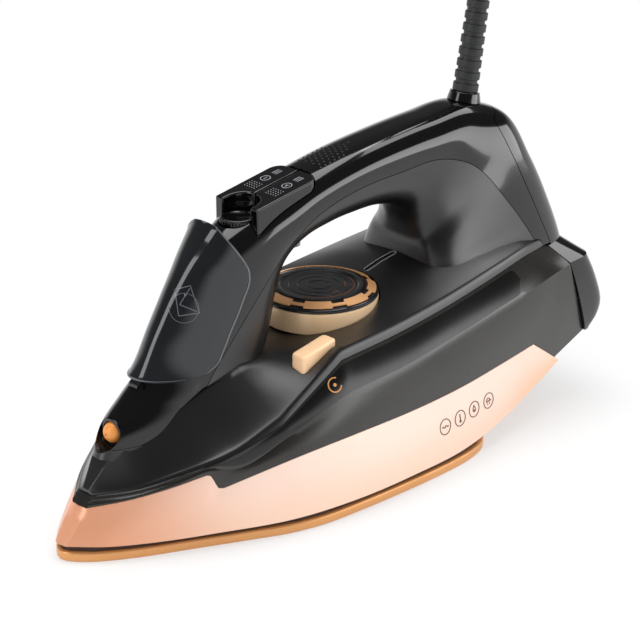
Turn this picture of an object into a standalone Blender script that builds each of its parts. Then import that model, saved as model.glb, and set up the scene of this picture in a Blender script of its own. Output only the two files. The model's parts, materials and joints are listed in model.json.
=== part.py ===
"""Steam iron with a water tank, a fill door, a temperature dial and a mains lead.

Frame: metres, +Z up. The soleplate's underside lies on z = 0, the nose points to -X and the
heel to +X, and the iron is mirrored about y = 0. Driving sizes come first, then the small
tools that make shapes, then one function for each sub-assembly.
"""
import math

import bmesh
import bpy
import numpy as np
from mathutils import Matrix, Vector

# Overall sizes
BODY_LENGTH = 0.300
BODY_HALF_WIDTH = 0.0565
BODY_HEIGHT = 0.150
HANDLE_HALF_WIDTH = 0.016
GAP = 0.0003
OVERRUN = 0.004
BULGE = 0.0006
OFF_CENTRE = 0.000007
OFF_CENTRE_STEPS = 7
LEAST_STEP = 1e-9
WELD_DISTANCE = 1e-6
TURNED_WELD_DISTANCE = 1e-5

# Places along the body from its middle towards the heel, as shares of its length
ALONG_SHARES = {
    "element_end": 0.12667,
    "holes_front": -0.4,
    "holes_rear": 0.15,
    "nose_hole": -0.44333,
    "fuse": 0.1,
    "belly_front": 0.19,
    "tank_floor_front": -0.35,
    "tank_floor_rear": 0.32667,
    "deck_passage_front": -0.37667,
    "deck_passage_rear": -0.15333,
    "wire_passage_front": 0.22667,
    "wire_passage_rear": 0.26667,
    "screw_head": 0.46633,
    "screw_boss_front": 0.44,
    "screw_boss_rear": 0.48333,
    "terminal": 0.31,
    "clean_button": -0.11167,
    "lens": -0.06,
    "groove_start": 0.1,
    "groove_end": 0.18,
    "button_front": -0.16233,
    "button_rear": -0.04,
    "notch": -0.155,
    "pump": -0.14,
    "bracket_front": -0.18667,
    "bracket_rear": -0.1,
    "knob": -0.16,
    "nozzle_tip": -0.41233,
    "nozzle_back": -0.37333,
    "bezel_front": -0.402,
    "bezel_back": -0.38,
}
# Heights above the soleplate's underside, as shares of the body's height
UP_SHARES = {
    "tank_floor": 0.21333,
    "rear_region": 0.4,
    "screw": 0.37333,
    "lens": 0.732,
    "dial_base": 0.458,
    "button_bottom": 0.81,
    "button_front_top": 0.88533,
    "pump_bottom": 0.65333,
    "pump_top": 0.77667,
    "piston_bottom": 0.73667,
    "bracket_bottom": 0.68667,
    "knob_bottom": 0.81067,
    "valve_top": 0.20933,
    "funnel_bottom": 0.30667,
    "nozzle": 0.32667,
}

# Soleplate and heater
SOLE_LENGTH_SHARE = 0.73667
SOLE_LENGTH = SOLE_LENGTH_SHARE * BODY_LENGTH
SOLE_SIDE_RETREAT = 0.0009
SOLE_HALF_WIDTH = BODY_HALF_WIDTH - SOLE_SIDE_RETREAT
SOLE_THICKNESS = 0.0045
# How far the pieces on the soleplate are drawn in from its outline, as shares of its length
# for the nose and the rear, and of its half-width for the sides
DRAWN_IN_SHARES = {
    "heater_inset": 0.17986, "heater_nose_retreat": 0.11765, "heater_rear_retreat": 0.0905,
    "element_inset": 0.35971, "element_nose_retreat": 0.20814, "element_rear_retreat": 0.0905,
    "chamber_inset": 0.59353, "chamber_nose_retreat": 0.31674, "chamber_rear_retreat": 0.38914,
}
SOLE_EDGE_ROUND = 0.0010
STEAM_HOLE_DIAMETER = 0.0042
STEAM_HOLES_A_SIDE = 8
SHIELD_THICKNESS = 0.0022
SHIELD_INSET = 0.0016
SHIELD_CLEARANCE = 0.0010
HEATER_INSET = DRAWN_IN_SHARES["heater_inset"] * SOLE_HALF_WIDTH
HEATER_NOSE_RETREAT = DRAWN_IN_SHARES["heater_nose_retreat"] * SOLE_LENGTH
HEATER_REAR_RETREAT = DRAWN_IN_SHARES["heater_rear_retreat"] * SOLE_LENGTH
HEATER_HEIGHT = 0.0130
HEATER_BEVEL = 0.0012
ELEMENT_DIAMETER = 0.0066
ELEMENT_INSET = DRAWN_IN_SHARES["element_inset"] * SOLE_HALF_WIDTH
ELEMENT_NOSE_RETREAT = DRAWN_IN_SHARES["element_nose_retreat"] * SOLE_LENGTH
ELEMENT_END_X = ALONG_SHARES["element_end"] * BODY_LENGTH
ELEMENT_TERMINAL_RISE = 0.0070
ELEMENT_REAR_RETREAT = DRAWN_IN_SHARES["element_rear_retreat"] * SOLE_LENGTH
ELEMENT_SINK_SHARE = 0.3
CHAMBER_INSET = DRAWN_IN_SHARES["chamber_inset"] * SOLE_HALF_WIDTH
CHAMBER_NOSE_RETREAT = DRAWN_IN_SHARES["chamber_nose_retreat"] * SOLE_LENGTH
CHAMBER_REAR_RETREAT = DRAWN_IN_SHARES["chamber_rear_retreat"] * SOLE_LENGTH
CHAMBER_LEDGE = 0.0030
CHAMBER_DEPTH = 0.0060
SHIELD_BOTTOM_Z = 0.0048
HEATER_BOTTOM_Z = 0.0048
THERMOSTAT_EDGE = 0.0008
HOLES_FRONT_X = ALONG_SHARES["holes_front"] * BODY_LENGTH
HOLES_REAR_X = ALONG_SHARES["holes_rear"] * BODY_LENGTH
HOLES_SIDE_SHARE = 0.72
NOSE_HOLE_X = ALONG_SHARES["nose_hole"] * BODY_LENGTH
CHAMBER_COVER_THICKNESS = 0.0016
THERMOSTAT_SIZE = (0.0260, 0.0160, 0.0070)
FUSE_DIAMETER = 0.0040
FUSE_LENGTH = 0.0180
FUSE_X = ALONG_SHARES["fuse"] * BODY_LENGTH

# Skirt, tank and housing
SKIRT_WALL = 0.0022
SKIRT_FOOT_GAP = 0.0003
TANK_WALL = 0.0020
TANK_FLOOR_Z = UP_SHARES["tank_floor"] * BODY_HEIGHT
TANK_FLOOR_THICKNESS = 0.0020
TANK_FLOOR_CLEARANCE = 0.0012
BELLY_WALL = 0.0020
BELLY_BITE = 0.0010
BELLY_FRONT_X = ALONG_SHARES["belly_front"] * BODY_LENGTH
BELLY_LIFT = 0.0002
BELLY_RINGS = 6
TANK_FLOOR_FRONT = ALONG_SHARES["tank_floor_front"] * BODY_LENGTH
TANK_FLOOR_REAR = ALONG_SHARES["tank_floor_rear"] * BODY_LENGTH
REAR_REGION_Z = UP_SHARES["rear_region"] * BODY_HEIGHT
HOUSING_WALL = 0.0022
HOUSING_LIP = 0.0001
FRAME_WALL = 0.0020
REAR_WALL = 0.0022

DECK_MARGIN_SHARE = 1.6
DECK_RUN_ON = 0.0320
DECK_PASSAGE_FRONT = ALONG_SHARES["deck_passage_front"] * BODY_LENGTH
DECK_PASSAGE_REAR = ALONG_SHARES["deck_passage_rear"] * BODY_LENGTH
DECK_PASSAGE_HALF_WIDTH = 0.0095
WIRE_PASSAGE_FRONT = ALONG_SHARES["wire_passage_front"] * BODY_LENGTH
WIRE_PASSAGE_REAR = ALONG_SHARES["wire_passage_rear"] * BODY_LENGTH
WIRE_PASSAGE_HALF_WIDTH = 0.0080
SEAT_GAP = 0.0004
PARTING_GAP = 0.0003
SEAM_GAP = 0.0004

# Rear cover, its screw, and what sits in the handle's rear post
HEEL_OPEN_FRONT = 0.0060
SCREW_Z = UP_SHARES["screw"] * BODY_HEIGHT
SCREW_HEAD_RADIUS = 0.0036
SCREW_HEAD_HEIGHT = 0.0025
SCREW_SHANK_RADIUS = 0.0018
SCREW_SHANK_LENGTH = 0.0150
SCREW_HEAD_X = ALONG_SHARES["screw_head"] * BODY_LENGTH
SCREW_BOSS_RADIUS = 0.0058
SCREW_BOSS_FRONT = ALONG_SHARES["screw_boss_front"] * BODY_LENGTH
SCREW_BOSS_REAR = ALONG_SHARES["screw_boss_rear"] * BODY_LENGTH
TERMINAL_SIZE = (0.0200, 0.0180, 0.0120)
TERMINAL_X = ALONG_SHARES["terminal"] * BODY_LENGTH

# Button on the deck, pilot lamp lens, pointer groove
CLEAN_BUTTON_LENGTH = 0.0195
CLEAN_BUTTON_WIDTH = 0.0080
CLEAN_BUTTON_X = ALONG_SHARES["clean_button"] * BODY_LENGTH
CLEAN_BUTTON_Y = -0.0315
CLEAN_BUTTON_RISE = 0.0048
CLEAN_BUTTON_DEPTH = 0.0070
CLEAN_BUTTON_SLOPE_SHARE = 0.19
CLEAN_BUTTON_EDGE = 0.0008
CLEAN_BUTTON_CORNER = 0.0016
CLEAN_CORNER_STEPS = 3
LENS_SIZE = (0.0070, 0.0080, 0.0090)
LENS_X = ALONG_SHARES["lens"] * BODY_LENGTH
LENS_Z = UP_SHARES["lens"] * BODY_HEIGHT
LENS_EDGE = 0.0010
GROOVE_START_X = ALONG_SHARES["groove_start"] * BODY_LENGTH
GROOVE_END_X = ALONG_SHARES["groove_end"] * BODY_LENGTH
GROOVE_WIDTH = 0.0022
GROOVE_DEPTH = 0.0005

# Temperature dial, centred on the origin in plan
DIAL_RADIUS = 0.0264
DIAL_BASE_Z = UP_SHARES["dial_base"] * BODY_HEIGHT
DIAL_RING_HEIGHT = 0.0099
DIAL_RIM_HEIGHT = 0.0013
DIAL_SHOULDER_HEIGHT = 0.0022
DIAL_DISC_RADIUS = 0.0203
DIAL_DISC_HEIGHT = 0.0022
DIAL_RECESS_RADIUS = 0.0172
DIAL_RECESS_DEPTH = 0.0006
DIAL_EDGE = 0.0006
DIAL_PADS = 8
DIAL_PAD_INNER_RADIUS = 0.0216
DIAL_PAD_OUTER_RADIUS = 0.0254
DIAL_PAD_THICKNESS = 0.0007
DIAL_NOTCH_WIDTH = 0.0062
DIAL_STRIP_INNER_RADIUS = 0.0230
DIAL_STRIP_OUTER_RADIUS = 0.0243
DIAL_CLEARANCE = 0.0008
DIAL_CUP_WALL = 0.0020
DIAL_CUP_FLOOR = 0.0022
DIAL_CUP_HEIGHT = 0.0240
DIAL_STEPS = 32
SHAFT_RADIUS = 0.0030
SHAFT_CLEARANCE = 0.0005
SLEEVE_WALL = 0.0015

# Spray and steam buttons, one on each side of the handle's middle
BUTTON_FRONT_X = ALONG_SHARES["button_front"] * BODY_LENGTH
BUTTON_REAR_X = ALONG_SHARES["button_rear"] * BODY_LENGTH
BUTTON_HALF_WIDTH = 0.0132
BUTTON_BOTTOM_Z = UP_SHARES["button_bottom"] * BODY_HEIGHT
BUTTON_FRONT_TOP_Z = UP_SHARES["button_front_top"] * BODY_HEIGHT
BUTTON_SLOPE_SHARE = 0.165
BUTTON_REAR_ROUND = 0.0060
BUTTON_TRAVEL = 0.0035
BUTTON_CLEARANCE = 0.0004
BUTTON_EDGE = 0.0008
BUTTON_SPLIT = 0.0006
NOTCH_X = ALONG_SHARES["notch"] * BODY_LENGTH
NOTCH_RADIUS = 0.0087

# Pumps under the buttons
PUMP_X = ALONG_SHARES["pump"] * BODY_LENGTH
PUMP_Y = 0.0065
PUMP_RADIUS = 0.0045
PUMP_BORE_RADIUS = 0.0031
PUMP_BOTTOM_Z = UP_SHARES["pump_bottom"] * BODY_HEIGHT
PUMP_TOP_Z = UP_SHARES["pump_top"] * BODY_HEIGHT
PUMP_FLOOR = 0.0020
PISTON_RADIUS = 0.0027
PISTON_BOTTOM_Z = UP_SHARES["piston_bottom"] * BODY_HEIGHT
SPRING_WIRE = 0.0006
SPRING_RADIUS = 0.0022
SPRING_TURNS = 4
SPRING_POINTS_A_TURN = 8
BRACKET_FRONT = ALONG_SHARES["bracket_front"] * BODY_LENGTH
BRACKET_REAR = ALONG_SHARES["bracket_rear"] * BODY_LENGTH
BRACKET_BOTTOM_Z = UP_SHARES["bracket_bottom"] * BODY_HEIGHT
BRACKET_THICKNESS = 0.0025

# Steam knob, its valve rod and the drip valve
KNOB_X = ALONG_SHARES["knob"] * BODY_LENGTH
KNOB_RADIUS = 0.0079
KNOB_HEIGHT = 0.0054
KNOB_BOTTOM_Z = UP_SHARES["knob_bottom"] * BODY_HEIGHT
KNOB_CLEARANCE = 0.0006
KNOB_EDGE = 0.0007
ROD_RADIUS = 0.00125
ROD_FOOT_Z = 0.0225
ROD_CLEARANCE = 0.0005
ROD_PASSAGE_OVERRUN = 0.0060
VALVE_RADIUS = 0.0040
VALVE_TOP_Z = UP_SHARES["valve_top"] * BODY_HEIGHT
VALVE_BOTTOM_Z = 0.0201

# Fill door with its hinge, the port under it and the funnel
DOOR_OFFSET = 0.0005
DOOR_WALL = 0.0022
DOOR_LIFT = 0.0062
DOOR_FLARE = 0.0006
DOOR_COLUMNS = 11
DOOR_HINGE_OFFSET = -0.0020
DOOR_BEAD_RADIUS = 0.0027
DOOR_BEAD_LENGTH = 0.0050
DOOR_BEAD_CLEARANCE = 0.0004
PIN_RADIUS = 0.00075
PIN_CLEARANCE = 0.0003
LUG_RADIUS = 0.0019
LUG_WIDTH = 0.0016
LUG_REACH = 0.0030
FUNNEL_RADIUS = 0.0065
FUNNEL_BORE_RADIUS = 0.0050
FUNNEL_RISE = 0.0004
FUNNEL_BOTTOM_Z = UP_SHARES["funnel_bottom"] * BODY_HEIGHT

# Spray nozzle, bezel and hose
NOZZLE_Z = UP_SHARES["nozzle"] * BODY_HEIGHT
NOZZLE_TIP_X = ALONG_SHARES["nozzle_tip"] * BODY_LENGTH
NOZZLE_BACK_X = ALONG_SHARES["nozzle_back"] * BODY_LENGTH
NOZZLE_RADIUS = 0.0047
BEZEL_RADIUS = 0.0064
BEZEL_FRONT_X = ALONG_SHARES["bezel_front"] * BODY_LENGTH
BEZEL_BACK_X = ALONG_SHARES["bezel_back"] * BODY_LENGTH
HOSE_DIAMETER = 0.0040
NOSE_BORE_SIDES = 22
NOZZLE_DOME_STEPS = 4

# Cord guard and its collar, leaning to the rear
GUARD_BASE_SHARES = (0.30667, 1.0)
GUARD_LEAN_X = 0.0110
GUARD_RISE = 0.0590
GUARD_BASE = (GUARD_BASE_SHARES[0] * BODY_LENGTH, 0.0, GUARD_BASE_SHARES[1] * BODY_HEIGHT)
GUARD_END = (GUARD_BASE[0] + GUARD_LEAN_X, 0.0, GUARD_BASE[2] + GUARD_RISE)
GUARD_BASE_RADIUS = 0.0059
GUARD_END_RADIUS = 0.0048
GUARD_RIBS = 11
GUARD_RIB_DEPTH = 0.0008
GUARD_STEM_RADIUS = 0.0048
GUARD_STEM_LENGTH = 0.0070
GUARD_FLANGE_RADIUS = 0.0062
GUARD_FLANGE_HEIGHT = 0.0022
GUARD_CLEARANCE = 0.0004
COLLAR_RADIUS = 0.0082
COLLAR_TOP_RADIUS = 0.0068
COLLAR_HEIGHT = 0.0060
CLAMP_SIZE = (0.0140, 0.0120, 0.0040)
CLAMP_DROP = 0.0018
RIB_WIDTH_SHARE = 0.62

# Mains lead: a coil in four layers on the surface, and the plug
LEAD_DIAMETER = 0.0070
LEAD_STEP = 0.0150
LEAD_HEIGHT = 0.0036
COIL_CENTRE = (0.1800, 0.0920)
COIL_RADIUS = 0.0440
COIL_PITCH = 0.0076
COIL_TURNS = 6.65
COIL_LAYERS = 4
COIL_POINTS_A_TURN = 20
LAYER_HEIGHT = 0.0076
PLUG_RADIUS = 0.0180
PLUG_NECK_X = 0.1000
PLUG_FACE_X = 0.0650
PLUG_FACE_DEPTH = 0.0140
PLUG_NECK_RADIUS = 0.0060
PLUG_Y = 0.0946
PLUG_Z = 0.0182
PIN_OF_PLUG_RADIUS = 0.0024
PIN_OF_PLUG_LENGTH = 0.0190
PIN_OF_PLUG_SPACING = 0.0190

# Soleplate outline: share of the sole's length from the nose, share of its half-width
SOLE_OUTLINE_SHARES = (
    (0.0, 0.0), (0.004, 0.054), (0.034, 0.194), (0.097, 0.358), (0.222, 0.594),
    (0.312, 0.761), (0.407, 0.917), (0.464, 0.968), (0.563, 0.993), (0.681, 1.0),
    (0.781, 0.991), (0.862, 0.964), (0.916, 0.910), (0.953, 0.818), (0.980, 0.647),
    (0.996, 0.396), (1.0, 0.0),
)

# Hull level lines, nose to rear: shares of the body's length, half-width and height
SKIRT_FOOT_SHARES = (
    (0.0016, 0.062, 0.0487), (0.040, 0.265, 0.0487), (0.093, 0.448, 0.0487),
    (0.143, 0.584, 0.0487), (0.173, 0.655, 0.0487), (0.287, 0.903, 0.0487),
    (0.400, 0.996, 0.0487), (0.517, 1.0, 0.0487), (0.633, 0.950, 0.0487),
    (0.727, 0.876, 0.072), (0.817, 0.802, 0.120), (0.883, 0.749, 0.163),
)
SKIRT_TOP_SHARES = (
    (0.037, 0.081, 0.145), (0.082, 0.294, 0.168), (0.132, 0.460, 0.193),
    (0.177, 0.584, 0.218), (0.198, 0.648, 0.173), (0.307, 0.850, 0.224),
    (0.413, 0.926, 0.240), (0.517, 0.929, 0.240), (0.627, 0.903, 0.244),
    (0.720, 0.855, 0.253), (0.813, 0.796, 0.263), (0.873, 0.754, 0.180),
)
TANK_CREASE_SHARES = (
    (0.043, 0.081, 0.162), (0.090, 0.301, 0.181), (0.140, 0.467, 0.210),
    (0.183, 0.598, 0.237), (0.213, 0.664, 0.223), (0.300, 0.782, 0.283),
    (0.403, 0.855, 0.351), (0.517, 0.885, 0.376), (0.627, 0.864, 0.404),
    (0.733, 0.827, 0.432), (0.833, 0.779, 0.455), (0.867, 0.761, 0.465),
    (0.903, 0.747, 0.474),
)
TANK_TOP_SHARES = (
    (0.049, 0.078, 0.177), (0.097, 0.304, 0.195), (0.147, 0.474, 0.225),
    (0.188, 0.612, 0.253), (0.223, 0.673, 0.271), (0.293, 0.749, 0.320),
    (0.410, 0.743, 0.447), (0.517, 0.752, 0.464), (0.627, 0.735, 0.487),
    (0.740, 0.683, 0.513), (0.833, 0.611, 0.530), (0.865, 0.566, 0.526),
    (0.898, 0.504, 0.520),
)
TANK_TAIL_SHARE = (0.947, 0.713, 0.224)
SKIRT_TOP_BREAKS = (3, 4, 10)
TANK_TOP_BREAKS = (5, 6)

# Housing: height of its middle, rim height and how hill-like its flank is, station by station
DECK_MIDDLE_SHARES = (
    0.187, 0.317, 0.347, 0.380, 0.413, 0.455, 0.452, 0.501, 0.557, 0.592, 0.590, 0.575, 0.545)
DECK_RIM = 0.0045
DECK_RIM_SHARES = (0.15, 0.2, 0.24, 0.28, 0.36, 0.7, 1.0, 1.0, 1.0, 1.0, 0.9, 0.75, 0.5)
DECK_HILL_SHARES = (1.0, 1.0, 1.0, 1.0, 1.0, 0.8, 0.15, 0.0, 0.0, 0.0, 0.0, 0.0, 0.0)
HILL_FOOT_SHARE = 0.56
HILL_POWER = 1.25
DECK_ACROSS_SHARES = (1.0, 0.985, 0.955, 0.84, 0.66, 0.45, 0.22, 0.0)

# Handle arch, nose to heel: outer x, z and inner x, z as shares of the body's length and
# height, then the half-width as a share of the handle's, where along it lies the widest, and
# the power of the section's outline, an ellipse at 1 and squarer below
ARCH_SHARES = (
    (0.070, 0.267, 0.267, 0.227, 0.88, 0.60, 0.95), (0.087, 0.340, 0.290, 0.293, 1.02, 0.66, 0.95),
    (0.120, 0.407, 0.325, 0.373, 1.03, 0.72, 0.98), (0.149, 0.461, 0.362, 0.440, 1.01, 0.74, 1.00),
    (0.187, 0.584, 0.383, 0.533, 0.98, 0.74, 1.00), (0.218, 0.675, 0.393, 0.620, 0.97, 0.73, 1.00),
    (0.251, 0.746, 0.403, 0.680, 0.98, 0.70, 0.95), (0.296, 0.808, 0.423, 0.722, 1.00, 0.62, 0.88),
    (0.350, 0.863, 0.451, 0.747, 1.02, 0.55, 0.82), (0.420, 0.910, 0.491, 0.758, 0.99, 0.50, 0.78),
    (0.517, 0.950, 0.534, 0.763, 0.97, 0.48, 0.75), (0.623, 0.975, 0.592, 0.760, 0.97, 0.50, 0.74),
    (0.713, 0.987, 0.640, 0.733, 1.00, 0.50, 0.72), (0.793, 0.989, 0.658, 0.687, 1.06, 0.55, 0.64),
    (0.860, 0.940, 0.665, 0.633, 1.24, 0.58, 0.48), (0.900, 0.800, 0.664, 0.600, 1.50, 0.60, 0.40),
    (0.933, 0.653, 0.662, 0.560, 1.72, 0.60, 0.38), (0.957, 0.520, 0.659, 0.507, 1.90, 0.60, 0.38),
    (0.967, 0.440, 0.657, 0.440, 1.96, 0.60, 0.38),
)
ARCH_POINTS_A_HALF = 9

# Side view of the parting between the handle's cover and its frame, nose to heel
PARTING_SHARES = (
    (0.060, 0.290), (0.110, 0.300), (0.182, 0.311), (0.239, 0.435), (0.287, 0.539),
    (0.351, 0.675), (0.393, 0.757), (0.429, 0.804), (0.469, 0.833), (0.546, 0.861),
    (0.620, 0.868), (0.698, 0.871), (0.762, 0.827), (0.820, 0.690), (0.877, 0.513),
    (0.890, 0.460),
)
# Side view of the seam in front of the rear cover, from the deck up
REAR_SEAM_SHARES = (
    (0.907, 0.460), (0.905, 0.513), (0.823, 0.907), (0.818, 0.940), (0.843, 0.970),
    (0.847, 1.100),
)

# Rear cover, top to bottom: front x, z and rear x, z shares, half-width share, squareness
HEEL_SHARES = (
    (0.523, 0.950, 0.523, 0.470, 0.50), (0.478, 0.962, 0.485, 0.745, 0.35),
    (0.411, 0.983, 0.405, 0.760, 0.35), (0.325, 1.000, 0.315, 0.760, 0.35),
    (0.260, 0.993, 0.268, 0.750, 0.40), (0.226, 0.968, 0.232, 0.735, 0.50),
)

# Fill door, bottom to top: place along the arch as a share of its length, half the angle
# that it wraps as a share of a right angle, and its lift off the arch as a share
DOOR_SHARES = (
    (0.1580, 0.50, 0.0), (0.1650, 0.61, 0.0), (0.1750, 0.69, 0.0), (0.1920, 0.74, 0.0),
    (0.2220, 0.77, 0.0), (0.2670, 0.80, 0.04), (0.3110, 0.82, 0.20), (0.3440, 0.77, 0.46),
    (0.3660, 0.64, 0.72), (0.3800, 0.42, 0.90), (0.3870, 0.20, 0.98),
)
PORT_STATION_SHARE = 0.3440
DOOR_HINGE_STATION_SHARE = 0.1560

# Free route of the lead from the guard down to its coil, and from the coil to the plug,
# chosen by hand
LEAD_ROUTE = (
    (0.1031, 0.0000, 0.2093), (0.1055, 0.0000, 0.2220), (0.1085, 0.0000, 0.2360),
    (0.1119, 0.0037, 0.2547), (0.1209, 0.0140, 0.2684), (0.1333, 0.0280, 0.2734),
    (0.1457, 0.0420, 0.2684), (0.1547, 0.0523, 0.2547), (0.1585, 0.0560, 0.2360),
    (0.1602, 0.0560, 0.2120), (0.1603, 0.0560, 0.1900), (0.1573, 0.0552, 0.1650),
    (0.1509, 0.0536, 0.1370), (0.1441, 0.0512, 0.1080), (0.1392, 0.0488, 0.0750),
    (0.1380, 0.0480, 0.0316), (0.1401, 0.0480, 0.0209), (0.1462, 0.0480, 0.0118),
    (0.1553, 0.0480, 0.0057), (0.1660, 0.0480, 0.0036), (0.1722, 0.0480, 0.0036),
)
TAIL_ROUTE = (
    (0.1400, 0.1118, 0.0264), (0.1359, 0.1062, 0.0260), (0.1297, 0.1000, 0.0243),
    (0.1219, 0.0960, 0.0216), (0.1132, 0.0946, 0.0196), (0.1060, 0.0946, 0.0184),
    (0.1003, 0.0946, 0.0182),
)
# Hose from the nozzle's back to the left pump, as shares of the body's length, half-width and
# height
HOSE_SHARES = (
    (-0.37067, 0.0, 0.32667), (-0.35000, -0.00708, 0.33333), (-0.31333, -0.07965, 0.42000),
    (-0.28000, -0.13805, 0.49000), (-0.23333, -0.16991, 0.55333), (-0.17333, -0.15044, 0.59333),
    (-0.14133, -0.11681, 0.61333), (-0.14000, -0.11504, 0.64733),
)

PART_COLLECTION = "steam_iron"
CUTTER_COLLECTION = "cutters"
SPAN_SAMPLES = 2
ARCH_SAMPLES = 2
ARCH_FINE_SAMPLES = 12
HEEL_COLUMNS = 11
ROUTE_SAMPLES = 12


# Small tools

def clear_scene():
    """Remove every object, so the script can run again in an open file."""
    for item in list(bpy.data.objects):
        bpy.data.objects.remove(item, do_unlink=True)


def collection(name):
    """The collection of this name, made and linked when it is new."""
    found = bpy.data.collections.get(name)
    if found is None:
        found = bpy.data.collections.new(name)
        bpy.context.scene.collection.children.link(found)
    return found


def material(name, colour, roughness, metallic=0.0, alpha=1.0):
    """A Principled material of one plain colour."""
    made = bpy.data.materials.new(name)
    made.use_nodes = True
    shader = made.node_tree.nodes["Principled BSDF"]
    shader.inputs["Base Color"].default_value = (*colour, 1.0)
    shader.inputs["Roughness"].default_value = roughness
    shader.inputs["Metallic"].default_value = metallic
    shader.inputs["Alpha"].default_value = alpha
    made.diffuse_color = (*colour, 1.0)
    return made


def add_object(name, data, finish=None):
    """Link data as a part with its finish, or as a hidden cutter when it has none.

    Each cutter is set off the middle plane by its own few microns, so that no edge of it
    runs along an edge of what it cuts.
    """
    made = bpy.data.objects.new(name, data)
    if finish is None:
        tools = collection(CUTTER_COLLECTION).objects
        shift = OFF_CENTRE * (1 + len(tools) % OFF_CENTRE_STEPS)
        data.transform(Matrix.Translation((shift, shift, shift)))
        tools.link(made)
        made.hide_render = True
        made.display_type = "WIRE"
    else:
        collection(PART_COLLECTION).objects.link(made)
        data.materials.append(finish)
    return made


def smooth(item, angle_degrees=40.0):
    """Shade a mesh smooth, with its sharp edges kept."""
    item.data.shade_smooth()
    item.data.set_sharp_from_angle(angle=math.radians(angle_degrees))
    return item


def mesh_from(name, points, faces):
    """A mesh whose faces all point out."""
    mesh = bpy.data.meshes.new(name)
    mesh.from_pydata([tuple(p) for p in points], [], [tuple(f) for f in faces])
    work = bmesh.new()
    work.from_mesh(mesh)
    bmesh.ops.recalc_face_normals(work, faces=work.faces)
    work.to_mesh(mesh)
    work.free()
    return mesh


def span_curve(rows, samples=SPAN_SAMPLES, breaks=(), knots=None):
    """Smooth curve through rows of values, with corners kept at the rows in breaks."""
    rows = np.asarray(rows, dtype=float)
    if knots is None:
        steps = np.linalg.norm(np.diff(rows[:, :2], axis=0), axis=1)
        knots = np.concatenate([[0.0], np.cumsum(np.maximum(steps, LEAST_STEP))])
    edges = [0, *breaks, len(rows) - 1]
    pieces = []
    for first, last in zip(edges[:-1], edges[1:]):
        if last > first:
            pieces.append(_smooth_piece(rows[first:last + 1], knots[first:last + 1], samples))
    joined = [pieces[0]] + [piece[1:] for piece in pieces[1:]]
    return np.concatenate(joined)


def _smooth_piece(rows, knots, samples):
    """Hermite curve through rows, its slopes taken from the neighbours on both sides."""
    if len(rows) == 2:
        shares = np.linspace(0.0, 1.0, samples + 1)[:, None]
        return rows[0] + (rows[1] - rows[0]) * shares
    lengths = np.diff(knots)
    slopes = np.diff(rows, axis=0) / lengths[:, None]
    inner = (slopes[1:] * lengths[:-1, None] + slopes[:-1] * lengths[1:, None])
    inner = inner / (lengths[1:] + lengths[:-1])[:, None]
    tangents = np.concatenate([slopes[:1], inner, slopes[-1:]])
    shares = np.linspace(0.0, 1.0, samples + 1)[:-1]
    a = (2 * shares ** 3 - 3 * shares ** 2 + 1)[None, :, None]
    b = (shares ** 3 - 2 * shares ** 2 + shares)[None, :, None]
    c = (3 * shares ** 2 - 2 * shares ** 3)[None, :, None]
    d = (shares ** 3 - shares ** 2)[None, :, None]
    scale = lengths[:, None, None]
    body = (rows[:-1, None] * a + tangents[:-1, None] * b * scale
            + rows[1:, None] * c + tangents[1:, None] * d * scale)
    return np.concatenate([body.reshape(-1, rows.shape[1]), rows[-1:]])


def grid_faces(rows, columns, start=0, flip=False):
    """Quads of a grid of rows by columns whose first point has the index start."""
    made = []
    for i in range(rows - 1):
        for j in range(columns - 1):
            a = start + i * columns + j
            quad = (a, a + 1, a + columns + 1, a + columns)
            made.append(quad[::-1] if flip else quad)
    return made


def solid_between(name, outer, inner):
    """Closed wall between two grids of the same shape, stitched along their borders."""
    rows, columns = outer.shape[:2]
    count = rows * columns
    faces = grid_faces(rows, columns) + grid_faces(rows, columns, count, flip=True)
    border = [j for j in range(columns)]
    border += [i * columns + columns - 1 for i in range(1, rows)]
    border += [(rows - 1) * columns + j for j in range(columns - 2, -1, -1)]
    border += [i * columns for i in range(rows - 2, 0, -1)]
    for a, b in zip(border, border[1:] + border[:1]):
        faces.append((a, a + count, b + count, b))
    points = np.concatenate([outer.reshape(-1, 3), inner.reshape(-1, 3)])
    return mesh_from(name, points, faces)


def loft(name, rings):
    """Closed solid through closed rings of the same number of points, with flat caps."""
    rings = np.asarray(rings)
    rows, columns = rings.shape[:2]
    faces = []
    for i in range(rows - 1):
        for j in range(columns):
            k = (j + 1) % columns
            faces.append((i * columns + j, i * columns + k,
                          (i + 1) * columns + k, (i + 1) * columns + j))
    faces.append(tuple(range(columns))[::-1])
    faces.append(tuple((rows - 1) * columns + j for j in range(columns)))
    return mesh_from(name, rings.reshape(-1, 3), faces)


def boolean(item, cutter, operation="DIFFERENCE", solver="EXACT"):
    """Add a live Boolean to item; lofted shells use the solver made for closed meshes."""
    step = item.modifiers.new(cutter.name, "BOOLEAN")
    step.operation = operation
    step.solver = solver
    step.object = cutter
    return item


def carve(item, cutter, operation="DIFFERENCE"):
    """Boolean of closed lofted shells."""
    return boolean(item, cutter, operation, "MANIFOLD")


def bevel(item, width, segments=1, angle_degrees=40.0):
    """Add a live Bevel on edges sharper than the angle."""
    step = item.modifiers.new("rounded_edges", "BEVEL")
    step.width = width
    step.segments = segments
    step.limit_method = "ANGLE"
    step.angle_limit = math.radians(angle_degrees)
    return item


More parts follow.
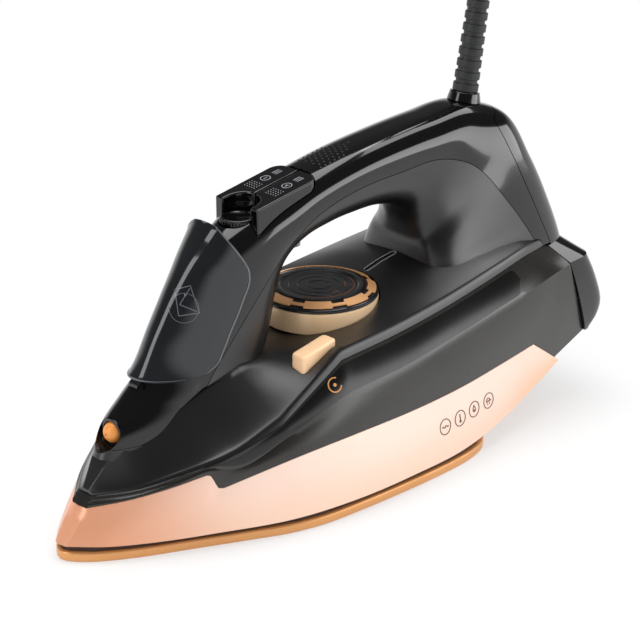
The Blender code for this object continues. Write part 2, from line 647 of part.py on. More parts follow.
def as_mesh_object(item, finish, name=None):
    """Turn a curve object into a welded mesh object of the same place, and name if none."""
    name = name or item.name
    place = item.matrix_world.copy()
    graph = bpy.context.evaluated_depsgraph_get()
    mesh = bpy.data.meshes.new_from_object(item.evaluated_get(graph))
    work = bmesh.new()
    work.from_mesh(mesh)
    bmesh.ops.remove_doubles(work, verts=work.verts, dist=WELD_DISTANCE)
    bmesh.ops.recalc_face_normals(work, faces=work.faces)
    work.to_mesh(mesh)
    work.free()
    bpy.data.objects.remove(item, do_unlink=True)
    mesh.materials.clear()
    made = add_object(name, mesh, finish)
    made.matrix_world = place
    return made


def plate(name, outlines, low, high, finish=None, upright=False):
    """Flat solid from closed outlines, the first filled and the others cut out of it.

    It lies between the heights low and high, or with upright between those y values, its
    outlines then being x and z.
    """
    curve = bpy.data.curves.new(name, "CURVE")
    curve.dimensions = "2D"
    curve.fill_mode = "BOTH"
    curve.extrude = (high - low) / 2
    for outline in outlines:
        spline = curve.splines.new("POLY")
        spline.points.add(len(outline) - 1)
        for point, (u, v) in zip(spline.points, outline):
            point.co = (u, v, 0.0, 1.0)
        spline.use_cyclic_u = True
    made = add_object(name, curve, finish)
    if upright:
        turn = Matrix.Rotation(math.radians(90.0), 4, "X")
        made.matrix_world = Matrix.Translation((0.0, (low + high) / 2, 0.0)) @ turn
    else:
        made.location = (0.0, 0.0, (low + high) / 2)
    bpy.context.view_layer.update()
    return as_mesh_object(made, finish)


def cylinder(name, radius, length, centre, finish=None, axis=(0.0, 0.0, 1.0), sides=24,
             end_radius=None):
    """Round bar, or cone with end_radius, centred on a point and turned to an axis."""
    mesh = bpy.data.meshes.new(name)
    work = bmesh.new()
    bmesh.ops.create_cone(work, cap_ends=True, cap_tris=False, segments=sides, radius1=radius,
                          radius2=radius if end_radius is None else end_radius, depth=length)
    work.to_mesh(mesh)
    work.free()
    made = add_object(name, mesh, finish)
    turn = Vector((0.0, 0.0, 1.0)).rotation_difference(Vector(axis)).to_matrix().to_4x4()
    made.matrix_world = Matrix.Translation(centre) @ turn
    return made


def box(name, size, centre, finish=None):
    """Box of a size, centred on a point."""
    mesh = bpy.data.meshes.new(name)
    work = bmesh.new()
    bmesh.ops.create_cube(work, size=1.0)
    bmesh.ops.scale(work, vec=size, verts=work.verts)
    work.to_mesh(mesh)
    work.free()
    made = add_object(name, mesh, finish)
    made.location = centre
    return made


def turned(name, profile, centre, finish=None, axis=(0.0, 0.0, 1.0), steps=24):
    """Turned piece: a closed radius and height outline run round its axis."""
    mesh = bpy.data.meshes.new(name)
    edges = [(i, i + 1) for i in range(len(profile) - 1)]
    if profile[0] == profile[-1]:
        profile = profile[:-1]
        edges[-1] = (len(profile) - 1, 0)
    mesh.from_pydata([(r, 0.0, z) for r, z in profile], edges, [])
    made = add_object(name, mesh, finish)
    screw = made.modifiers.new("turned", "SCREW")
    screw.steps = steps
    screw.render_steps = steps
    screw.use_merge_vertices = True
    screw.merge_threshold = TURNED_WELD_DISTANCE
    screw.use_smooth_shade = True
    turn = Vector((0.0, 0.0, 1.0)).rotation_difference(Vector(axis)).to_matrix().to_4x4()
    made.matrix_world = Matrix.Translation(centre) @ turn
    return made


def tube(name, points, diameter, finish=None, resolution=2):
    """Round rod or tube along points, with filled ends."""
    curve = bpy.data.curves.new(name, "CURVE")
    curve.dimensions = "3D"
    curve.bevel_depth = diameter / 2
    curve.bevel_resolution = resolution
    curve.use_fill_caps = True
    spline = curve.splines.new("POLY")
    spline.points.add(len(points) - 1)
    for point, place in zip(spline.points, points):
        point.co = (*place, 1.0)
    return add_object(name, curve, finish)


# Hull: level lines and the walls between them

def level_line(shares, breaks=(), knots=None):
    """Sampled level line: rows of x, half-width and z from its table of shares."""
    table = np.asarray(shares, dtype=float)
    rows = np.stack([(table[:, 0] - 0.5) * BODY_LENGTH, table[:, 1] * BODY_HALF_WIDTH,
                     table[:, 2] * BODY_HEIGHT], axis=1)
    return span_curve(rows, breaks=breaks, knots=knots)


def both_sides(line):
    """Level line carried round the nose: left side from the rear, nose centre, right side."""
    left = np.stack([line[:, 0], -line[:, 1], line[:, 2]], axis=1)[::-1]
    right = np.stack([line[:, 0], line[:, 1], line[:, 2]], axis=1)
    nose = np.array([[line[0, 0] - BULGE, 0.0, line[0, 2]]])
    return np.concatenate([left, nose, right])


def inset_line(line, wall):
    """The same line moved inwards in plan by a wall, measured square to it."""
    ahead = np.gradient(line[:, :2], axis=0)
    normal = np.stack([-ahead[:, 1], ahead[:, 0]], axis=1)
    normal /= np.linalg.norm(normal, axis=1)[:, None]
    middle = len(line) // 2
    if normal[middle, 0] < 0:
        normal = -normal
    moved = line.copy()
    moved[:, :2] += normal * wall
    return moved


def hull_wall(name, levels, wall):
    """Closed wall round the nose through level lines, as thick as wall in plan."""
    outer = np.stack([both_sides(level) for level in levels])
    inner = np.stack([inset_line(row, wall) for row in outer])
    return solid_between(name, outer, inner)


def halfway(low, high, share, bulge=0.0):
    """Line between two level lines, pushed out by bulge."""
    made = low + (high - low) * share
    made[:, 1] += bulge
    return made


def raised(line, height):
    """Level line moved up."""
    return line + np.array([0.0, 0.0, height])


SKIRT_FOOT = level_line(SKIRT_FOOT_SHARES)
SKIRT_TOP = level_line(SKIRT_TOP_SHARES, breaks=SKIRT_TOP_BREAKS)
TANK_FOOT = np.concatenate([SKIRT_TOP, level_line((SKIRT_TOP_SHARES[-1], TANK_TAIL_SHARE))[1:]])
TANK_CREASE = level_line(TANK_CREASE_SHARES)
TANK_TOP = level_line(TANK_TOP_SHARES, breaks=TANK_TOP_BREAKS)


def half_width_at(line, x):
    """Half-width of a level line at a place along the body."""
    return float(np.interp(x, line[:, 0], line[:, 1]))


def height_at(line, x):
    """Height of a level line at a place along the body."""
    return float(np.interp(x, line[:, 0], line[:, 2]))


# Housing surface

def station_values(shares):
    """Values given at the hull's stations, spread to the samples between them."""
    stations = np.arange(len(shares)) * SPAN_SAMPLES
    return np.interp(np.arange(stations[-1] + 1), stations, shares)


def deck_height(across, station):
    """Heights of the housing over a row of shares across, at one sample along the body.

    It rises by the rim just inside the edge, and from there to the middle: as a crown
    behind the dial, and as the flank of a hill beside the front post.
    """
    edge = TANK_TOP[station, 2]
    rim = DECK_RIM * station_values(DECK_RIM_SHARES)[station]
    middle = station_values(DECK_MIDDLE_SHARES)[station] * BODY_HEIGHT
    hill = station_values(DECK_HILL_SHARES)[station]
    inside = DECK_ACROSS_SHARES[2]
    share = np.clip(np.abs(across) / inside, 0.0, 1.0)
    crown = 1.0 - share ** 2
    flank = np.clip((1.0 - share) / HILL_FOOT_SHARE, 0.0, 1.0) ** HILL_POWER
    rise = (middle - edge - rim) * (crown * (1.0 - hill) + flank * hill)
    lip = np.clip((1.0 - np.abs(across)) / (1.0 - inside), 0.0, 1.0)
    return edge + rim * np.sin(lip * math.pi / 2) + rise


def deck_grid(lift=0.0, wall=0.0, margin_share=None):
    """Grid of the housing's top, or with a wall of its underside, rear to nose by side."""
    shares = np.array(DECK_ACROSS_SHARES)
    across = np.concatenate([-shares, shares[-2::-1]])
    rows = []
    for station, (x, half, edge) in enumerate(TANK_TOP):
        z = deck_height(across, station)
        y = across * half
        if wall:
            y = across * (half - wall)
            z = np.maximum(deck_height(across * (half - wall) / half, station) - wall,
                           edge + HOUSING_LIP)
            z[0] = edge
            z[-1] = edge
        if margin_share is not None:
            y = np.concatenate([[-half * margin_share], y, [half * margin_share]])
            z = np.concatenate([[z[0]], z, [z[-1]]])
        rows.append(np.stack([np.full_like(y, x), y, z + lift], axis=1))
    return np.array(rows)


def under_deck(name, lift):
    """Cutter that fills everything below the housing's top, moved up by lift."""
    top = deck_grid(lift, margin_share=DECK_MARGIN_SHARE)
    first = top[0] - np.array([DECK_RUN_ON, 0.0, 0.0])
    last = top[-1] + np.array([DECK_RUN_ON, 0.0, 0.0])
    top = np.concatenate([first[None], top, last[None]])
    bottom = top.copy()
    bottom[..., 2] = -OVERRUN
    return add_object(name, solid_between(name, top, bottom))


def deck_z(x, y):
    """Height of the housing's top above a point."""
    grid = deck_grid()
    station = int(np.argmin(np.abs(grid[:, 0, 0] - x)))
    station = min(max(station, 1), len(grid) - 2)
    if grid[station, 0, 0] > x:
        station -= 1
    heights = [np.interp(y, grid[i, :, 1], grid[i, :, 2]) for i in (station, station + 1)]
    span = grid[station + 1, 0, 0] - grid[station, 0, 0]
    share = (x - grid[station, 0, 0]) / span
    return float(heights[0] + (heights[1] - heights[0]) * share)


# Handle arch

def arch_stations(inset=0.0, samples=ARCH_SAMPLES):
    """Sampled arch: outer and inner point, half-width, place of the widest, and power."""
    table = np.asarray(ARCH_SHARES, dtype=float)
    rows = np.stack([(table[:, 0] - 0.5) * BODY_LENGTH, table[:, 1] * BODY_HEIGHT,
                     (table[:, 2] - 0.5) * BODY_LENGTH, table[:, 3] * BODY_HEIGHT,
                     table[:, 4] * HANDLE_HALF_WIDTH, table[:, 5], table[:, 6]], axis=1)
    line = span_curve(rows, samples)
    outer, inner, half = line[:, 0:2], line[:, 2:4], line[:, 4]
    across = inner - outer
    depth = np.linalg.norm(across, axis=1)[:, None]
    unit = across / depth
    return outer + unit * inset, inner - unit * inset, half - inset, line[:, 5], line[:, 6]


def arch_ring(outer, inner, half, widest, power, points=ARCH_POINTS_A_HALF):
    """One closed section of the arch, a squarish oval from its outer to its inner point."""
    angle = np.linspace(-math.pi / 2, math.pi / 2, points)
    along = 1.0 - np.abs(np.cos(angle)) ** power
    side = np.sign(np.sin(angle)) * np.abs(np.sin(angle)) ** power
    shares = np.concatenate([along * widest, (1.0 - along * (1.0 - widest))[1:-1][::-1]])
    sides = np.concatenate([side, side[1:-1][::-1]]) * half
    place = outer[None] + (inner - outer)[None] * shares[:, None]
    return np.stack([place[:, 0], sides, place[:, 1]], axis=1)


def arch_solid(name, inset=0.0, finish=None, reach=0.0):
    """Closed solid of the whole arch, with its ends run on by reach."""
    rings = np.array([arch_ring(*row) for row in zip(*arch_stations(inset))])
    if reach:
        step = rings[0] - rings[1]
        rings = np.concatenate([[rings[0] + step], rings, [2 * rings[-1] - rings[-2]]])
    return add_object(name, loft(name, rings), finish)


def side_view(shares, samples=SPAN_SAMPLES, straight=False):
    """Points x, z of a line drawn in the side view, from its shares."""
    table = np.asarray(shares, dtype=float)
    rows = np.stack([(table[:, 0] - 0.5) * BODY_LENGTH, table[:, 1] * BODY_HEIGHT], axis=1)
    return rows if straight else span_curve(rows, samples)


def offset_path(path, distance):
    """Open path in the side view moved to its right-hand side by a distance, with mitres."""
    ahead = np.diff(path, axis=0)
    ahead /= np.linalg.norm(ahead, axis=1)[:, None]
    normal = np.stack([ahead[:, 1], -ahead[:, 0]], axis=1)
    before = np.concatenate([normal[:1], normal])
    after = np.concatenate([normal, normal[-1:]])
    mitre = (before + after) / (1.0 + np.sum(before * after, axis=1))[:, None]
    return path + mitre * distance


def prism(name, outline, reach=BODY_HALF_WIDTH):
    """Cutter drawn in the side view and run across the whole body."""
    return plate(name, [outline], -reach, reach, upright=True)


def arch_line(offset=0.0):
    """Fine samples of the arch and the outward normal of its outer line, station by station."""
    outer, inner, half, widest, power = arch_stations(samples=ARCH_FINE_SAMPLES)
    ahead = np.gradient(outer, axis=0)
    ahead /= np.linalg.norm(ahead, axis=1)[:, None]
    normal = np.stack([-ahead[:, 1], ahead[:, 0]], axis=1)
    return outer + normal * offset, inner, half, widest, power, normal


def arch_at(share):
    """Outer and inner point, half-width, widest place, power and normal at a share of the arch."""
    values = []
    for column in arch_line():
        table = column if column.ndim == 2 else column[:, None]
        places = np.linspace(0.0, 1.0, len(table))
        row = [np.interp(share, places, table[:, i]) for i in range(table.shape[1])]
        values.append(np.array(row) if column.ndim == 2 else row[0])
    return values


# Outlines in plan

def arc(centre, radius, start_degrees, end_degrees, steps):
    """Points of an arc, from its start angle to its end angle."""
    angle = np.radians(np.linspace(start_degrees, end_degrees, steps + 1))
    return [(centre[0] + radius * math.cos(a), centre[1] + radius * math.sin(a)) for a in angle]


def circle(centre, radius, sides=24):
    """Points of a whole circle."""
    return arc(centre, radius, 0.0, 360.0, sides)[:-1]


def capsule(a, b, radius, steps=8):
    """Outline of a bar with round ends between two points."""
    turn = math.degrees(math.atan2(b[1] - a[1], b[0] - a[0]))
    far = arc(b, radius, turn - 90.0, turn + 90.0, steps)
    near = arc(a, radius, turn + 90.0, turn + 270.0, steps)
    return far + near


def sole_side(side_inset=0.0, nose_retreat=0.0, rear_retreat=0.0, samples=2):
    """Right half of the soleplate's outline, drawn in, as rows of x and half-width."""
    table = np.asarray(SOLE_OUTLINE_SHARES, dtype=float)
    line = span_curve(table, samples)
    nose = -BODY_LENGTH / 2 + nose_retreat
    length = SOLE_LENGTH - nose_retreat - rear_retreat
    half = np.maximum(line[:, 1], 0.0) * (SOLE_HALF_WIDTH - side_inset)
    return np.stack([nose + line[:, 0] * length, half], axis=1)


def sole_outline(side_inset=0.0, nose_retreat=0.0, rear_retreat=0.0, samples=1):
    """Closed outline of the soleplate's shape, drawn in."""
    side = sole_side(side_inset, nose_retreat, rear_retreat, samples)
    left = [(x, -y) for x, y in side[1:-1]]
    return [tuple(p) for p in side] + left[::-1]


# Base: soleplate and heater

def steam_holes(name):
    """Cutter of the steam holes, in two rows that follow the outline."""
    side = sole_side()
    mesh = bpy.data.meshes.new(name)
    work = bmesh.new()
    places = []
    for i in range(STEAM_HOLES_A_SIDE):
        x = HOLES_FRONT_X + (HOLES_REAR_X - HOLES_FRONT_X) * i / (STEAM_HOLES_A_SIDE - 1)
        y = float(np.interp(x, side[:, 0], side[:, 1])) * HOLES_SIDE_SHARE
        places += [(x, y), (x, -y)]
    places.append((NOSE_HOLE_X, 0.0))
    for x, y in places:
        turn = Matrix.Translation((x, y, SOLE_THICKNESS / 2))
        bmesh.ops.create_cone(work, cap_ends=True, cap_tris=False, segments=8,
                              radius1=STEAM_HOLE_DIAMETER / 2, radius2=STEAM_HOLE_DIAMETER / 2,
                              depth=SOLE_THICKNESS + 2 * OVERRUN, matrix=turn)
    work.to_mesh(mesh)
    work.free()
    return add_object(name, mesh)


def element_route(rise):
    """Route of the tubular heating element: a U round the steam chamber, its ends raised."""
    side = sole_side(ELEMENT_INSET, ELEMENT_NOSE_RETREAT, ELEMENT_REAR_RETREAT, 1)
    side = side[1:]
    side = side[side[:, 0] < ELEMENT_END_X]
    z = HEATER_BOTTOM_Z + HEATER_HEIGHT - ELEMENT_DIAMETER * ELEMENT_SINK_SHARE
    end = side[-1]
    foot = ELEMENT_DIAMETER / 2
    raised_end = [(end[0] + foot, end[1], z), (end[0] + 2 * foot, end[1], z + foot),
                  (end[0] + 2 * foot, end[1], z + foot + rise)]
    right = [(x, y, z) for x, y in side] + raised_end
    left = [(x, -y, z) for x, y, z in right]
    return left[::-1] + right


def build_heater(looks):
    """Soleplate, heat shield, heating body, its element, chamber cover and thermostat."""
    sole = plate("soleplate", [sole_outline(samples=2)], 0.0, SOLE_THICKNESS, looks["sole"])
    bevel(sole, SOLE_EDGE_ROUND)
    boolean(sole, steam_holes("steam_hole_tool"))
    shield_top = SHIELD_BOTTOM_Z + SHIELD_THICKNESS
    hole = sole_outline(HEATER_INSET - SHIELD_CLEARANCE, HEATER_NOSE_RETREAT - SHIELD_CLEARANCE,
                        HEATER_REAR_RETREAT - SHIELD_CLEARANCE)
    edge = sole_outline(SHIELD_INSET, SHIELD_INSET, SHIELD_INSET)
    plate("heat_shield", [edge, hole], SHIELD_BOTTOM_Z, shield_top, looks["shield"])

    top = HEATER_BOTTOM_Z + HEATER_HEIGHT
    outline = sole_outline(HEATER_INSET, HEATER_NOSE_RETREAT, HEATER_REAR_RETREAT)
    body = plate("heating_body", [outline], HEATER_BOTTOM_Z, top, looks["cast"])
    bevel(body, HEATER_BEVEL)
    groove = tube("groove_curve", element_route(ELEMENT_TERMINAL_RISE),
                  ELEMENT_DIAMETER + 2 * SEAT_GAP)
    bpy.context.view_layer.update()
    boolean(body, as_mesh_object(groove, None))
    lid = (CHAMBER_INSET, CHAMBER_NOSE_RETREAT, CHAMBER_REAR_RETREAT)
    ledge = sole_outline(*(value + CHAMBER_LEDGE for value in lid))
    boolean(body, plate("chamber_tool", [ledge], top - CHAMBER_DEPTH, top + OVERRUN))
    element = tube("heating_element", element_route(ELEMENT_TERMINAL_RISE), ELEMENT_DIAMETER,
                   looks["steel"])
    bpy.context.view_layer.update()
    as_mesh_object(element, looks["steel"])
    cover_z = top + GAP
    plate("steam_chamber_cover", [sole_outline(*lid)], cover_z,
          cover_z + CHAMBER_COVER_THICKNESS, looks["steel"])
    sensor = box("thermostat", THERMOSTAT_SIZE, (0.0, 0.0, top + GAP + THERMOSTAT_SIZE[2] / 2),
                 looks["ceramic"])
    bevel(sensor, THERMOSTAT_EDGE)
    cylinder("thermal_fuse", FUSE_DIAMETER / 2, FUSE_LENGTH,
             (FUSE_X, 0.0, top + GAP + FUSE_DIAMETER / 2), looks["ceramic"], (0.0, 1.0, 0.0), 12)


def underside(name, line, front, rear, wall):
    """Slab that closes a hull's underside along its foot line, let into the walls."""
    rings = []
    for x in np.linspace(front, rear, BELLY_RINGS):
        half = half_width_at(line, x) - wall + BELLY_BITE
        low = height_at(line, x) + BELLY_LIFT
        high = low + BELLY_WALL
        rings.append([(x, -half, low), (x, half, low), (x, half, high), (x, -half, high)])
    return add_object(name, loft(name, rings))


def build_base(looks):
    """Skirt and tank walls with their undersides, and the tank's floor."""
    skirt_levels = [SKIRT_FOOT, halfway(SKIRT_FOOT, SKIRT_TOP, 0.5, BULGE), SKIRT_TOP]
    skirt = add_object("skirt", hull_wall("skirt", skirt_levels, SKIRT_WALL), looks["rose_gold"])
    boolean(skirt, underside("belly_tool", SKIRT_FOOT, BELLY_FRONT_X,
                             SKIRT_FOOT[-1, 0] - BELLY_BITE, SKIRT_WALL), "UNION")
    foot = raised(TANK_FOOT, GAP)
    top = raised(TANK_TOP, -GAP)
    levels = [foot, halfway(foot, TANK_CREASE, 0.5, BULGE), TANK_CREASE,
              halfway(TANK_CREASE, top, 0.5, BULGE), top]
    tank = add_object("water_tank", hull_wall("water_tank", levels, TANK_WALL), looks["smoke"])
    boolean(tank, underside("tail_tool", foot, SKIRT_TOP[-1, 0] + BELLY_BITE,
                            foot[-1, 0] - BELLY_BITE, TANK_WALL), "UNION")
    build_tank_floor(looks)


def upright_rod(name, radius, low, high, finish=None):
    """Round bar on the axis of the steam knob, between two heights."""
    return cylinder(name, radius, high - low, (KNOB_X, 0.0, (low + high) / 2), finish, sides=12)


def rod_passage(name):
    """Cutter for the valve rod's passage, open at its foot."""
    return upright_rod(name, ROD_RADIUS + ROD_CLEARANCE, ROD_FOOT_Z - ROD_PASSAGE_OVERRUN,
                       KNOB_BOTTOM_Z)


def build_tank_floor(looks):
    """Floor of the tank with the sleeve that keeps the dial's shaft dry."""
    line = TANK_CREASE.copy()
    line[:, 1] = [min(half, half_width_at(TANK_FOOT, x)) for x, half, _ in line]
    line = line[(line[:, 0] > TANK_FLOOR_FRONT) & (line[:, 0] < TANK_FLOOR_REAR)]
    rim = inset_line(both_sides(line), TANK_WALL + TANK_FLOOR_CLEARANCE)
    high = TANK_FLOOR_Z + TANK_FLOOR_THICKNESS
    floor = plate("tank_floor", [[(x, y) for x, y, _ in rim]], TANK_FLOOR_Z, high,
                  looks["matte_black"])
    bore = SHAFT_RADIUS + SHAFT_CLEARANCE
    sleeve_top = DIAL_BASE_Z - GAP - DIAL_CUP_FLOOR - SEAT_GAP
    length = sleeve_top - TANK_FLOOR_Z
    middle = (0.0, 0.0, TANK_FLOOR_Z + length / 2)
    boolean(floor, cylinder("sleeve_tool", bore + SLEEVE_WALL, length, middle), "UNION")
    boolean(floor, cylinder("sleeve_bore_tool", bore, length + 2 * OVERRUN, middle))
    boolean(floor, rod_passage("floor_rod_tool"))
    return floor


# Housing, handle cover and rear cover

def build_housing(looks):
    """Housing with its deck and the handle's frame, and the cover on top of them."""
    top = deck_grid()
    under = deck_grid(wall=HOUSING_WALL)
    housing = add_object("housing", solid_between("housing", top, under), looks["matte_black"])
    parting = side_view(PARTING_SHARES)
    seam = side_view(REAR_SEAM_SHARES, straight=True)
    high = BODY_HEIGHT + DECK_RUN_ON
    front = parting[0, 0] - DECK_RUN_ON
    cover_outline = np.concatenate([parting, seam, [[seam[-1, 0], high], [front, high],
                                                    [front, parting[0, 1]]]])
    lower = offset_path(parting, PARTING_GAP)
    frame_outline = np.concatenate([lower, [[lower[-1, 0], 0.0], [lower[0, 0], 0.0]]])
    core = arch_solid("arch_core", FRAME_WALL, reach=OVERRUN)
    frame = arch_solid("handle_frame_tool")
    carve(frame, core)
    carve(frame, prism("frame_region", frame_outline), "INTERSECT")
    carve(frame, under_deck("below_frame", -HOUSING_WALL / 2))
    carve(housing, frame, "UNION")
    cut_housing(housing)
    cover = arch_solid("handle_cover", finish=looks["gloss_black"])
    carve(cover, core)
    add_lugs(cover)
    carve(cover, prism("cover_region", cover_outline), "INTERSECT")
    carve(cover, under_deck("below_cover", SEAT_GAP))
    cut_cover(cover)
    build_rear_cover(looks, core, seam)
    return housing, cover


def slot(name, front, rear, half_width, low, high):
    """Box cutter between two places along the body."""
    size = (rear - front, 2 * half_width, high - low)
    return box(name, size, ((front + rear) / 2, 0.0, (low + high) / 2))


def nozzle_tool(name, radius):
    """Cutter for what passes through the nose along -X."""
    length = 2 * (NOZZLE_BACK_X - NOZZLE_TIP_X)
    return cylinder(name, radius, length, (NOZZLE_BACK_X - length / 2 + OVERRUN, 0.0, NOZZLE_Z),
                    None, (-1.0, 0.0, 0.0), NOSE_BORE_SIDES)


def cut_housing(housing):
    """Cup and bores of the dial, passages in the deck, room for the buttons, small openings."""
    pocket = DIAL_RADIUS + DIAL_CLEARANCE
    floor_z = DIAL_BASE_Z - GAP
    low = floor_z - DIAL_CUP_FLOOR
    cup = cylinder("dial_cup_tool", pocket + DIAL_CUP_WALL, DIAL_CUP_HEIGHT,
                   (0.0, 0.0, low + DIAL_CUP_HEIGHT / 2), sides=DIAL_STEPS)
    carve(cup, under_deck("below_deck_middle", -HOUSING_WALL / 2), "INTERSECT")
    carve(housing, cup, "UNION")
    carve(housing, cylinder("dial_pocket_tool", pocket, DIAL_CUP_HEIGHT,
                              (0.0, 0.0, floor_z + DIAL_CUP_HEIGHT / 2), sides=DIAL_STEPS))
    carve(housing, cylinder("shaft_hole_tool", SHAFT_RADIUS + SHAFT_CLEARANCE,
                              DIAL_CUP_HEIGHT, (0.0, 0.0, floor_z)))
    carve(housing, slot("column_passage_tool", DECK_PASSAGE_FRONT, DECK_PASSAGE_REAR,
                          DECK_PASSAGE_HALF_WIDTH, TANK_FLOOR_Z, BRACKET_BOTTOM_Z))
    carve(housing, slot("wire_passage_tool", WIRE_PASSAGE_FRONT, WIRE_PASSAGE_REAR,
                          WIRE_PASSAGE_HALF_WIDTH, DIAL_BASE_Z, BRACKET_BOTTOM_Z))
    carve(housing, nozzle_tool("nose_bore_tool", BEZEL_RADIUS + GAP))
    outline = clean_button_outline(BUTTON_CLEARANCE)
    carve(housing, plate("clean_slot_tool", [outline], TANK_FLOOR_Z, DIAL_BASE_Z + OVERRUN))
    size = [value + 2 * SEAT_GAP for value in LENS_SIZE]
    carve(housing, box("lens_slot_tool", size, (LENS_X, 0.0, LENS_Z)))
    low = BUTTON_BOTTOM_Z - BUTTON_TRAVEL - GAP
    carve(housing, plate("button_well_tool", [button_opening(BUTTON_CLEARANCE)], low,
                         BODY_HEIGHT + OVERRUN))
    carve(housing, groove_tool())


def groove_tool():
    """Cutter of the shallow pointer groove behind the dial, as deep all along the deck."""
    outline = capsule((GROOVE_START_X, 0.0), (GROOVE_END_X, 0.0), GROOVE_WIDTH / 2, 4)
    tool = plate("groove_tool", [outline], DIAL_BASE_Z, BRACKET_BOTTOM_Z)
    return carve(tool, under_deck("groove_floor_tool", -GROOVE_DEPTH))


def add_lugs(cover):
    """Two lugs inside the cover at the foot of the fill door, which carry its pin."""
    axis = door_axis()
    normal = arch_at(DOOR_HINGE_STATION_SHARE)[5]
    back = (axis[0] - normal[0] * LUG_REACH, axis[1] - normal[1] * LUG_REACH)
    for side in (-1.0, 1.0):
        near = DOOR_BEAD_LENGTH / 2 + BUTTON_CLEARANCE
        low, high = sorted((side * near, side * (near + LUG_WIDTH)))
        lug = plate("lug_tool", [capsule(axis, back, LUG_RADIUS)], low, high, upright=True)
        carve(lug, arch_solid("lug_fit_tool"), "INTERSECT")
        carve(cover, lug, "UNION")


def guard_axis():
    """Direction of the leaning cord guard and its free length."""
    run = np.array(GUARD_END) - np.array(GUARD_BASE)
    length = float(np.linalg.norm(run))
    return run / length, length


def cut_cover(cover):
    """Openings of the handle's cover: buttons, knob, fill port, pin, nozzle and cord."""
    grown = button_opening(BUTTON_CLEARANCE)
    high = BODY_HEIGHT + OVERRUN
    carve(cover, plate("button_opening_tool", [grown], BUTTON_BOTTOM_Z - BUTTON_TRAVEL, high))
    carve(cover, plate("knob_opening_tool", [circle((KNOB_X, 0.0), KNOB_RADIUS + KNOB_CLEARANCE)],
                         BUTTON_BOTTOM_Z - BUTTON_TRAVEL, high))
    place, direction = port_axis()
    reach = 2 * FUNNEL_RADIUS
    carve(cover, cylinder("port_tool", FUNNEL_RADIUS + SEAT_GAP, reach, place, None,
                            direction))
    axis = door_axis()
    carve(cover, cylinder("bead_pocket_tool", DOOR_BEAD_RADIUS + DOOR_BEAD_CLEARANCE,
                          DOOR_BEAD_LENGTH + 2 * BUTTON_CLEARANCE, (axis[0], 0.0, axis[1]),
                          None, (0.0, 1.0, 0.0), 16))
    carve(cover, cylinder("pin_bore_tool", PIN_RADIUS + PIN_CLEARANCE, 2 * DOOR_BEAD_LENGTH,
                            (axis[0], 0.0, axis[1]), None, (0.0, 1.0, 0.0), 12))
    carve(cover, nozzle_tool("cover_nose_bore_tool", BEZEL_RADIUS + GAP))
    direction, _ = guard_axis()
    carve(cover, cylinder("cord_hole_tool", GUARD_STEM_RADIUS + GUARD_CLEARANCE,
                            4 * GUARD_STEM_LENGTH, GUARD_BASE, None, direction))


def rear_edge_x(z):
    """Place along the body of the tank's rear edge at a height."""
    ends = np.array([TANK_FOOT[-1], TANK_CREASE[-1], TANK_TOP[-1]])
    return float(np.interp(z, ends[:, 2], ends[:, 0]))


def heel_rings(inset):
    """Closed rings of the heel from its shelf down, drawn in by inset and open to the front."""
    table = np.asarray(HEEL_SHARES, dtype=float)
    line = span_curve(table, 2, breaks=(1,), knots=np.arange(len(table), dtype=float))
    angle = np.linspace(-math.pi / 2, math.pi / 2, HEEL_COLUMNS)
    rings = []
    for step, (front_z, rear_x, rear_z, half, square) in enumerate(line):
        z = front_z * BODY_HEIGHT
        sink = inset if step == 0 else -inset if step == len(line) - 1 else 0.0
        front = rear_edge_x(z) + SEAM_GAP - (HEEL_OPEN_FRONT if inset else 0.0)
        rear = (rear_x - 0.5) * BODY_LENGTH - inset
        share = np.abs(np.cos(angle)) ** square
        side = np.sign(np.sin(angle)) * np.abs(np.sin(angle)) ** square
        x = front + (rear - front) * share
        heights = z + (rear_z * BODY_HEIGHT - z) * share - sink
        rings.append(np.stack([x, side * (half * BODY_HALF_WIDTH - inset), heights], axis=1))
    return rings


def build_rear_cover(looks, core, seam):
    """Rear cover: the arch behind the seam, with the heel the iron stands on end with."""
    cover = arch_solid("rear_cover", finish=looks["gloss_black"])
    path = offset_path(seam, SEAM_GAP)
    far = BODY_LENGTH
    outline = np.concatenate([path, [[far, path[-1, 1]], [far, REAR_REGION_Z],
                                     [path[0, 0], REAR_REGION_Z]]])
    boolean(cover, prism("rear_region", outline), "INTERSECT")
    heel = add_object("heel_tool", loft("heel_tool", heel_rings(0.0)))
    boolean(cover, heel, "UNION")
    boolean(cover, core)
    hollow = add_object("heel_hollow_tool", loft("heel_hollow_tool", heel_rings(REAR_WALL)))
    boolean(cover, hollow)
    length = SCREW_BOSS_REAR - SCREW_BOSS_FRONT
    forward = (1.0, 0.0, 0.0)
    boolean(cover, cylinder("boss_tool", SCREW_BOSS_RADIUS, length,
                            (SCREW_BOSS_FRONT + length / 2, 0.0, SCREW_Z), None, forward), "UNION")
    head = SCREW_HEAD_X - SCREW_HEAD_HEIGHT - GAP
    boolean(cover, cylinder("screw_well_tool", SCREW_HEAD_RADIUS + SEAT_GAP, DECK_RUN_ON,
                            (head + DECK_RUN_ON / 2, 0.0, SCREW_Z), None, forward))
    boolean(cover, cylinder("screw_hole_tool", SCREW_SHANK_RADIUS + SEAT_GAP, DECK_RUN_ON,
                            (SCREW_BOSS_FRONT, 0.0, SCREW_Z), None, forward))
    under = SCREW_HEAD_X - SCREW_HEAD_HEIGHT
    profile = [(0.0, SCREW_HEAD_HEIGHT), (SCREW_HEAD_RADIUS, SCREW_HEAD_HEIGHT),
               (SCREW_HEAD_RADIUS, 0.0), (SCREW_SHANK_RADIUS, 0.0),
               (SCREW_SHANK_RADIUS, -SCREW_SHANK_LENGTH), (0.0, -SCREW_SHANK_LENGTH)]
    turned("rear_screw", profile, (under, 0.0, SCREW_Z), looks["steel"], forward, 16)
    return cover


# Controls

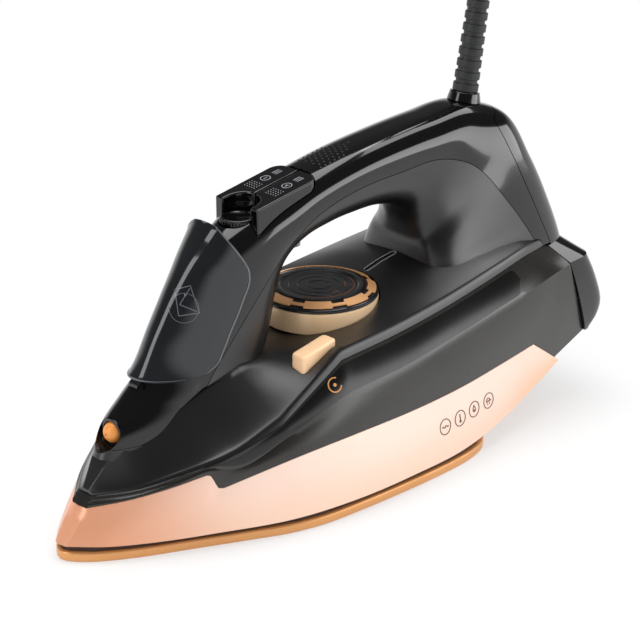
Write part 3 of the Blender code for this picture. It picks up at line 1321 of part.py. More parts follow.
def clean_button_outline(growth=0.0):
    """Outline in plan of the button on the deck, a rectangle with rounded corners."""
    radius = CLEAN_BUTTON_CORNER + growth
    reach = CLEAN_BUTTON_LENGTH / 2 - CLEAN_BUTTON_CORNER
    half = CLEAN_BUTTON_WIDTH / 2 - CLEAN_BUTTON_CORNER
    outline = []
    for turn, side, end in ((0.0, 1.0, 1.0), (90.0, 1.0, -1.0), (180.0, -1.0, -1.0), (270.0, -1.0, 1.0)):
        centre = (CLEAN_BUTTON_X + end * reach, CLEAN_BUTTON_Y + side * half)
        outline += arc(centre, radius, turn, turn + 90.0, CLEAN_CORNER_STEPS)
    return outline


def build_deck_button(looks):
    """Long button beside the dial, its top sloped like the deck."""
    middle = deck_z(CLEAN_BUTTON_X, CLEAN_BUTTON_Y)
    outline = clean_button_outline()
    top = [(x, y, middle + CLEAN_BUTTON_RISE + CLEAN_BUTTON_SLOPE_SHARE * (x - CLEAN_BUTTON_X))
           for x, y in outline]
    bottom = [(x, y, middle - CLEAN_BUTTON_DEPTH) for x, y in outline]
    button = add_object("self_clean_button", loft("self_clean_button", [bottom, top]),
                        looks["rose_gold"])
    bevel(button, CLEAN_BUTTON_EDGE, 2)


def build_lens(looks):
    """Lens of the pilot lamp under the handle, at the front of its opening."""
    lens = box("pilot_lens", LENS_SIZE, (LENS_X, 0.0, LENS_Z), looks["lens"])
    bevel(lens, LENS_EDGE, 2)


def shoulder_z(radius):
    """Height of the dial's sloped shoulder at a radius."""
    low = DIAL_BASE_Z + DIAL_RING_HEIGHT + GAP + DIAL_RIM_HEIGHT
    share = (DIAL_RADIUS - DIAL_EDGE - radius) / (DIAL_RADIUS - DIAL_EDGE - DIAL_DISC_RADIUS)
    return low + DIAL_SHOULDER_HEIGHT * share


def build_dial(looks):
    """Temperature dial: copper ring, dark rim with copper pads, disc and shaft."""
    edge = DIAL_EDGE
    height = DIAL_RING_HEIGHT
    ring = [(0.0, height), (DIAL_RADIUS, height), (DIAL_RADIUS, edge),
            (DIAL_RADIUS - edge, 0.0), (0.0, 0.0)]
    turned("dial_ring", ring, (0.0, 0.0, DIAL_BASE_Z), looks["rose_gold"], steps=DIAL_STEPS)
    low = DIAL_BASE_Z + height + GAP
    inner = DIAL_DISC_RADIUS + GAP
    top = shoulder_z(inner)
    rim = [(0.0, top - DIAL_DISC_HEIGHT), (inner, top - DIAL_DISC_HEIGHT), (inner, top),
           (DIAL_RADIUS - edge, low + DIAL_RIM_HEIGHT), (DIAL_RADIUS, low + DIAL_RIM_HEIGHT - edge),
           (DIAL_RADIUS, low), (0.0, low)]
    turned("dial_rim", rim, (0.0, 0.0, 0.0), looks["matte_black"], steps=DIAL_STEPS)
    disc_low = top - DIAL_DISC_HEIGHT + GAP
    disc_high = top + DIAL_EDGE
    disc = [(0.0, disc_high - DIAL_RECESS_DEPTH),
            (DIAL_RECESS_RADIUS, disc_high - DIAL_RECESS_DEPTH),
            (DIAL_RECESS_RADIUS + edge, disc_high), (DIAL_DISC_RADIUS - edge, disc_high),
            (DIAL_DISC_RADIUS, disc_high - edge), (DIAL_DISC_RADIUS, disc_low), (0.0, disc_low)]
    turned("dial_disc", disc, (0.0, 0.0, 0.0), looks["gloss_black"], steps=DIAL_STEPS)
    a, b = DIAL_PAD_INNER_RADIUS, DIAL_PAD_OUTER_RADIUS
    pads = [(a, shoulder_z(a) + SEAT_GAP + DIAL_PAD_THICKNESS),
            (b, shoulder_z(b) + SEAT_GAP + DIAL_PAD_THICKNESS), (b, shoulder_z(b) + SEAT_GAP),
            (a, shoulder_z(a) + SEAT_GAP), (a, shoulder_z(a) + SEAT_GAP + DIAL_PAD_THICKNESS)]
    grip = turned("dial_pads", pads, (0.0, 0.0, 0.0), looks["rose_gold"], steps=DIAL_STEPS)
    boolean(grip, notch_tool("inner_notch_tool", DIAL_PAD_INNER_RADIUS - OVERRUN,
                             DIAL_STRIP_INNER_RADIUS))
    boolean(grip, notch_tool("outer_notch_tool", DIAL_STRIP_OUTER_RADIUS, DIAL_RADIUS + OVERRUN))
    sensor_top = HEATER_BOTTOM_Z + HEATER_HEIGHT + 2 * GAP + THERMOSTAT_SIZE[2]
    length = DIAL_BASE_Z - GAP - sensor_top
    cylinder("dial_shaft", SHAFT_RADIUS, length, (0.0, 0.0, sensor_top + length / 2),
             looks["steel"], sides=16)


def notch_tool(name, start, end):
    """Cutter of the notches between the dial's pads, from one radius to another."""
    mesh = bpy.data.meshes.new(name)
    work = bmesh.new()
    middle = shoulder_z((DIAL_PAD_INNER_RADIUS + DIAL_PAD_OUTER_RADIUS) / 2)
    for i in range(DIAL_PADS):
        turn = Matrix.Rotation(2 * math.pi * (i + 0.5) / DIAL_PADS, 4, "Z")
        place = turn @ Matrix.Translation(((start + end) / 2, 0.0, middle))
        size = Matrix.Diagonal((end - start, DIAL_NOTCH_WIDTH, 2 * OVERRUN, 1.0))
        bmesh.ops.create_cube(work, size=1.0, matrix=place @ size)
    work.to_mesh(mesh)
    work.free()
    return add_object(name, mesh)


def button_opening(clearance):
    """Outline in plan of the opening that both buttons share."""
    front = BUTTON_FRONT_X - clearance
    rear = BUTTON_REAR_X + clearance
    half = BUTTON_HALF_WIDTH + clearance
    radius = BUTTON_REAR_ROUND + clearance
    right = arc((rear - radius, half - radius), radius, 0.0, 90.0, 5)
    left = arc((rear - radius, radius - half), radius, -90.0, 0.0, 5)
    return right + [(front, half), (front, -half)] + left


def button_top(x):
    """Height of the buttons' sloped top."""
    return BUTTON_FRONT_TOP_Z + BUTTON_SLOPE_SHARE * (x - BUTTON_FRONT_X)


def build_button(looks, name, side):
    """One of the two buttons, with its share of the round notch at the front."""
    split = BUTTON_SPLIT / 2
    half = BUTTON_HALF_WIDTH
    radius = BUTTON_REAR_ROUND
    start = math.degrees(math.asin(split / NOTCH_RADIUS))
    outline = arc((NOTCH_X, 0.0), NOTCH_RADIUS, start, 90.0, 8)
    outline += [(BUTTON_FRONT_X, NOTCH_RADIUS), (BUTTON_FRONT_X, half)]
    outline += arc((BUTTON_REAR_X - radius, half - radius), radius, 90.0, 0.0, 5)
    outline += [(BUTTON_REAR_X, split)]
    bottom = [(x, side * y, BUTTON_BOTTOM_Z) for x, y in outline]
    top = [(x, side * y, button_top(x)) for x, y in outline]
    button = add_object(name, loft(name, [bottom, top]), looks["gloss_black"])
    bevel(button, BUTTON_EDGE, 1)


def build_pump(looks, name, side):
    """Pump under a button: its body, its spring and the piston that the button pushes."""
    centre = (PUMP_X, side * PUMP_Y)
    height = PUMP_TOP_Z - PUMP_BOTTOM_Z
    outer = [(0.0, height), (PUMP_RADIUS, height), (PUMP_RADIUS, 0.0), (0.0, 0.0)]
    body = turned(name + "_pump", outer, (*centre, PUMP_BOTTOM_Z), looks["white"], steps=16)
    bore = cylinder(name + "_bore_tool", PUMP_BORE_RADIUS, height,
                    (*centre, PUMP_BOTTOM_Z + PUMP_FLOOR + height / 2), sides=16)
    boolean(body, bore)
    length = BUTTON_BOTTOM_Z - GAP - PISTON_BOTTOM_Z
    cylinder(name + "_piston", PISTON_RADIUS, length, (*centre, PISTON_BOTTOM_Z + length / 2),
             looks["white"], sides=16)
    low = PUMP_BOTTOM_Z + PUMP_FLOOR + GAP + SPRING_WIRE / 2
    high = PISTON_BOTTOM_Z - GAP - SPRING_WIRE / 2
    count = SPRING_TURNS * SPRING_POINTS_A_TURN
    points = []
    for i in range(count + 1):
        turn = 2 * math.pi * i / SPRING_POINTS_A_TURN
        points.append((centre[0] + SPRING_RADIUS * math.cos(turn),
                       centre[1] + SPRING_RADIUS * math.sin(turn), low + (high - low) * i / count))
    spring = tube(name + "_spring", points, SPRING_WIRE, looks["steel"], 1)
    bpy.context.view_layer.update()
    as_mesh_object(spring, looks["steel"])


def build_buttons(looks):
    """Both buttons with their pumps, and the bracket that holds the pumps in the handle."""
    for name, side in (("spray", -1.0), ("steam", 1.0)):
        build_button(looks, name + "_button", side)
        build_pump(looks, name, side)
    middle = BRACKET_BOTTOM_Z + BRACKET_THICKNESS / 2
    size = (BRACKET_REAR - BRACKET_FRONT, 2 * BODY_HALF_WIDTH, BRACKET_THICKNESS)
    bracket = box("pump_bracket", size, ((BRACKET_FRONT + BRACKET_REAR) / 2, 0.0, middle),
                  looks["white"])
    boolean(bracket, arch_solid("bracket_fit_tool", FRAME_WALL + SEAT_GAP), "INTERSECT")
    for side in (-1.0, 1.0):
        boolean(bracket, cylinder("pump_hole_tool", PUMP_RADIUS + SEAT_GAP, 2 * OVERRUN,
                                  (PUMP_X, side * PUMP_Y, middle), sides=16))
    boolean(bracket, rod_passage("bracket_rod_tool"))


def build_knob(looks):
    """Steam knob in the buttons' notch, the valve rod that it turns and the drip valve."""
    middle = KNOB_BOTTOM_Z + KNOB_HEIGHT / 2
    knob = cylinder("steam_knob", KNOB_RADIUS, KNOB_HEIGHT, (KNOB_X, 0.0, middle),
                    looks["gloss_black"])
    bevel(knob, KNOB_EDGE)
    upright_rod("valve_rod", ROD_RADIUS, ROD_FOOT_Z, KNOB_BOTTOM_Z - GAP, looks["steel"])
    valve = cylinder("drip_valve", VALVE_RADIUS, VALVE_TOP_Z - VALVE_BOTTOM_Z,
                     (KNOB_X, 0.0, (VALVE_TOP_Z + VALVE_BOTTOM_Z) / 2), looks["white"], sides=16)
    boolean(valve, rod_passage("valve_bore_tool"))


# Fill door

def door_axis():
    """Place x, z of the fill door's hinge pin, just under the arch's outer line."""
    outer, _, _, _, _, normal = arch_at(DOOR_HINGE_STATION_SHARE)
    return tuple(outer + normal * DOOR_HINGE_OFFSET)


def port_axis():
    """Centre and direction of the fill port, square to the arch's outer line."""
    outer, _, _, _, _, normal = arch_at(PORT_STATION_SHARE)
    direction = np.array([normal[0], 0.0, normal[1]])
    return np.array([outer[0], 0.0, outer[1]]), direction / np.linalg.norm(direction)


def door_grid(offset):
    """Grid of the fill door at an offset from the arch, from its foot to its lifted lip."""
    table = np.asarray(DOOR_SHARES, dtype=float)
    rows = span_curve(table, SPAN_SAMPLES, knots=table[:, 0])
    grid = []
    for share, wrap, lift in rows:
        outer, inner, half, widest, power, normal = arch_at(share)
        angle = np.linspace(-1.0, 1.0, DOOR_COLUMNS) * wrap * math.pi / 2
        along = (1.0 - np.abs(np.cos(angle)) ** power) * widest
        base = outer + normal * (offset + lift * DOOR_LIFT)
        place = base[None] + (inner - outer)[None] * along[:, None]
        side = np.sign(np.sin(angle)) * np.abs(np.sin(angle)) ** power
        width = half + offset + lift * DOOR_FLARE
        grid.append(np.stack([place[:, 0], side * width, place[:, 1]], axis=1))
    return np.array(grid)


def build_door(looks):
    """Fill door with the bead that turns on its pin, the pin, and the funnel under it."""
    outer = door_grid(DOOR_OFFSET + DOOR_WALL)
    door = add_object("fill_door", solid_between("fill_door", outer, door_grid(DOOR_OFFSET)),
                      looks["smoke"])
    x, z = door_axis()
    across = (0.0, 1.0, 0.0)
    boolean(door, cylinder("bead_tool", DOOR_BEAD_RADIUS, DOOR_BEAD_LENGTH, (x, 0.0, z), None,
                           across, 16), "UNION")
    boolean(door, cylinder("bead_bore_tool", PIN_RADIUS + PIN_CLEARANCE,
                           2 * DOOR_BEAD_LENGTH, (x, 0.0, z), None, across, 12))
    length = DOOR_BEAD_LENGTH + 2 * LUG_WIDTH
    cylinder("door_hinge_pin", PIN_RADIUS, length, (x, 0.0, z), looks["steel"], across, 12)
    place, direction = port_axis()
    top = place + direction * FUNNEL_RISE
    bend = place - direction * 2 * FUNNEL_RADIUS
    foot = np.array([bend[0], 0.0, FUNNEL_BOTTOM_Z])
    middle = np.array([bend[0], 0.0, (bend[2] + foot[2]) / 2])
    route = smooth_route([top, (top + bend) / 2, bend, middle, foot], FUNNEL_RADIUS)
    funnel = tube("funnel_curve", route, 2 * FUNNEL_RADIUS, None, 3)
    longer = [2 * route[0] - route[1], *route, 2 * route[-1] - route[-2]]
    bore = tube("funnel_bore_curve", longer, 2 * FUNNEL_BORE_RADIUS, None, 3)
    bpy.context.view_layer.update()
    funnel = as_mesh_object(funnel, looks["white"], "fill_funnel")
    boolean(funnel, as_mesh_object(bore, None))


def smooth_route(points, step):
    """Smooth curve through points of a route, read off at even steps."""
    rows = np.asarray(points, dtype=float)
    knots = np.concatenate([[0.0], np.cumsum(np.linalg.norm(np.diff(rows, axis=0), axis=1))])
    fine = span_curve(rows, ROUTE_SAMPLES, knots=knots)
    run = np.concatenate([[0.0], np.cumsum(np.linalg.norm(np.diff(fine, axis=0), axis=1))])
    count = max(int(round(run[-1] / step)), 1)
    places = np.linspace(0.0, run[-1], count + 1)
    return [np.array([np.interp(place, run, fine[:, i]) for i in range(3)]) for place in places]


def build_spray(looks):
    """Spray nozzle with its bezel at the nose, and the hose to its pump."""
    forward = (-1.0, 0.0, 0.0)
    length = NOZZLE_BACK_X - NOZZLE_TIP_X
    centre = (0.0, length - NOZZLE_RADIUS)
    dome = arc(centre, NOZZLE_RADIUS, 90.0, 0.0, NOZZLE_DOME_STEPS)
    profile = [(0.0, length), *dome[1:], (NOZZLE_RADIUS, 0.0), (0.0, 0.0)]
    turned("spray_nozzle", profile, (NOZZLE_BACK_X, 0.0, NOZZLE_Z), looks["rose_gold"], forward, 20)
    depth = BEZEL_BACK_X - BEZEL_FRONT_X
    bore = NOZZLE_RADIUS + GAP
    ring = [(bore, depth), (BEZEL_RADIUS, depth), (BEZEL_RADIUS, 0.0), (bore, 0.0), (bore, depth)]
    turned("nozzle_bezel", ring, (BEZEL_BACK_X, 0.0, NOZZLE_Z), looks["gloss_black"], forward, 20)
    route = np.asarray(HOSE_SHARES) * (BODY_LENGTH, BODY_HALF_WIDTH, BODY_HEIGHT)
    hose = tube("spray_hose", smooth_route(route, 2 * HOSE_DIAMETER), HOSE_DIAMETER,
                looks["white"])
    bpy.context.view_layer.update()
    as_mesh_object(hose, looks["white"])


# Cord guard, mains lead and plug

def build_guard(looks):
    """Ribbed cord guard in its collar, and the clamp and terminal block in the post."""
    direction, length = guard_axis()
    rib = length / GUARD_RIBS
    profile = [(0.0, length)]
    for i in range(GUARD_RIBS):
        high = length - i * rib
        share = i / (GUARD_RIBS - 1)
        radius = GUARD_END_RADIUS + (GUARD_BASE_RADIUS - GUARD_END_RADIUS) * share
        profile += [(radius, high), (radius, high - rib * RIB_WIDTH_SHARE)]
        if i < GUARD_RIBS - 1:
            neck = radius - GUARD_RIB_DEPTH
            profile += [(neck, high - rib * RIB_WIDTH_SHARE), (neck, high - rib)]
    stem = -GUARD_STEM_LENGTH
    last = length - (GUARD_RIBS - 1) * rib - rib * RIB_WIDTH_SHARE
    profile += [(GUARD_STEM_RADIUS, last), (GUARD_STEM_RADIUS, stem),
                (GUARD_FLANGE_RADIUS, stem), (GUARD_FLANGE_RADIUS, stem - GUARD_FLANGE_HEIGHT),
                (0.0, stem - GUARD_FLANGE_HEIGHT)]
    turned("cord_guard", profile, GUARD_BASE, looks["soft_black"], direction, 12)
    collar_low = GUARD_CLEARANCE - COLLAR_HEIGHT
    bore = GUARD_STEM_RADIUS + GUARD_CLEARANCE
    top = last - GAP
    ring = [(bore, top), (COLLAR_TOP_RADIUS, top), (COLLAR_RADIUS, top - COLLAR_HEIGHT),
            (COLLAR_RADIUS, collar_low - COLLAR_HEIGHT), (bore, collar_low - COLLAR_HEIGHT),
            (bore, top)]
    collar = turned("cord_collar", ring, GUARD_BASE, looks["gloss_black"], direction, 24)
    boolean(collar, arch_solid("collar_seat_tool", -SEAT_GAP))
    under = np.array(GUARD_BASE) + direction * (stem - GUARD_FLANGE_HEIGHT)
    size = CLAMP_SIZE
    clamp = box("cord_clamp", size, (under[0], 0.0, under[2] - CLAMP_DROP - size[2] / 2),
                looks["white"])
    bevel(clamp, CLEAN_BUTTON_EDGE)
    size = TERMINAL_SIZE
    low = max(deck_z(TERMINAL_X + side * size[0] / 2, 0.0) for side in (-1.0, 0.0, 1.0))
    block = box("terminal_block", size, (TERMINAL_X, 0.0, low + SEAT_GAP + size[2] / 2),
                looks["ceramic"])
    bevel(block, CLEAN_BUTTON_EDGE)


def coil_route():
    """Centre line of the coil: its layers lie on each other and wind in and out by turns."""
    last = int(round(COIL_TURNS * COIL_POINTS_A_TURN))
    deep = COIL_TURNS / COIL_LAYERS
    points = [(COIL_CENTRE[0] - LEAD_DIAMETER, COIL_CENTRE[1] - COIL_RADIUS, LEAD_HEIGHT)]
    for i in range(last + 1):
        wound = i / COIL_POINTS_A_TURN
        layer = min(int(wound / deep), COIL_LAYERS - 1)
        done = wound - layer * deep
        inward = deep - done if layer % 2 else done
        radius = COIL_RADIUS - COIL_PITCH * inward
        rise = 0.0
        for step in range(1, COIL_LAYERS):
            share = min(max(2 * (wound - step * deep) + 0.5, 0.0), 1.0)
            rise += LAYER_HEIGHT * share * share * (3.0 - 2.0 * share)
        turn = 2 * math.pi * wound - math.pi / 2
        points.append((COIL_CENTRE[0] + radius * math.cos(turn),
                       COIL_CENTRE[1] + radius * math.sin(turn), LEAD_HEIGHT + rise))
    end = points[-1]
    points.append((end[0] - LEAD_DIAMETER * math.sin(turn),
                   end[1] + LEAD_DIAMETER * math.cos(turn), end[2]))
    return points


def least_gap(points, diameter, apart):
    """Least gap between stretches of a tube that are some points apart along it."""
    rows = np.asarray(points)
    reach = np.linalg.norm(rows[:, None] - rows[None], axis=2)
    index = np.arange(len(rows))
    near = np.abs(index[:, None] - index[None]) < apart
    return float(np.min(np.where(near, np.inf, reach))) - diameter


def build_lead(looks):
    """Mains lead from the guard to its coil, the coil, the tail and the plug."""
    tube("power_lead", smooth_route(LEAD_ROUTE, LEAD_STEP), LEAD_DIAMETER, looks["soft_black"])
    route = coil_route()
    print("least gap of the coil to itself, mm:",
          round(least_gap(route, LEAD_DIAMETER, COIL_POINTS_A_TURN // 2) * 1000, 2))
    tube("lead_coil", route, LEAD_DIAMETER, looks["soft_black"], 1)
    tube("lead_tail", smooth_route(TAIL_ROUTE, LEAD_STEP / 2), LEAD_DIAMETER,
         looks["soft_black"])
    length = PLUG_NECK_X - PLUG_FACE_X
    edge = PLUG_RADIUS / 9
    face = length - PLUG_FACE_DEPTH
    profile = [(0.0, length), (PLUG_RADIUS - edge, length), (PLUG_RADIUS, length - edge),
               (PLUG_RADIUS, face + edge), (PLUG_RADIUS - edge, face),
               (PLUG_RADIUS - 3 * edge, face - 2 * edge), (PLUG_NECK_RADIUS + edge, edge),
               (PLUG_NECK_RADIUS, 0.0), (0.0, 0.0)]
    forward = (-1.0, 0.0, 0.0)
    turned("plug_body", profile, (PLUG_NECK_X, PLUG_Y, PLUG_Z), looks["soft_black"], forward, 24)
    reach = PIN_OF_PLUG_LENGTH
    for number, side in ((1, -1.0), (2, 1.0)):
        place = (PLUG_FACE_X - GAP - reach / 2, PLUG_Y + side * PIN_OF_PLUG_SPACING / 2, PLUG_Z)
        pin = cylinder("plug_pin_" + str(number), PIN_OF_PLUG_RADIUS, reach, place,
                       looks["steel"], forward, 16)
        bevel(pin, PIN_OF_PLUG_RADIUS / 3)


def main():
    """Build the steam iron."""
    clear_scene()
    looks = {
        "rose_gold": material("rose_gold_coating", (0.80, 0.47, 0.30), 0.3, 0.7),
        "sole": material("coated_aluminium", (0.75, 0.42, 0.2), 0.3, 0.9),
        "smoke": material("smoky_tank_plastic", (0.03, 0.028, 0.026), 0.08),
        "matte_black": material("satin_black_plastic", (0.03, 0.03, 0.032), 0.4),
        "gloss_black": material("gloss_black_plastic", (0.012, 0.012, 0.014), 0.08),
        "soft_black": material("soft_black_rubber", (0.03, 0.03, 0.03), 0.6),
        "shield": material("heat_shield_plastic", (0.05, 0.02, 0.01), 0.6),
        "cast": material("cast_aluminium", (0.6, 0.6, 0.6), 0.5, 1.0),
        "steel": material("steel", (0.65, 0.65, 0.65), 0.3, 1.0),
        "ceramic": material("ceramic", (0.8, 0.78, 0.72), 0.5),
        "white": material("natural_plastic", (0.75, 0.75, 0.73), 0.45),
        "lens": material("lens_plastic", (0.5, 0.5, 0.5), 0.1),
    }
    build_heater(looks)
    build_base(looks)
    build_housing(looks)
    build_deck_button(looks)
    build_lens(looks)
    build_dial(looks)
    build_buttons(looks)
    build_knob(looks)
    build_door(looks)
    build_spray(looks)
    build_guard(looks)
    build_lead(looks)
    for item in bpy.data.collections[PART_COLLECTION].objects:
        if item.type == "MESH":
            smooth(item)


if __name__ == "__main__":
    main()
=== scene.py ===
"""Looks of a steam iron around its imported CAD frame.

Lengths are metres and +Z is up. The nose points to -X, the heel to +X, and the iron is mirrored
about y = 0. Each sub-assembly is a class that makes its surfaces with numpy and dresses them, and
each finish is a small frozen class that makes one node-based material.
"""

import json
import logging
import math
from dataclasses import dataclass
from enum import Enum
from typing import Any, Optional, Sequence

import bmesh
import bpy
import numpy as np
from mathutils import Matrix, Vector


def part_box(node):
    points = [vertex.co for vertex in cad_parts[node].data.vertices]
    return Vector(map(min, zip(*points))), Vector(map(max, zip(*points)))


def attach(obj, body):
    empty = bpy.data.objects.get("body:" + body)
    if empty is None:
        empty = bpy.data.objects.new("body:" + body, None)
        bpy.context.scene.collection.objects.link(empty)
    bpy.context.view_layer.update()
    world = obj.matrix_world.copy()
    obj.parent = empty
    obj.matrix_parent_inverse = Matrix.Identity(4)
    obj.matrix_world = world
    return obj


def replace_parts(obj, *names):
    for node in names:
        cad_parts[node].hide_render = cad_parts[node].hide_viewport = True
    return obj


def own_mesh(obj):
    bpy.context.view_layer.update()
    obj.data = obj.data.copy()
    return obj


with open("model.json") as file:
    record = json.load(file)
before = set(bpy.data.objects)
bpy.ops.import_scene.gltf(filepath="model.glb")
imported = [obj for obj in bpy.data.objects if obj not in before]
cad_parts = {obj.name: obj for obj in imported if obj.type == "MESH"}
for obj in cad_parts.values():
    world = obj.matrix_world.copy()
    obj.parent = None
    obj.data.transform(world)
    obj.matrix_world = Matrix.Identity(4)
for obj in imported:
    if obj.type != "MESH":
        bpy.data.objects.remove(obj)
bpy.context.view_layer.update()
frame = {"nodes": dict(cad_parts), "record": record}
LOG = logging.getLogger("steam_iron")
Piece, Tree, Socket = bpy.types.Object, bpy.types.NodeTree, bpy.types.NodeSocket
Array, Row, Point = np.ndarray, Sequence[float], tuple[float, float, float]

MM = 0.001
BODY_LENGTH = 0.300
BODY_HALF_WIDTH = 0.0565
BODY_HEIGHT = 0.150
HANDLE_HALF_WIDTH = 0.016
HULL_BULGE = 0.0006
KNOB_X = -0.048
# Free space round a moving piece in its opening, and a height above the whole handle
CLEARANCE = 0.0004
ABOVE_HANDLE = 0.154
UP, ACROSS = (0.0, 0.0, 1.0), (0.0, 1.0, 0.0)
FORWARD, BACKWARD = (-1.0, 0.0, 0.0), (1.0, 0.0, 0.0)


# Colours and nodes

def colour(code: str) -> tuple[float, float, float, float]:
    """Linear colour of an sRGB hex code.

    Args:
        code: Six hex digits after a hash sign.

    Returns:
        Red, green, blue and an alpha of one, linear.
    """
    parts = [int(code[i:i + 2], 16) / 255 for i in (1, 3, 5)]
    linear = [p / 12.92 if p <= 0.04045 else ((p + 0.055) / 1.055) ** 2.4 for p in parts]
    return (*linear, 1.0)


def add_node(tree: Tree, kind: str, inputs: Optional[dict] = None, **settings) -> bpy.types.Node:
    """Put one node in a tree, with its settings and its inputs.

    Args:
        tree: Tree that gets the node.
        kind: Type name of the node.
        inputs: Value or output socket for each named or numbered input.
        **settings: Properties of the node itself.

    Returns:
        The new node.
    """
    node = tree.nodes.new(kind)
    for key, value in settings.items():
        setattr(node, key, value)
    for key, value in (inputs or {}).items():
        if isinstance(value, Socket):
            tree.links.new(value, node.inputs[key])
        else:
            node.inputs[key].default_value = value
    return node


def noise(tree: Tree, place: Socket, width: float, detail: float = 2.0) -> Socket:
    """Noise whose grains are a width across."""
    return add_node(tree, "ShaderNodeTexNoise", {
        "Vector": place, "Scale": 1.0 / width, "Detail": detail}).outputs["Fac"]


def bumped(tree: Tree, height: Socket, reach: float) -> Socket:
    """Normal of a surface whose relief is a reach high."""
    return add_node(tree, "ShaderNodeBump", {
        "Height": height, "Distance": reach, "Strength": 1.0}).outputs["Normal"]


def eased(tree: Tree, value: Socket, start: float, end: float, low: float = 0.0,
          high: float = 1.0) -> Socket:
    """Value that goes in an S curve from low at the start to high at the end."""
    return add_node(tree, "ShaderNodeMapRange", {
        "Value": value, "From Min": start, "From Max": end, "To Min": low, "To Max": high},
        interpolation_type="SMOOTHSTEP").outputs["Result"]


def blend(tree: Tree, share: Socket, first: Any, second: Any) -> Socket:
    """Colour that goes from the first to the second with a share."""
    return add_node(tree, "ShaderNodeMix", {0: share, 6: first, 7: second},
                    data_type="RGBA").outputs[2]


def reckon(tree: Tree, operation: str, first: Socket, second: Socket) -> Socket:
    """Product of two values, or the larger of them, as the operation says."""
    return add_node(tree, "ShaderNodeMath", {0: first, 1: second},
                    operation=operation).outputs["Value"]


@dataclass(frozen=True)
class Finish:
    """A moulded, coated or cast surface with fine grain, mottling and uneven gloss.

    Attributes:
        name: Name of the material.
        base: Base colour as an sRGB hex code.
        second: Second tone that the slow changes lead to.
        roughness: Middle roughness.
        metallic: Share of metal.
        grain_mm: Width of one grain of the surface.
        grain: Height of the grain in millimetres.
        mottle_mm: Width of the slow changes in tone.
        spread: How far the roughness strays from its middle.
        coat: Weight of the clear coat.
        coat_roughness: Roughness of the clear coat.
        transmission: Share of light that passes through.
        ior: Refractive index.
    """
    name: str
    base: str
    second: str
    roughness: float
    metallic: float = 0.0
    grain_mm: float = 0.6
    grain: float = 0.002
    mottle_mm: float = 30.0
    spread: float = 0.04
    coat: float = 0.0
    coat_roughness: float = 0.05
    transmission: float = 0.0
    ior: float = 1.5

    def build(self) -> bpy.types.Material:
        """Make the material, or give the one made before.

        Returns:
            The material of this finish.
        """
        made = bpy.data.materials.get(self.name)
        if made is not None:
            return made
        made = bpy.data.materials.new(self.name)
        made.use_nodes = True
        tree = made.node_tree
        shader = tree.nodes["Principled BSDF"]
        shader.inputs["Metallic"].default_value = self.metallic
        shader.inputs["Coat Weight"].default_value = self.coat
        shader.inputs["Coat Roughness"].default_value = self.coat_roughness
        shader.inputs["Transmission Weight"].default_value = self.transmission
        shader.inputs["IOR"].default_value = self.ior
        place = add_node(tree, "ShaderNodeTexCoord").outputs["Object"]
        slow = noise(tree, place, self.mottle_mm * MM, 3.0)
        tone = blend(tree, slow, colour(self.base), colour(self.second))
        tree.links.new(self.tint(tree, place, tone), shader.inputs["Base Color"])
        gloss = add_node(tree, "ShaderNodeMapRange", {
            "Value": slow, "From Min": 0.3, "From Max": 0.7,
            "To Min": max(self.roughness - self.spread, 0.0),
            "To Max": self.roughness + self.spread})
        tree.links.new(gloss.outputs["Result"], shader.inputs["Roughness"])
        tree.links.new(self.relief(tree, place), shader.inputs["Normal"])
        return made

    def tint(self, tree: Tree, place: Socket, tone: Socket) -> Socket:
        """Colour of the surface, here the mottled tone as it is."""
        return tone

    def relief(self, tree: Tree, place: Socket) -> Socket:
        """Bump of the fine grain."""
        return bumped(tree, noise(tree, place, self.grain_mm * MM), self.grain * MM)


@dataclass(frozen=True)
class DrawnMetal(Finish):
    """Turned or drawn metal whose fine lines run round or along the piece.

    Attributes:
        line_mm: Width of a line.
    """
    line_mm: float = 0.15

    def relief(self, tree: Tree, place: Socket) -> Socket:
        """Bump of fine lines, made by stretching the noise along the piece."""
        thin = add_node(tree, "ShaderNodeMapping", {"Vector": place, "Scale": (1.0, 1.0, 20.0)})
        lines = noise(tree, thin.outputs["Vector"], 10 * self.line_mm * MM)
        return bumped(tree, lines, self.grain * MM)


@dataclass(frozen=True)
class PaintedShadeLacquer(Finish):
    """Metallic lacquer with painted shade and reflection, darker and redder low down
    and towards the nose and the heel.

    Attributes:
        low_tone: Painted shade tone at the lowest edge.
        low_z: Height of the lowest edge.
        high_z: Height from which the tone is the full one.
        nose_tone: Painted shade tone at the nose.
        nose_x: Place where the nose's tone is full, and where it has ended.
        heel_tone: Painted shade tone at the heel's lower edge.
        heel_x: Place where the heel's tone starts, and where it is full.
        low_heel_z: Heights between which the heel's tone fades out upwards.
    """
    # Tones of painted shade and reflection, darker and redder than the lacquer's own
    low_tone: str = "#F8D2BA"
    low_z: float = 0.006
    high_z: float = 0.030
    nose_tone: str = "#E3A07C"
    nose_x: tuple[float, float] = (-0.142, -0.072)
    heel_tone: str = "#F4B27C"
    heel_x: tuple[float, float] = (0.055, 0.118)
    low_heel_z: tuple[float, float] = (0.014, 0.038)

    def tint(self, tree: Tree, place: Socket, tone: Socket) -> Socket:
        """Blend the painted shade: from the low tone up to the full tone by height, then to both
        ends' tones.

        Args:
            tree: Tree of the material.
            place: Coordinates of the surface.
            tone: Full tone.

        Returns:
            The tone with its painted shade.
        """
        parts = add_node(tree, "ShaderNodeSeparateXYZ", {"Vector": place}).outputs
        share = eased(tree, parts["Z"], self.low_z, self.high_z)
        made = blend(tree, share, colour(self.low_tone), tone)
        nose = eased(tree, parts["X"], *self.nose_x, 1.0, 0.0)
        made = blend(tree, nose, made, colour(self.nose_tone))
        heel = reckon(tree, "MULTIPLY", eased(tree, parts["X"], *self.heel_x),
                      eased(tree, parts["Z"], *self.low_heel_z, 0.8, 0.15))
        return blend(tree, heel, made, colour(self.heel_tone))


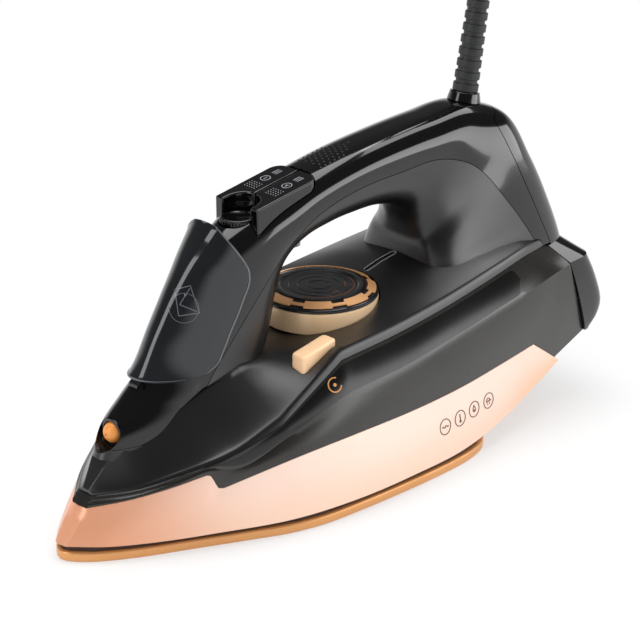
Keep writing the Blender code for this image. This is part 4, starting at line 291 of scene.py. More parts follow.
# High gloss ABS of the covers and buttons, a deep black that mirrors sharply
GLOSS_ABS = Finish("gloss_black_abs", "#050506", "#08080A", 0.09, grain_mm=9.0, grain=0.004,
                   spread=0.02, coat=0.3, coat_roughness=0.03)
# Satin ABS of the housing, a black with wide soft lights
SATIN_ABS = Finish("satin_black_abs", "#0C0C0E", "#111113", 0.32, grain_mm=0.35, grain=0.003,
                   spread=0.03, coat=0.5, coat_roughness=0.34)
# Smoked polycarbonate of the tank, a brownish black with blurred lights
SMOKED_TANK = Finish("smoked_polycarbonate", "#1C1B19", "#23211E", 0.27, grain_mm=12.0, spread=0.03,
                     coat=0.3, coat_roughness=0.2)
# The same polycarbonate polished for the fill door, cooler and as clear as glass in its lights
SMOKED_DOOR = Finish("smoked_door_polycarbonate", "#0F1113", "#1C1F22", 0.09, grain_mm=10.0,
                     spread=0.02, coat=0.5, coat_roughness=0.04)
# Deeper smoke of the tank's window, which looks like the dark water space behind it
WINDOW_BLACK = Finish("tank_window_smoke", "#060505", "#0D0B09", 0.24, grain_mm=10.0, grain=0.001,
                      spread=0.02)
# Pale grey band round the door's edge, a painted highlight of the light through its clear edge; the
# fill picture wears the same grey
DOOR_HIGHLIGHT_AND_PICTURE = Finish("door_edge_highlight_and_picture", "#54595E", "#62676C", 0.14, grain_mm=4.0, coat=0.4)
# Grip dots moulded in the cover, a paler grey than the cover as a painted highlight on each dot
GRIP_DOT_HIGHLIGHT = Finish("grip_dots_painted_highlight", "#2E3033", "#37393D", 0.3, grain_mm=0.3)
# Rose gold lacquer of the skirt, satin and metallic, with painted shade and reflection that darken
# and redden it low down and towards its ends
ROSE_LACQUER = PaintedShadeLacquer("rose_gold_lacquer", "#FBDFD2", "#F8D6C4", 0.34, metallic=0.25,
                             grain_mm=0.18, spread=0.03, coat=0.25, coat_roughness=0.2)
# Copper of the dial's pads, warmer and duller than its ring
PAD_COPPER = Finish("copper_pads", "#E0A873", "#D89D67", 0.36, metallic=0.3, grain_mm=0.2,
                    spread=0.03)
# Copper of the dial's ring, turned, so that its light runs up and down in a band
COPPER_TRIM = DrawnMetal("copper_trim", "#FFDDB2", "#F6CFA1", 0.36, metallic=0.25, grain=0.0015,
                         spread=0.03, coat=0.15)
# Pale copper lacquer of the deck's button, even and soft
BUTTON_LACQUER = Finish("button_lacquer", "#FFD9B0", "#F8C795", 0.36, metallic=0.05, grain_mm=0.2,
                        spread=0.03, coat=0.2, coat_roughness=0.2)
# Amber plastic of the nozzle, whose rounded face holds one warm light
ORANGE_TRIM = Finish("amber_nozzle_plastic", "#DE8636", "#EC9F4C", 0.36, metallic=0.05,
                     grain_mm=0.3, spread=0.03, coat=0.2, coat_roughness=0.1)
# Ceramic-coated aluminium of the soleplate, a bronze edge under the skirt
CERAMIC_SOLE = Finish("ceramic_coated_aluminium", "#E3A66C", "#DB9C60", 0.34, metallic=0.5,
                      grain_mm=0.25, grain=0.003, spread=0.05)
# Heat-proof plastic of the shield, a dull brown line between sole and skirt
HEAT_SHIELD = Finish("brown_heat_shield_plastic", "#2A140A", "#341A0D", 0.55, grain_mm=0.5,
                     grain=0.006)
# Cast aluminium of the heating body, grey with a coarse skin
CAST_ALUMINIUM = Finish("cast_aluminium", "#A9A9A6", "#989894", 0.5, metallic=1.0, grain_mm=0.9,
                        grain=0.05, spread=0.1)
# Drawn steel of pins, springs, rods and screws, bright with lengthwise lines
STEEL = DrawnMetal("bright_steel", "#B9BABC", "#A9AAAD", 0.24, metallic=1.0, grain=0.003)
# Rubber of the guard and the plug, a matt black that shows its ribs
SOFT_RUBBER = Finish("soft_black_rubber", "#1C1D1F", "#222325", 0.5, grain_mm=0.3, grain=0.010,
                     spread=0.06)
# Vinyl sheath of the lead, black with a slight shine
CORD_SHEATH = Finish("cord_sheath_pvc", "#161617", "#1B1B1D", 0.42, grain_mm=0.5, grain=0.01,
                     spread=0.06)
# Glazed ceramic of the thermostat and the terminals, cream with a wet light
GLAZED = Finish("glazed_ceramic", "#D8D2C2", "#CEC7B4", 0.3, grain_mm=1.5, grain=0.01)
# Undyed plastic of pumps and pipes, milky
NATURAL_ABS = Finish("natural_plastic", "#CFCFCA", "#C6C6C0", 0.4, grain_mm=0.8, grain=0.006)
# Clear plastic of the lamp's lens, which lets light in
LENS_CLEAR = Finish("clear_lens_plastic", "#B9BEC2", "#B9BEC2", 0.06, grain_mm=4.0, grain=0.003,
                    transmission=0.6, coat=0.3)
# ABS of the dial's rim and of its disc, the disc darker and duller
RIM_BLACK = Finish("dial_rim_abs", "#17181B", "#1D1E21", 0.2, coat=0.3, coat_roughness=0.08)
DISC_BLACK = Finish("dial_disc_abs", "#0E0E10", "#131315", 0.3, grain_mm=0.4)
# Pad-printed inks, flat and dull on their glossy grounds
SKIRT_PRINT = Finish("dark_pad_print", "#5E4030", "#523627", 0.5, grain_mm=0.2)
BROWN_PRINT = Finish("brown_pad_print", "#8A5A3C", "#7E5034", 0.5, grain_mm=0.2)
COPPER_PRINT = Finish("copper_pad_print", "#D89A5E", "#CF9156", 0.4, metallic=0.3, grain_mm=0.2)
GREY_PRINT = Finish("grey_pad_print", "#9A9CA0", "#8E9094", 0.45, grain_mm=0.2)

# CAD nodes that wear each finish
WORN_BY = {
    CERAMIC_SOLE: "soleplate", HEAT_SHIELD: "heat_shield", CAST_ALUMINIUM: "heating_body",
    STEEL: "heating_element steam_chamber_cover rear_screw door_hinge_pin spray_spring "
           "steam_spring valve_rod dial_shaft plug_pin_1 plug_pin_2",
    GLAZED: "thermostat thermal_fuse terminal_block", ROSE_LACQUER: "skirt",
    SMOKED_TANK: "water_tank", SATIN_ABS: "tank_floor housing", SMOKED_DOOR: "fill_door",
    GLOSS_ABS: "handle_cover rear_cover spray_button steam_button steam_knob nozzle_bezel "
               "cord_collar",
    NATURAL_ABS: "fill_funnel pump_bracket spray_pump steam_pump spray_piston steam_piston "
                 "drip_valve spray_hose cord_clamp",
    ORANGE_TRIM: "spray_nozzle", COPPER_TRIM: "dial_ring", RIM_BLACK: "dial_rim",
    DISC_BLACK: "dial_disc", PAD_COPPER: "dial_pads", BUTTON_LACQUER: "self_clean_button",
    LENS_CLEAR: "pilot_lens", SOFT_RUBBER: "cord_guard plug_body",
}
NODE_FINISHES = {node: finish for finish, nodes in WORN_BY.items() for node in nodes.split()}


# Surfaces

class Cut(Enum):
    """What a cutter does to a piece."""
    TAKE_AWAY = "DIFFERENCE"
    JOIN = "UNION"
    KEEP_COMMON = "INTERSECT"


def hermite(rows: Array, samples: int, breaks: Sequence[int] = (),
            knots: Optional[Array] = None) -> Array:
    """Smooth curve through rows of values.

    Between two rows the curve is the cubic whose end slopes are the means of the slopes on both
    sides, weighted by the other side's length. At a break the slopes are one-sided.

    Args:
        rows: Values, one row for each knot.
        samples: Steps between two rows.
        breaks: Rows at which the curve has a corner.
        knots: Place of each row along the curve, or None for the distance in the first two columns.

    Returns:
        Values at all the samples.
    """
    rows = np.asarray(rows, dtype=float)
    if knots is None:
        steps = np.linalg.norm(np.diff(rows[:, :2], axis=0), axis=1)
        knots = np.concatenate([[0.0], np.cumsum(np.maximum(steps, 1e-9))])
    edges = [0, *breaks, len(rows) - 1]
    pieces = [_hermite_piece(rows[a:b + 1], knots[a:b + 1], samples)
              for a, b in zip(edges[:-1], edges[1:]) if b > a]
    return np.concatenate([pieces[0]] + [piece[1:] for piece in pieces[1:]])


def _hermite_piece(rows: Array, knots: Array, samples: int) -> Array:
    """One stretch of the curve without corners.

    Args:
        rows: Values of the stretch.
        knots: Place of each row.
        samples: Steps between two rows.

    Returns:
        Values at the samples.
    """
    shares = np.linspace(0.0, 1.0, samples + 1)
    if len(rows) == 2:
        return rows[0] + (rows[1] - rows[0]) * shares[:, None]
    lengths = np.diff(knots)
    slopes = np.diff(rows, axis=0) / lengths[:, None]
    inner = slopes[1:] * lengths[:-1, None] + slopes[:-1] * lengths[1:, None]
    inner = inner / (lengths[1:] + lengths[:-1])[:, None]
    tangents = np.concatenate([slopes[:1], inner, slopes[-1:]])
    t = shares[:-1][None, :, None]
    span = lengths[:, None, None]
    body = (rows[:-1, None] * (2 * t ** 3 - 3 * t ** 2 + 1)
            + tangents[:-1, None] * (t ** 3 - 2 * t ** 2 + t) * span
            + rows[1:, None] * (3 * t ** 2 - 2 * t ** 3)
            + tangents[1:, None] * (t ** 3 - t ** 2) * span)
    return np.concatenate([body.reshape(-1, rows.shape[1]), rows[-1:]])


def unit(rows: Array) -> Array:
    """Rows brought to length one."""
    return rows / np.linalg.norm(rows, axis=-1, keepdims=True)


def half_turn(steps: int) -> Array:
    """Angles from -90 to 90 degrees."""
    return np.linspace(-math.pi / 2, math.pi / 2, steps)


def full_turn(steps: int) -> Array:
    """Angles of a full turn, without its end."""
    return np.linspace(0.0, 2 * math.pi, steps, endpoint=False)


def signed_power(values: Array, power: Array) -> Array:
    """Values raised to a power, each with its own sign."""
    return np.sign(values) * np.abs(values) ** power


def arc(x: float, y: float, radius: float, start: float = 0.0, end: float = 360.0,
        steps: int = 36) -> Array:
    """Points of an arc between two angles in degrees, a full circle without its end."""
    turn = np.radians(np.linspace(start, end, steps + 1))[:steps + (end - start < 360.0)]
    return np.stack([x + radius * np.cos(turn), y + radius * np.sin(turn)], axis=1)


def capsule(start: float, end: float, radius: float) -> Array:
    """Outline of a bar with round ends on the first axis."""
    return np.concatenate([arc(end, 0.0, radius, -90.0, 90.0, 12),
                           arc(start, 0.0, radius, 90.0, 270.0, 12)])


def rounded(corners: Sequence[Point]) -> Array:
    """Profile whose corners are rounded by quadratic curves.

    Args:
        corners: Rows of both places and of the distance at which the rounding starts.

    Returns:
        Points of the profile.
    """
    rows = np.asarray(corners, dtype=float)
    made = [rows[:1, :2]]
    t = np.linspace(0.0, 1.0, 6)[:, None]
    for before, here, after in zip(rows[:-2, :2], rows[1:-1], rows[2:, :2]):
        corner, size = here[:2], here[2]
        a = corner + unit(before - corner) * size
        c = corner + unit(after - corner) * size
        bend = (1 - t) ** 2 * a + 2 * t * (1 - t) * corner + t ** 2 * c
        made.append(bend if size > 0.0 else corner[None])
    return np.concatenate([*made, rows[-1:, :2]])


def put_mesh(name: str, points: Array, faces: Sequence[Sequence[int]]) -> Piece:
    """Put points and faces into a new object, its faces turned outwards.

    Args:
        name: Name of the piece.
        points: Corners, one row each.
        faces: Corner numbers of each face.

    Returns:
        The new object, linked to the scene.
    """
    mesh = bpy.data.meshes.new(name)
    mesh.from_pydata(points.tolist(), [], faces)
    work = bmesh.new()
    work.from_mesh(mesh)
    bmesh.ops.recalc_face_normals(work, faces=work.faces)
    work.to_mesh(mesh)
    work.free()
    item = bpy.data.objects.new(name, mesh)
    bpy.context.scene.collection.objects.link(item)
    return item


def quads(rows: int, columns: int, start: int = 0, round_rows: bool = False,
          round_columns: bool = False) -> list[list[int]]:
    """Faces of a grid of points.

    Args:
        rows: Points one way.
        columns: Points the other way.
        start: Number of the first point.
        round_rows: True where the last row joins the first.
        round_columns: True where the last column joins the first.

    Returns:
        Four corner numbers for each face.
    """
    i, j = np.meshgrid(np.arange(rows - (not round_rows)), np.arange(columns - (not round_columns)),
                       indexing="ij")
    k, m = (i + 1) % rows, (j + 1) % columns
    faces = np.stack([i * columns + j, i * columns + m, k * columns + m, k * columns + j], axis=-1)
    return (faces.reshape(-1, 4) + start).tolist()


def border(grid: Array) -> Array:
    """Values of a grid all along its border."""
    return np.concatenate([grid[0], grid[1:, -1], grid[-1, -2::-1], grid[-2:0:-1, 0]])


def closed_wall(name: str, outer: Array, inner: Array) -> Piece:
    """Closed wall between two grids of the same shape, joined all along their borders.

    Args:
        name: Name of the piece.
        outer: Grid of points on one side.
        inner: Grid of points on the other side.

    Returns:
        The wall.
    """
    rows, columns = outer.shape[:2]
    count = rows * columns
    edge = border(np.arange(count).reshape(rows, columns))
    ahead = np.roll(edge, -1)
    rim = np.stack([edge, edge + count, ahead + count, ahead], axis=1).tolist()
    faces = quads(rows, columns) + quads(rows, columns, count) + rim
    return put_mesh(name, np.concatenate([outer.reshape(-1, 3), inner.reshape(-1, 3)]), faces)


def ring_loft(name: str, rings: Array) -> Piece:
    """Closed solid through closed rings of points, with flat ends.

    Args:
        name: Name of the piece.
        rings: Points, ring by ring.

    Returns:
        The solid.
    """
    rows, columns = rings.shape[:2]
    faces = quads(rows, columns, round_columns=True)
    faces += [list(range(columns)), list(range((rows - 1) * columns, rows * columns))]
    return put_mesh(name, rings.reshape(-1, 3), faces)


def turned(name: str, profile: Sequence[Row], centre: Row, axis: Row = UP,
           steps: int = 96) -> Piece:
    """Turned solid whose profile starts and ends on the axis, or closes on itself.

    A point is centre + axis * height + radius * (side * cos(turn) + other * sin(turn)), where
    side and other stand square to the axis.

    Args:
        name: Name of the piece.
        profile: Rows of radius and height.
        centre: Place of height zero.
        axis: Direction of the axis.
        steps: Steps of a full turn.

    Returns:
        The solid.
    """
    rows = np.asarray(profile, dtype=float)
    axis = unit(np.asarray(axis, dtype=float))
    side = unit(np.cross(axis, ACROSS if abs(axis[1]) < 0.9 else BACKWARD))
    turn = full_turn(steps)[:, None, None]
    around = side * np.cos(turn) + np.cross(axis, side) * np.sin(turn)
    grid = np.asarray(centre) + axis * rows[None, :, 1:2] + around * rows[None, :, 0:1]
    hollow = bool(np.min(rows[:, 0]) > 0.0)
    return weld(put_mesh(name, grid.reshape(-1, 3),
                         quads(steps, len(rows), round_rows=True, round_columns=hollow)))


def bore(name: str, place: Row, axis: Row, radius: float, low: float, high: float,
         steps: int = 64) -> Piece:
    """Round bar along an axis, between two distances from a place."""
    profile = ((0.0, low), (radius, low), (radius, high), (0.0, high))
    return turned(name, profile, place, axis, steps)


def prism(name: str, outline: Array, reach: float = BODY_HALF_WIDTH * 1.6) -> Piece:
    """Solid of an outline in x and z, run across the body from -reach to +reach."""
    return ring_loft(name, np.array([np.insert(outline, 1, y, axis=1) for y in (-reach, reach)]))


def column(name: str, outline: Array, low: float, high: float) -> Piece:
    """Solid of an outline in x and y, from one height to another."""
    return ring_loft(name, np.array([np.insert(outline, 2, z, axis=1) for z in (low, high)]))


def box(name: str, low: Row, high: Row) -> Piece:
    """Square block between two corners."""
    outline = np.array([low[:2], (high[0], low[1]), high[:2], (low[0], high[1])])
    return column(name, outline, low[2], high[2])


def weld(item: Piece, distance: float = 1e-6) -> Piece:
    """Merge doubled corners, drop faces without area and turn the faces outwards.

    Args:
        item: The piece.
        distance: Distance up to which corners count as one.

    Returns:
        The piece.
    """
    work = bmesh.new()
    work.from_mesh(item.data)
    bmesh.ops.remove_doubles(work, verts=work.verts, dist=distance)
    bmesh.ops.dissolve_degenerate(work, edges=work.edges, dist=distance)
    bmesh.ops.recalc_face_normals(work, faces=work.faces)
    work.to_mesh(item.data)
    work.free()
    return item


def cut(item: Piece, tool: Piece, kind: Cut) -> Piece:
    """Cut, join or trim a piece with a tool at once, and keep the tool for other cuts.

    Args:
        item: The piece.
        tool: The solid that cuts it.
        kind: What the tool does.

    Returns:
        The piece.
    """
    step = item.modifiers.new(tool.name, "BOOLEAN")
    step.operation = kind.value
    step.solver = "MANIFOLD"
    step.object = tool
    graph = bpy.context.evaluated_depsgraph_get()
    graph.update()
    mesh = bpy.data.meshes.new_from_object(item.evaluated_get(graph))
    item.modifiers.clear()
    item.data = mesh
    return item


def use(item: Piece, kind: Cut, *tools: Piece) -> Piece:
    """Cut a piece with tools one after the other, and remove the tools.

    Args:
        item: The piece.
        kind: What the tools do.
        *tools: Solids that aren't needed again.

    Returns:
        The piece.
    """
    for tool in tools:
        cut(item, tool, kind)
        drop(tool)
    return item


def drop(tool: Piece) -> None:
    """Remove a cutter that is no longer needed."""
    bpy.data.objects.remove(tool, do_unlink=True)


def bevel(item: Piece, width: float, segments: int, degrees: float) -> Piece:
    """Round the edges of a piece.

    Args:
        item: The piece.
        width: Width of the rounding.
        segments: Steps of the rounding.
        degrees: Angle from which an edge is rounded.

    Returns:
        The piece.
    """
    edges = item.modifiers.new("edges", "BEVEL")
    edges.width, edges.segments, edges.limit_method = width, segments, "ANGLE"
    edges.angle_limit = math.radians(degrees)
    return item


def shade(item: Piece, degrees: float = 32.0) -> Piece:
    """Shade smooth, with edges sharper than the angle kept.

    Args:
        item: The piece.
        degrees: The angle.

    Returns:
        The piece.
    """
    item.data.shade_smooth()
    item.data.set_sharp_from_angle(angle=math.radians(degrees))
    return item


# Lines of the iron

LINE_STEPS = 8
ARCH_STEPS = 12
ARCH_POINTS = 61
SKIRT_FOOT_SHARES = (
    (0.0016, 0.062, 0.0487), (0.040, 0.265, 0.0487), (0.093, 0.448, 0.0487),
    (0.143, 0.584, 0.0487), (0.173, 0.655, 0.0487), (0.287, 0.903, 0.0487),
    (0.400, 0.996, 0.0487), (0.517, 1.0, 0.0487), (0.633, 0.950, 0.0487),
    (0.727, 0.876, 0.072), (0.817, 0.802, 0.120), (0.883, 0.749, 0.163),
)
SKIRT_TOP_SHARES = (
    (0.037, 0.081, 0.145), (0.082, 0.294, 0.168), (0.132, 0.460, 0.193),
    (0.177, 0.584, 0.218), (0.198, 0.648, 0.173), (0.307, 0.850, 0.224),
    (0.413, 0.926, 0.240), (0.517, 0.929, 0.240), (0.627, 0.903, 0.244),
    (0.720, 0.855, 0.253), (0.813, 0.796, 0.263), (0.873, 0.754, 0.180),
)
TANK_CREASE_SHARES = (
    (0.043, 0.081, 0.162), (0.090, 0.301, 0.181), (0.140, 0.467, 0.210),
    (0.183, 0.598, 0.237), (0.213, 0.664, 0.223), (0.300, 0.782, 0.283),
    (0.403, 0.855, 0.351), (0.517, 0.885, 0.376), (0.627, 0.864, 0.404),
    (0.733, 0.827, 0.432), (0.833, 0.779, 0.455), (0.867, 0.761, 0.465),
    (0.903, 0.747, 0.474),
)
TANK_TOP_SHARES = (
    (0.049, 0.078, 0.177), (0.097, 0.304, 0.195), (0.147, 0.474, 0.225),
    (0.188, 0.612, 0.253), (0.223, 0.673, 0.271), (0.293, 0.749, 0.320),
    (0.410, 0.743, 0.447), (0.517, 0.752, 0.464), (0.627, 0.735, 0.487),
    (0.740, 0.683, 0.513), (0.833, 0.611, 0.530), (0.865, 0.566, 0.526),
    (0.898, 0.504, 0.520),
)
TANK_TAIL_SHARE = (0.947, 0.713, 0.224)
DECK_MIDDLE_SHARES = (
    0.187, 0.317, 0.347, 0.380, 0.413, 0.455, 0.452, 0.501, 0.557, 0.592, 0.590, 0.575, 0.545)
DECK_RIM_SHARES = (0.15, 0.2, 0.24, 0.28, 0.36, 0.7, 1.0, 1.0, 1.0, 1.0, 0.9, 0.75, 0.5)
DECK_HILL_SHARES = (1.0, 1.0, 1.0, 1.0, 1.0, 0.8, 0.15, 0.0, 0.0, 0.0, 0.0, 0.0, 0.0)
DECK_RIM = 0.0045
ARCH_SHARES = (
    (0.070, 0.267, 0.267, 0.227, 0.88, 0.60, 0.95), (0.087, 0.340, 0.290, 0.293, 1.02, 0.66, 0.95),
    (0.120, 0.407, 0.325, 0.373, 1.03, 0.72, 0.98), (0.149, 0.461, 0.362, 0.440, 1.01, 0.74, 1.00),
    (0.187, 0.584, 0.383, 0.533, 0.98, 0.74, 1.00), (0.218, 0.675, 0.393, 0.620, 0.97, 0.73, 1.00),
    (0.251, 0.746, 0.403, 0.680, 0.98, 0.70, 0.95), (0.296, 0.808, 0.423, 0.722, 1.00, 0.62, 0.88),
    (0.350, 0.863, 0.451, 0.747, 1.02, 0.55, 0.82), (0.420, 0.910, 0.491, 0.758, 0.99, 0.50, 0.78),
    (0.517, 0.950, 0.534, 0.763, 0.97, 0.48, 0.75), (0.623, 0.975, 0.592, 0.760, 0.97, 0.50, 0.74),
    (0.713, 0.987, 0.640, 0.733, 1.00, 0.50, 0.72), (0.793, 0.989, 0.658, 0.687, 1.06, 0.55, 0.64),
    (0.860, 0.940, 0.665, 0.633, 1.24, 0.58, 0.48), (0.900, 0.800, 0.664, 0.600, 1.50, 0.60, 0.40),
    (0.933, 0.653, 0.662, 0.560, 1.72, 0.60, 0.38), (0.957, 0.520, 0.659, 0.507, 1.90, 0.60, 0.38),
    (0.967, 0.440, 0.657, 0.440, 1.96, 0.60, 0.38),
)
PARTING_SHARES = (
    (0.060, 0.290), (0.110, 0.300), (0.182, 0.311), (0.239, 0.435), (0.287, 0.539),
    (0.351, 0.675), (0.393, 0.757), (0.429, 0.804), (0.469, 0.833), (0.546, 0.861),
    (0.620, 0.868), (0.698, 0.871), (0.762, 0.827), (0.820, 0.690), (0.877, 0.513),
    (0.890, 0.460),
)
REAR_SEAM_SHARES = (
    (0.907, 0.460), (0.905, 0.513), (0.823, 0.907), (0.818, 0.940), (0.843, 0.970),
    (0.847, 1.100),
)
HEEL_SHARES = (
    (0.523, 0.950, 0.523, 0.470, 0.50), (0.478, 0.962, 0.485, 0.745, 0.35),
    (0.411, 0.983, 0.405, 0.760, 0.35), (0.325, 1.000, 0.315, 0.760, 0.35),
    (0.260, 0.993, 0.268, 0.750, 0.40), (0.226, 0.968, 0.232, 0.735, 0.50),
)
DOOR_SHARES = (
    (0.1580, 0.56, 0.0), (0.1640, 0.68, 0.0), (0.1730, 0.74, 0.0), (0.1920, 0.76, 0.0),
    (0.2220, 0.78, 0.0), (0.2670, 0.81, 0.04), (0.3110, 0.82, 0.20), (0.3300, 0.78, 0.34),
    (0.3480, 0.67, 0.52), (0.3620, 0.54, 0.70), (0.3740, 0.38, 0.90), (0.3820, 0.25, 1.04),
    (0.3860, 0.15, 1.10), (0.3872, 0.06, 1.12),
)
SOLE_OUTLINE_SHARES = (
    (0.0, 0.0), (0.004, 0.054), (0.034, 0.194), (0.097, 0.358), (0.222, 0.594),
    (0.312, 0.761), (0.407, 0.917), (0.464, 0.968), (0.563, 0.993), (0.681, 1.0),
    (0.781, 0.991), (0.862, 0.964), (0.916, 0.910), (0.953, 0.818), (0.980, 0.647),
    (0.996, 0.396), (1.0, 0.0),
)


def hull_line(shares: Sequence[Row], breaks: Sequence[int] = ()) -> Array:
    """Level line of the hull, as rows of x, half-width and z."""
    size = (BODY_LENGTH, BODY_HALF_WIDTH, BODY_HEIGHT)
    return hermite((np.asarray(shares) - (0.5, 0.0, 0.0)) * size, LINE_STEPS, breaks)


def side_line(shares: Sequence[Row], straight: bool = False) -> Array:
    """Line drawn in the side view, as rows of x and z."""
    rows = (np.asarray(shares) - (0.5, 0.0)) * (BODY_LENGTH, BODY_HEIGHT)
    return rows if straight else hermite(rows, LINE_STEPS)


def stepped(line: Array, first: int, last: int) -> Array:
    """Line whose drop between two rows is a short S curve, 3 t t - 2 t t t of the way t.

    In plan the middle of the drop takes half the way and starts a fifth along it.

    Args:
        line: Level line.
        first: Row where the drop starts.
        last: Row where it ends.

    Returns:
        The line with its drop.
    """
    start, span, plan_start, plan_span = 0.12, 0.76, 0.2, 0.5
    made = line.copy()
    part = slice(first * LINE_STEPS, last * LINE_STEPS + 1)
    top, foot = line[part][0], line[part][-1]
    share = np.linspace(0.0, 1.0, (last - first) * LINE_STEPS + 1)
    way = np.clip((share - start) / span, 0.0, 1.0) * plan_span + plan_start
    way[0], way[-1] = 0.0, 1.0
    made[part, :2] = top[:2] + (foot[:2] - top[:2]) * way[:, None]
    made[part, 2] = top[2] + (foot[2] - top[2]) * (share * share * (3 - 2 * share))
    return made


SKIRT_FOOT = hull_line(SKIRT_FOOT_SHARES)
SKIRT_TOP = stepped(hull_line(SKIRT_TOP_SHARES, (3, 4, 10)), 3, 4)
TANK_FOOT = np.concatenate([SKIRT_TOP, hull_line((SKIRT_TOP_SHARES[-1], TANK_TAIL_SHARE))[1:]])
TANK_CREASE = hull_line(TANK_CREASE_SHARES)
TANK_TOP = hull_line(TANK_TOP_SHARES, (5, 6))


def moved_path(path: Array, distance: float) -> Array:
    """Path moved to its right-hand side, its corners mitred.

    Args:
        path: Points of the path.
        distance: How far it is moved.

    Returns:
        Points of the moved path.
    """
    ahead = unit(np.diff(path, axis=0))
    normal = np.stack([ahead[:, 1], -ahead[:, 0]], axis=1)
    before = np.concatenate([normal[:1], normal])
    after = np.concatenate([normal, normal[-1:]])
    return path + (before + after) / (1.0 + np.sum(before * after, axis=1))[:, None] * distance


def round_nose(line: Array) -> Array:
    """Level line carried from the left rear round the nose to the right rear."""
    nose = line[:1] * (1.0, 0.0, 1.0) - (0.6 * MM, 0.0, 0.0)
    return np.concatenate([(line * (1.0, -1.0, 1.0))[::-1], nose, line])


def drawn_in(line: Array, wall: float) -> Array:
    """Line moved inwards in plan, square to itself.

    Args:
        line: Level line round the nose.
        wall: How far it is moved.

    Returns:
        The moved line.
    """
    ahead = np.gradient(line[:, :2], axis=0)
    normal = unit(np.stack([-ahead[:, 1], ahead[:, 0]], axis=1))
    inward = normal if normal[len(line) // 2, 0] >= 0 else -normal
    return line + np.insert(inward * wall, 2, 0.0, axis=1)


def hull_shell(name: str, levels: Sequence[Array], wall: float) -> Piece:
    """Closed wall round the nose through level lines."""
    outer = np.stack([round_nose(level) for level in levels])
    return closed_wall(name, outer, np.stack([drawn_in(row, wall) for row in outer]))


def between(low: Array, high: Array, share: float) -> Array:
    """Line part of the way between two lines, with the hull's light bulge in the middle."""
    bulge = HULL_BULGE * math.sin(share * math.pi)
    return low + (high - low) * share + (0.0, bulge, 0.0)


def arch_stations(inset: float = 0.0) -> tuple[Array, ...]:
    """Handle's sections, drawn in by an inset.

    Args:
        inset: How far the surface is drawn in.

    Returns:
        Outer and inner points, half-width, place of the widest and power.
    """
    size = (BODY_LENGTH, BODY_HEIGHT, BODY_LENGTH, BODY_HEIGHT, HANDLE_HALF_WIDTH, 1.0, 1.0)
    rows = (np.asarray(ARCH_SHARES) - (0.5, 0.0, 0.5, 0.0, 0.0, 0.0, 0.0)) * size
    line = hermite(rows, ARCH_STEPS)
    outer, inner = line[:, 0:2], line[:, 2:4]
    depth = unit(inner - outer)
    return (outer + depth * inset, inner - depth * inset, line[:, 4] - inset, line[:, 5],
            line[:, 6])


def arch_solid(name: str, inset: float = 0.0, reach: bool = False) -> Piece:
    """Solid of the whole handle arch.

    In a section the angle a runs from -90 to 90 degrees. The share of the depth is
    1 - |cos a| ** power times the widest place on the outer half, and its mirror on the inner
    half, and the side is the half-width times |sin a| ** power with the sign of sin a.

    Args:
        name: Name of the piece.
        inset: How far the surface is drawn in.
        reach: True to run both ends on by one step.

    Returns:
        The solid.
    """
    outer, inner, half, widest, power = arch_stations(inset)
    angle = half_turn(ARCH_POINTS)[None, :]
    widest, power = widest[:, None], power[:, None]
    along = 1.0 - np.abs(np.cos(angle)) ** power
    side = signed_power(np.sin(angle), power)
    back = (1.0 - along * (1.0 - widest))[:, 1:-1][:, ::-1]
    share = np.concatenate([along * widest, back], axis=1)
    sides = np.concatenate([side, side[:, 1:-1][:, ::-1]], axis=1) * half[:, None]
    place = outer[:, None, :] + (inner - outer)[:, None, :] * share[..., None]
    rings = np.stack([place[..., 0], sides, place[..., 1]], axis=-1)
    if reach:
        rings = np.concatenate([[2 * rings[0] - rings[1]], rings, [2 * rings[-1] - rings[-2]]])
    return ring_loft(name, rings)


def arch_at(shares: Array) -> list[Array]:
    """Handle's sections at some shares of its length.

    Args:
        shares: The shares.

    Returns:
        Outer and inner points, half-width, widest, power and outward normal.
    """
    outer, inner, *others = arch_stations()
    ahead = unit(np.gradient(outer, axis=0))
    normal = np.stack([-ahead[:, 1], ahead[:, 0]], axis=1)
    table = np.concatenate([outer, inner, np.stack(others, axis=1), normal], axis=1)
    places = np.linspace(0.0, 1.0, len(table))
    made = np.stack([np.interp(shares, places, column) for column in table.T], axis=-1)
    return [made[..., :2], made[..., 2:4], *np.moveaxis(made[..., 4:7], -1, 0), made[..., 7:]]


def station_values(shares: Row) -> Array:
    """Values given at the stations, spread evenly to the samples between them."""
    return np.interp(np.arange((len(shares) - 1) * LINE_STEPS + 1) / LINE_STEPS,
                     np.arange(len(shares)), shares)


def deck_heights(across: Array) -> Array:
    """Heights of the housing at shares across, one row for each sample along the body.

    The height is the edge, plus the rim times the sine of the lip's share, plus the rise to the
    middle times a crown, 1 - share squared, blended with the flank of a hill in front.

    Args:
        across: Shares of the half-width, from -1 to 1.

    Returns:
        Heights, one row for each sample along the body.
    """
    edge = TANK_TOP[:, 2][:, None]
    rim = DECK_RIM * station_values(DECK_RIM_SHARES)[:, None]
    middle = station_values(DECK_MIDDLE_SHARES)[:, None] * BODY_HEIGHT
    hill = station_values(DECK_HILL_SHARES)[:, None]
    inside, hill_foot, steepness = 0.955, 0.56, 1.25
    share = np.clip(np.abs(across) / inside, 0.0, 1.0)
    crown = 1.0 - share ** 2
    flank = np.clip((1.0 - share) / hill_foot, 0.0, 1.0) ** steepness
    lip = np.clip((1.0 - np.abs(across)) / (1.0 - inside), 0.0, 1.0)
    rise = (middle - edge - rim) * (crown * (1.0 - hill) + flank * hill)
    return edge + rim * np.sin(lip * math.pi / 2) + rise


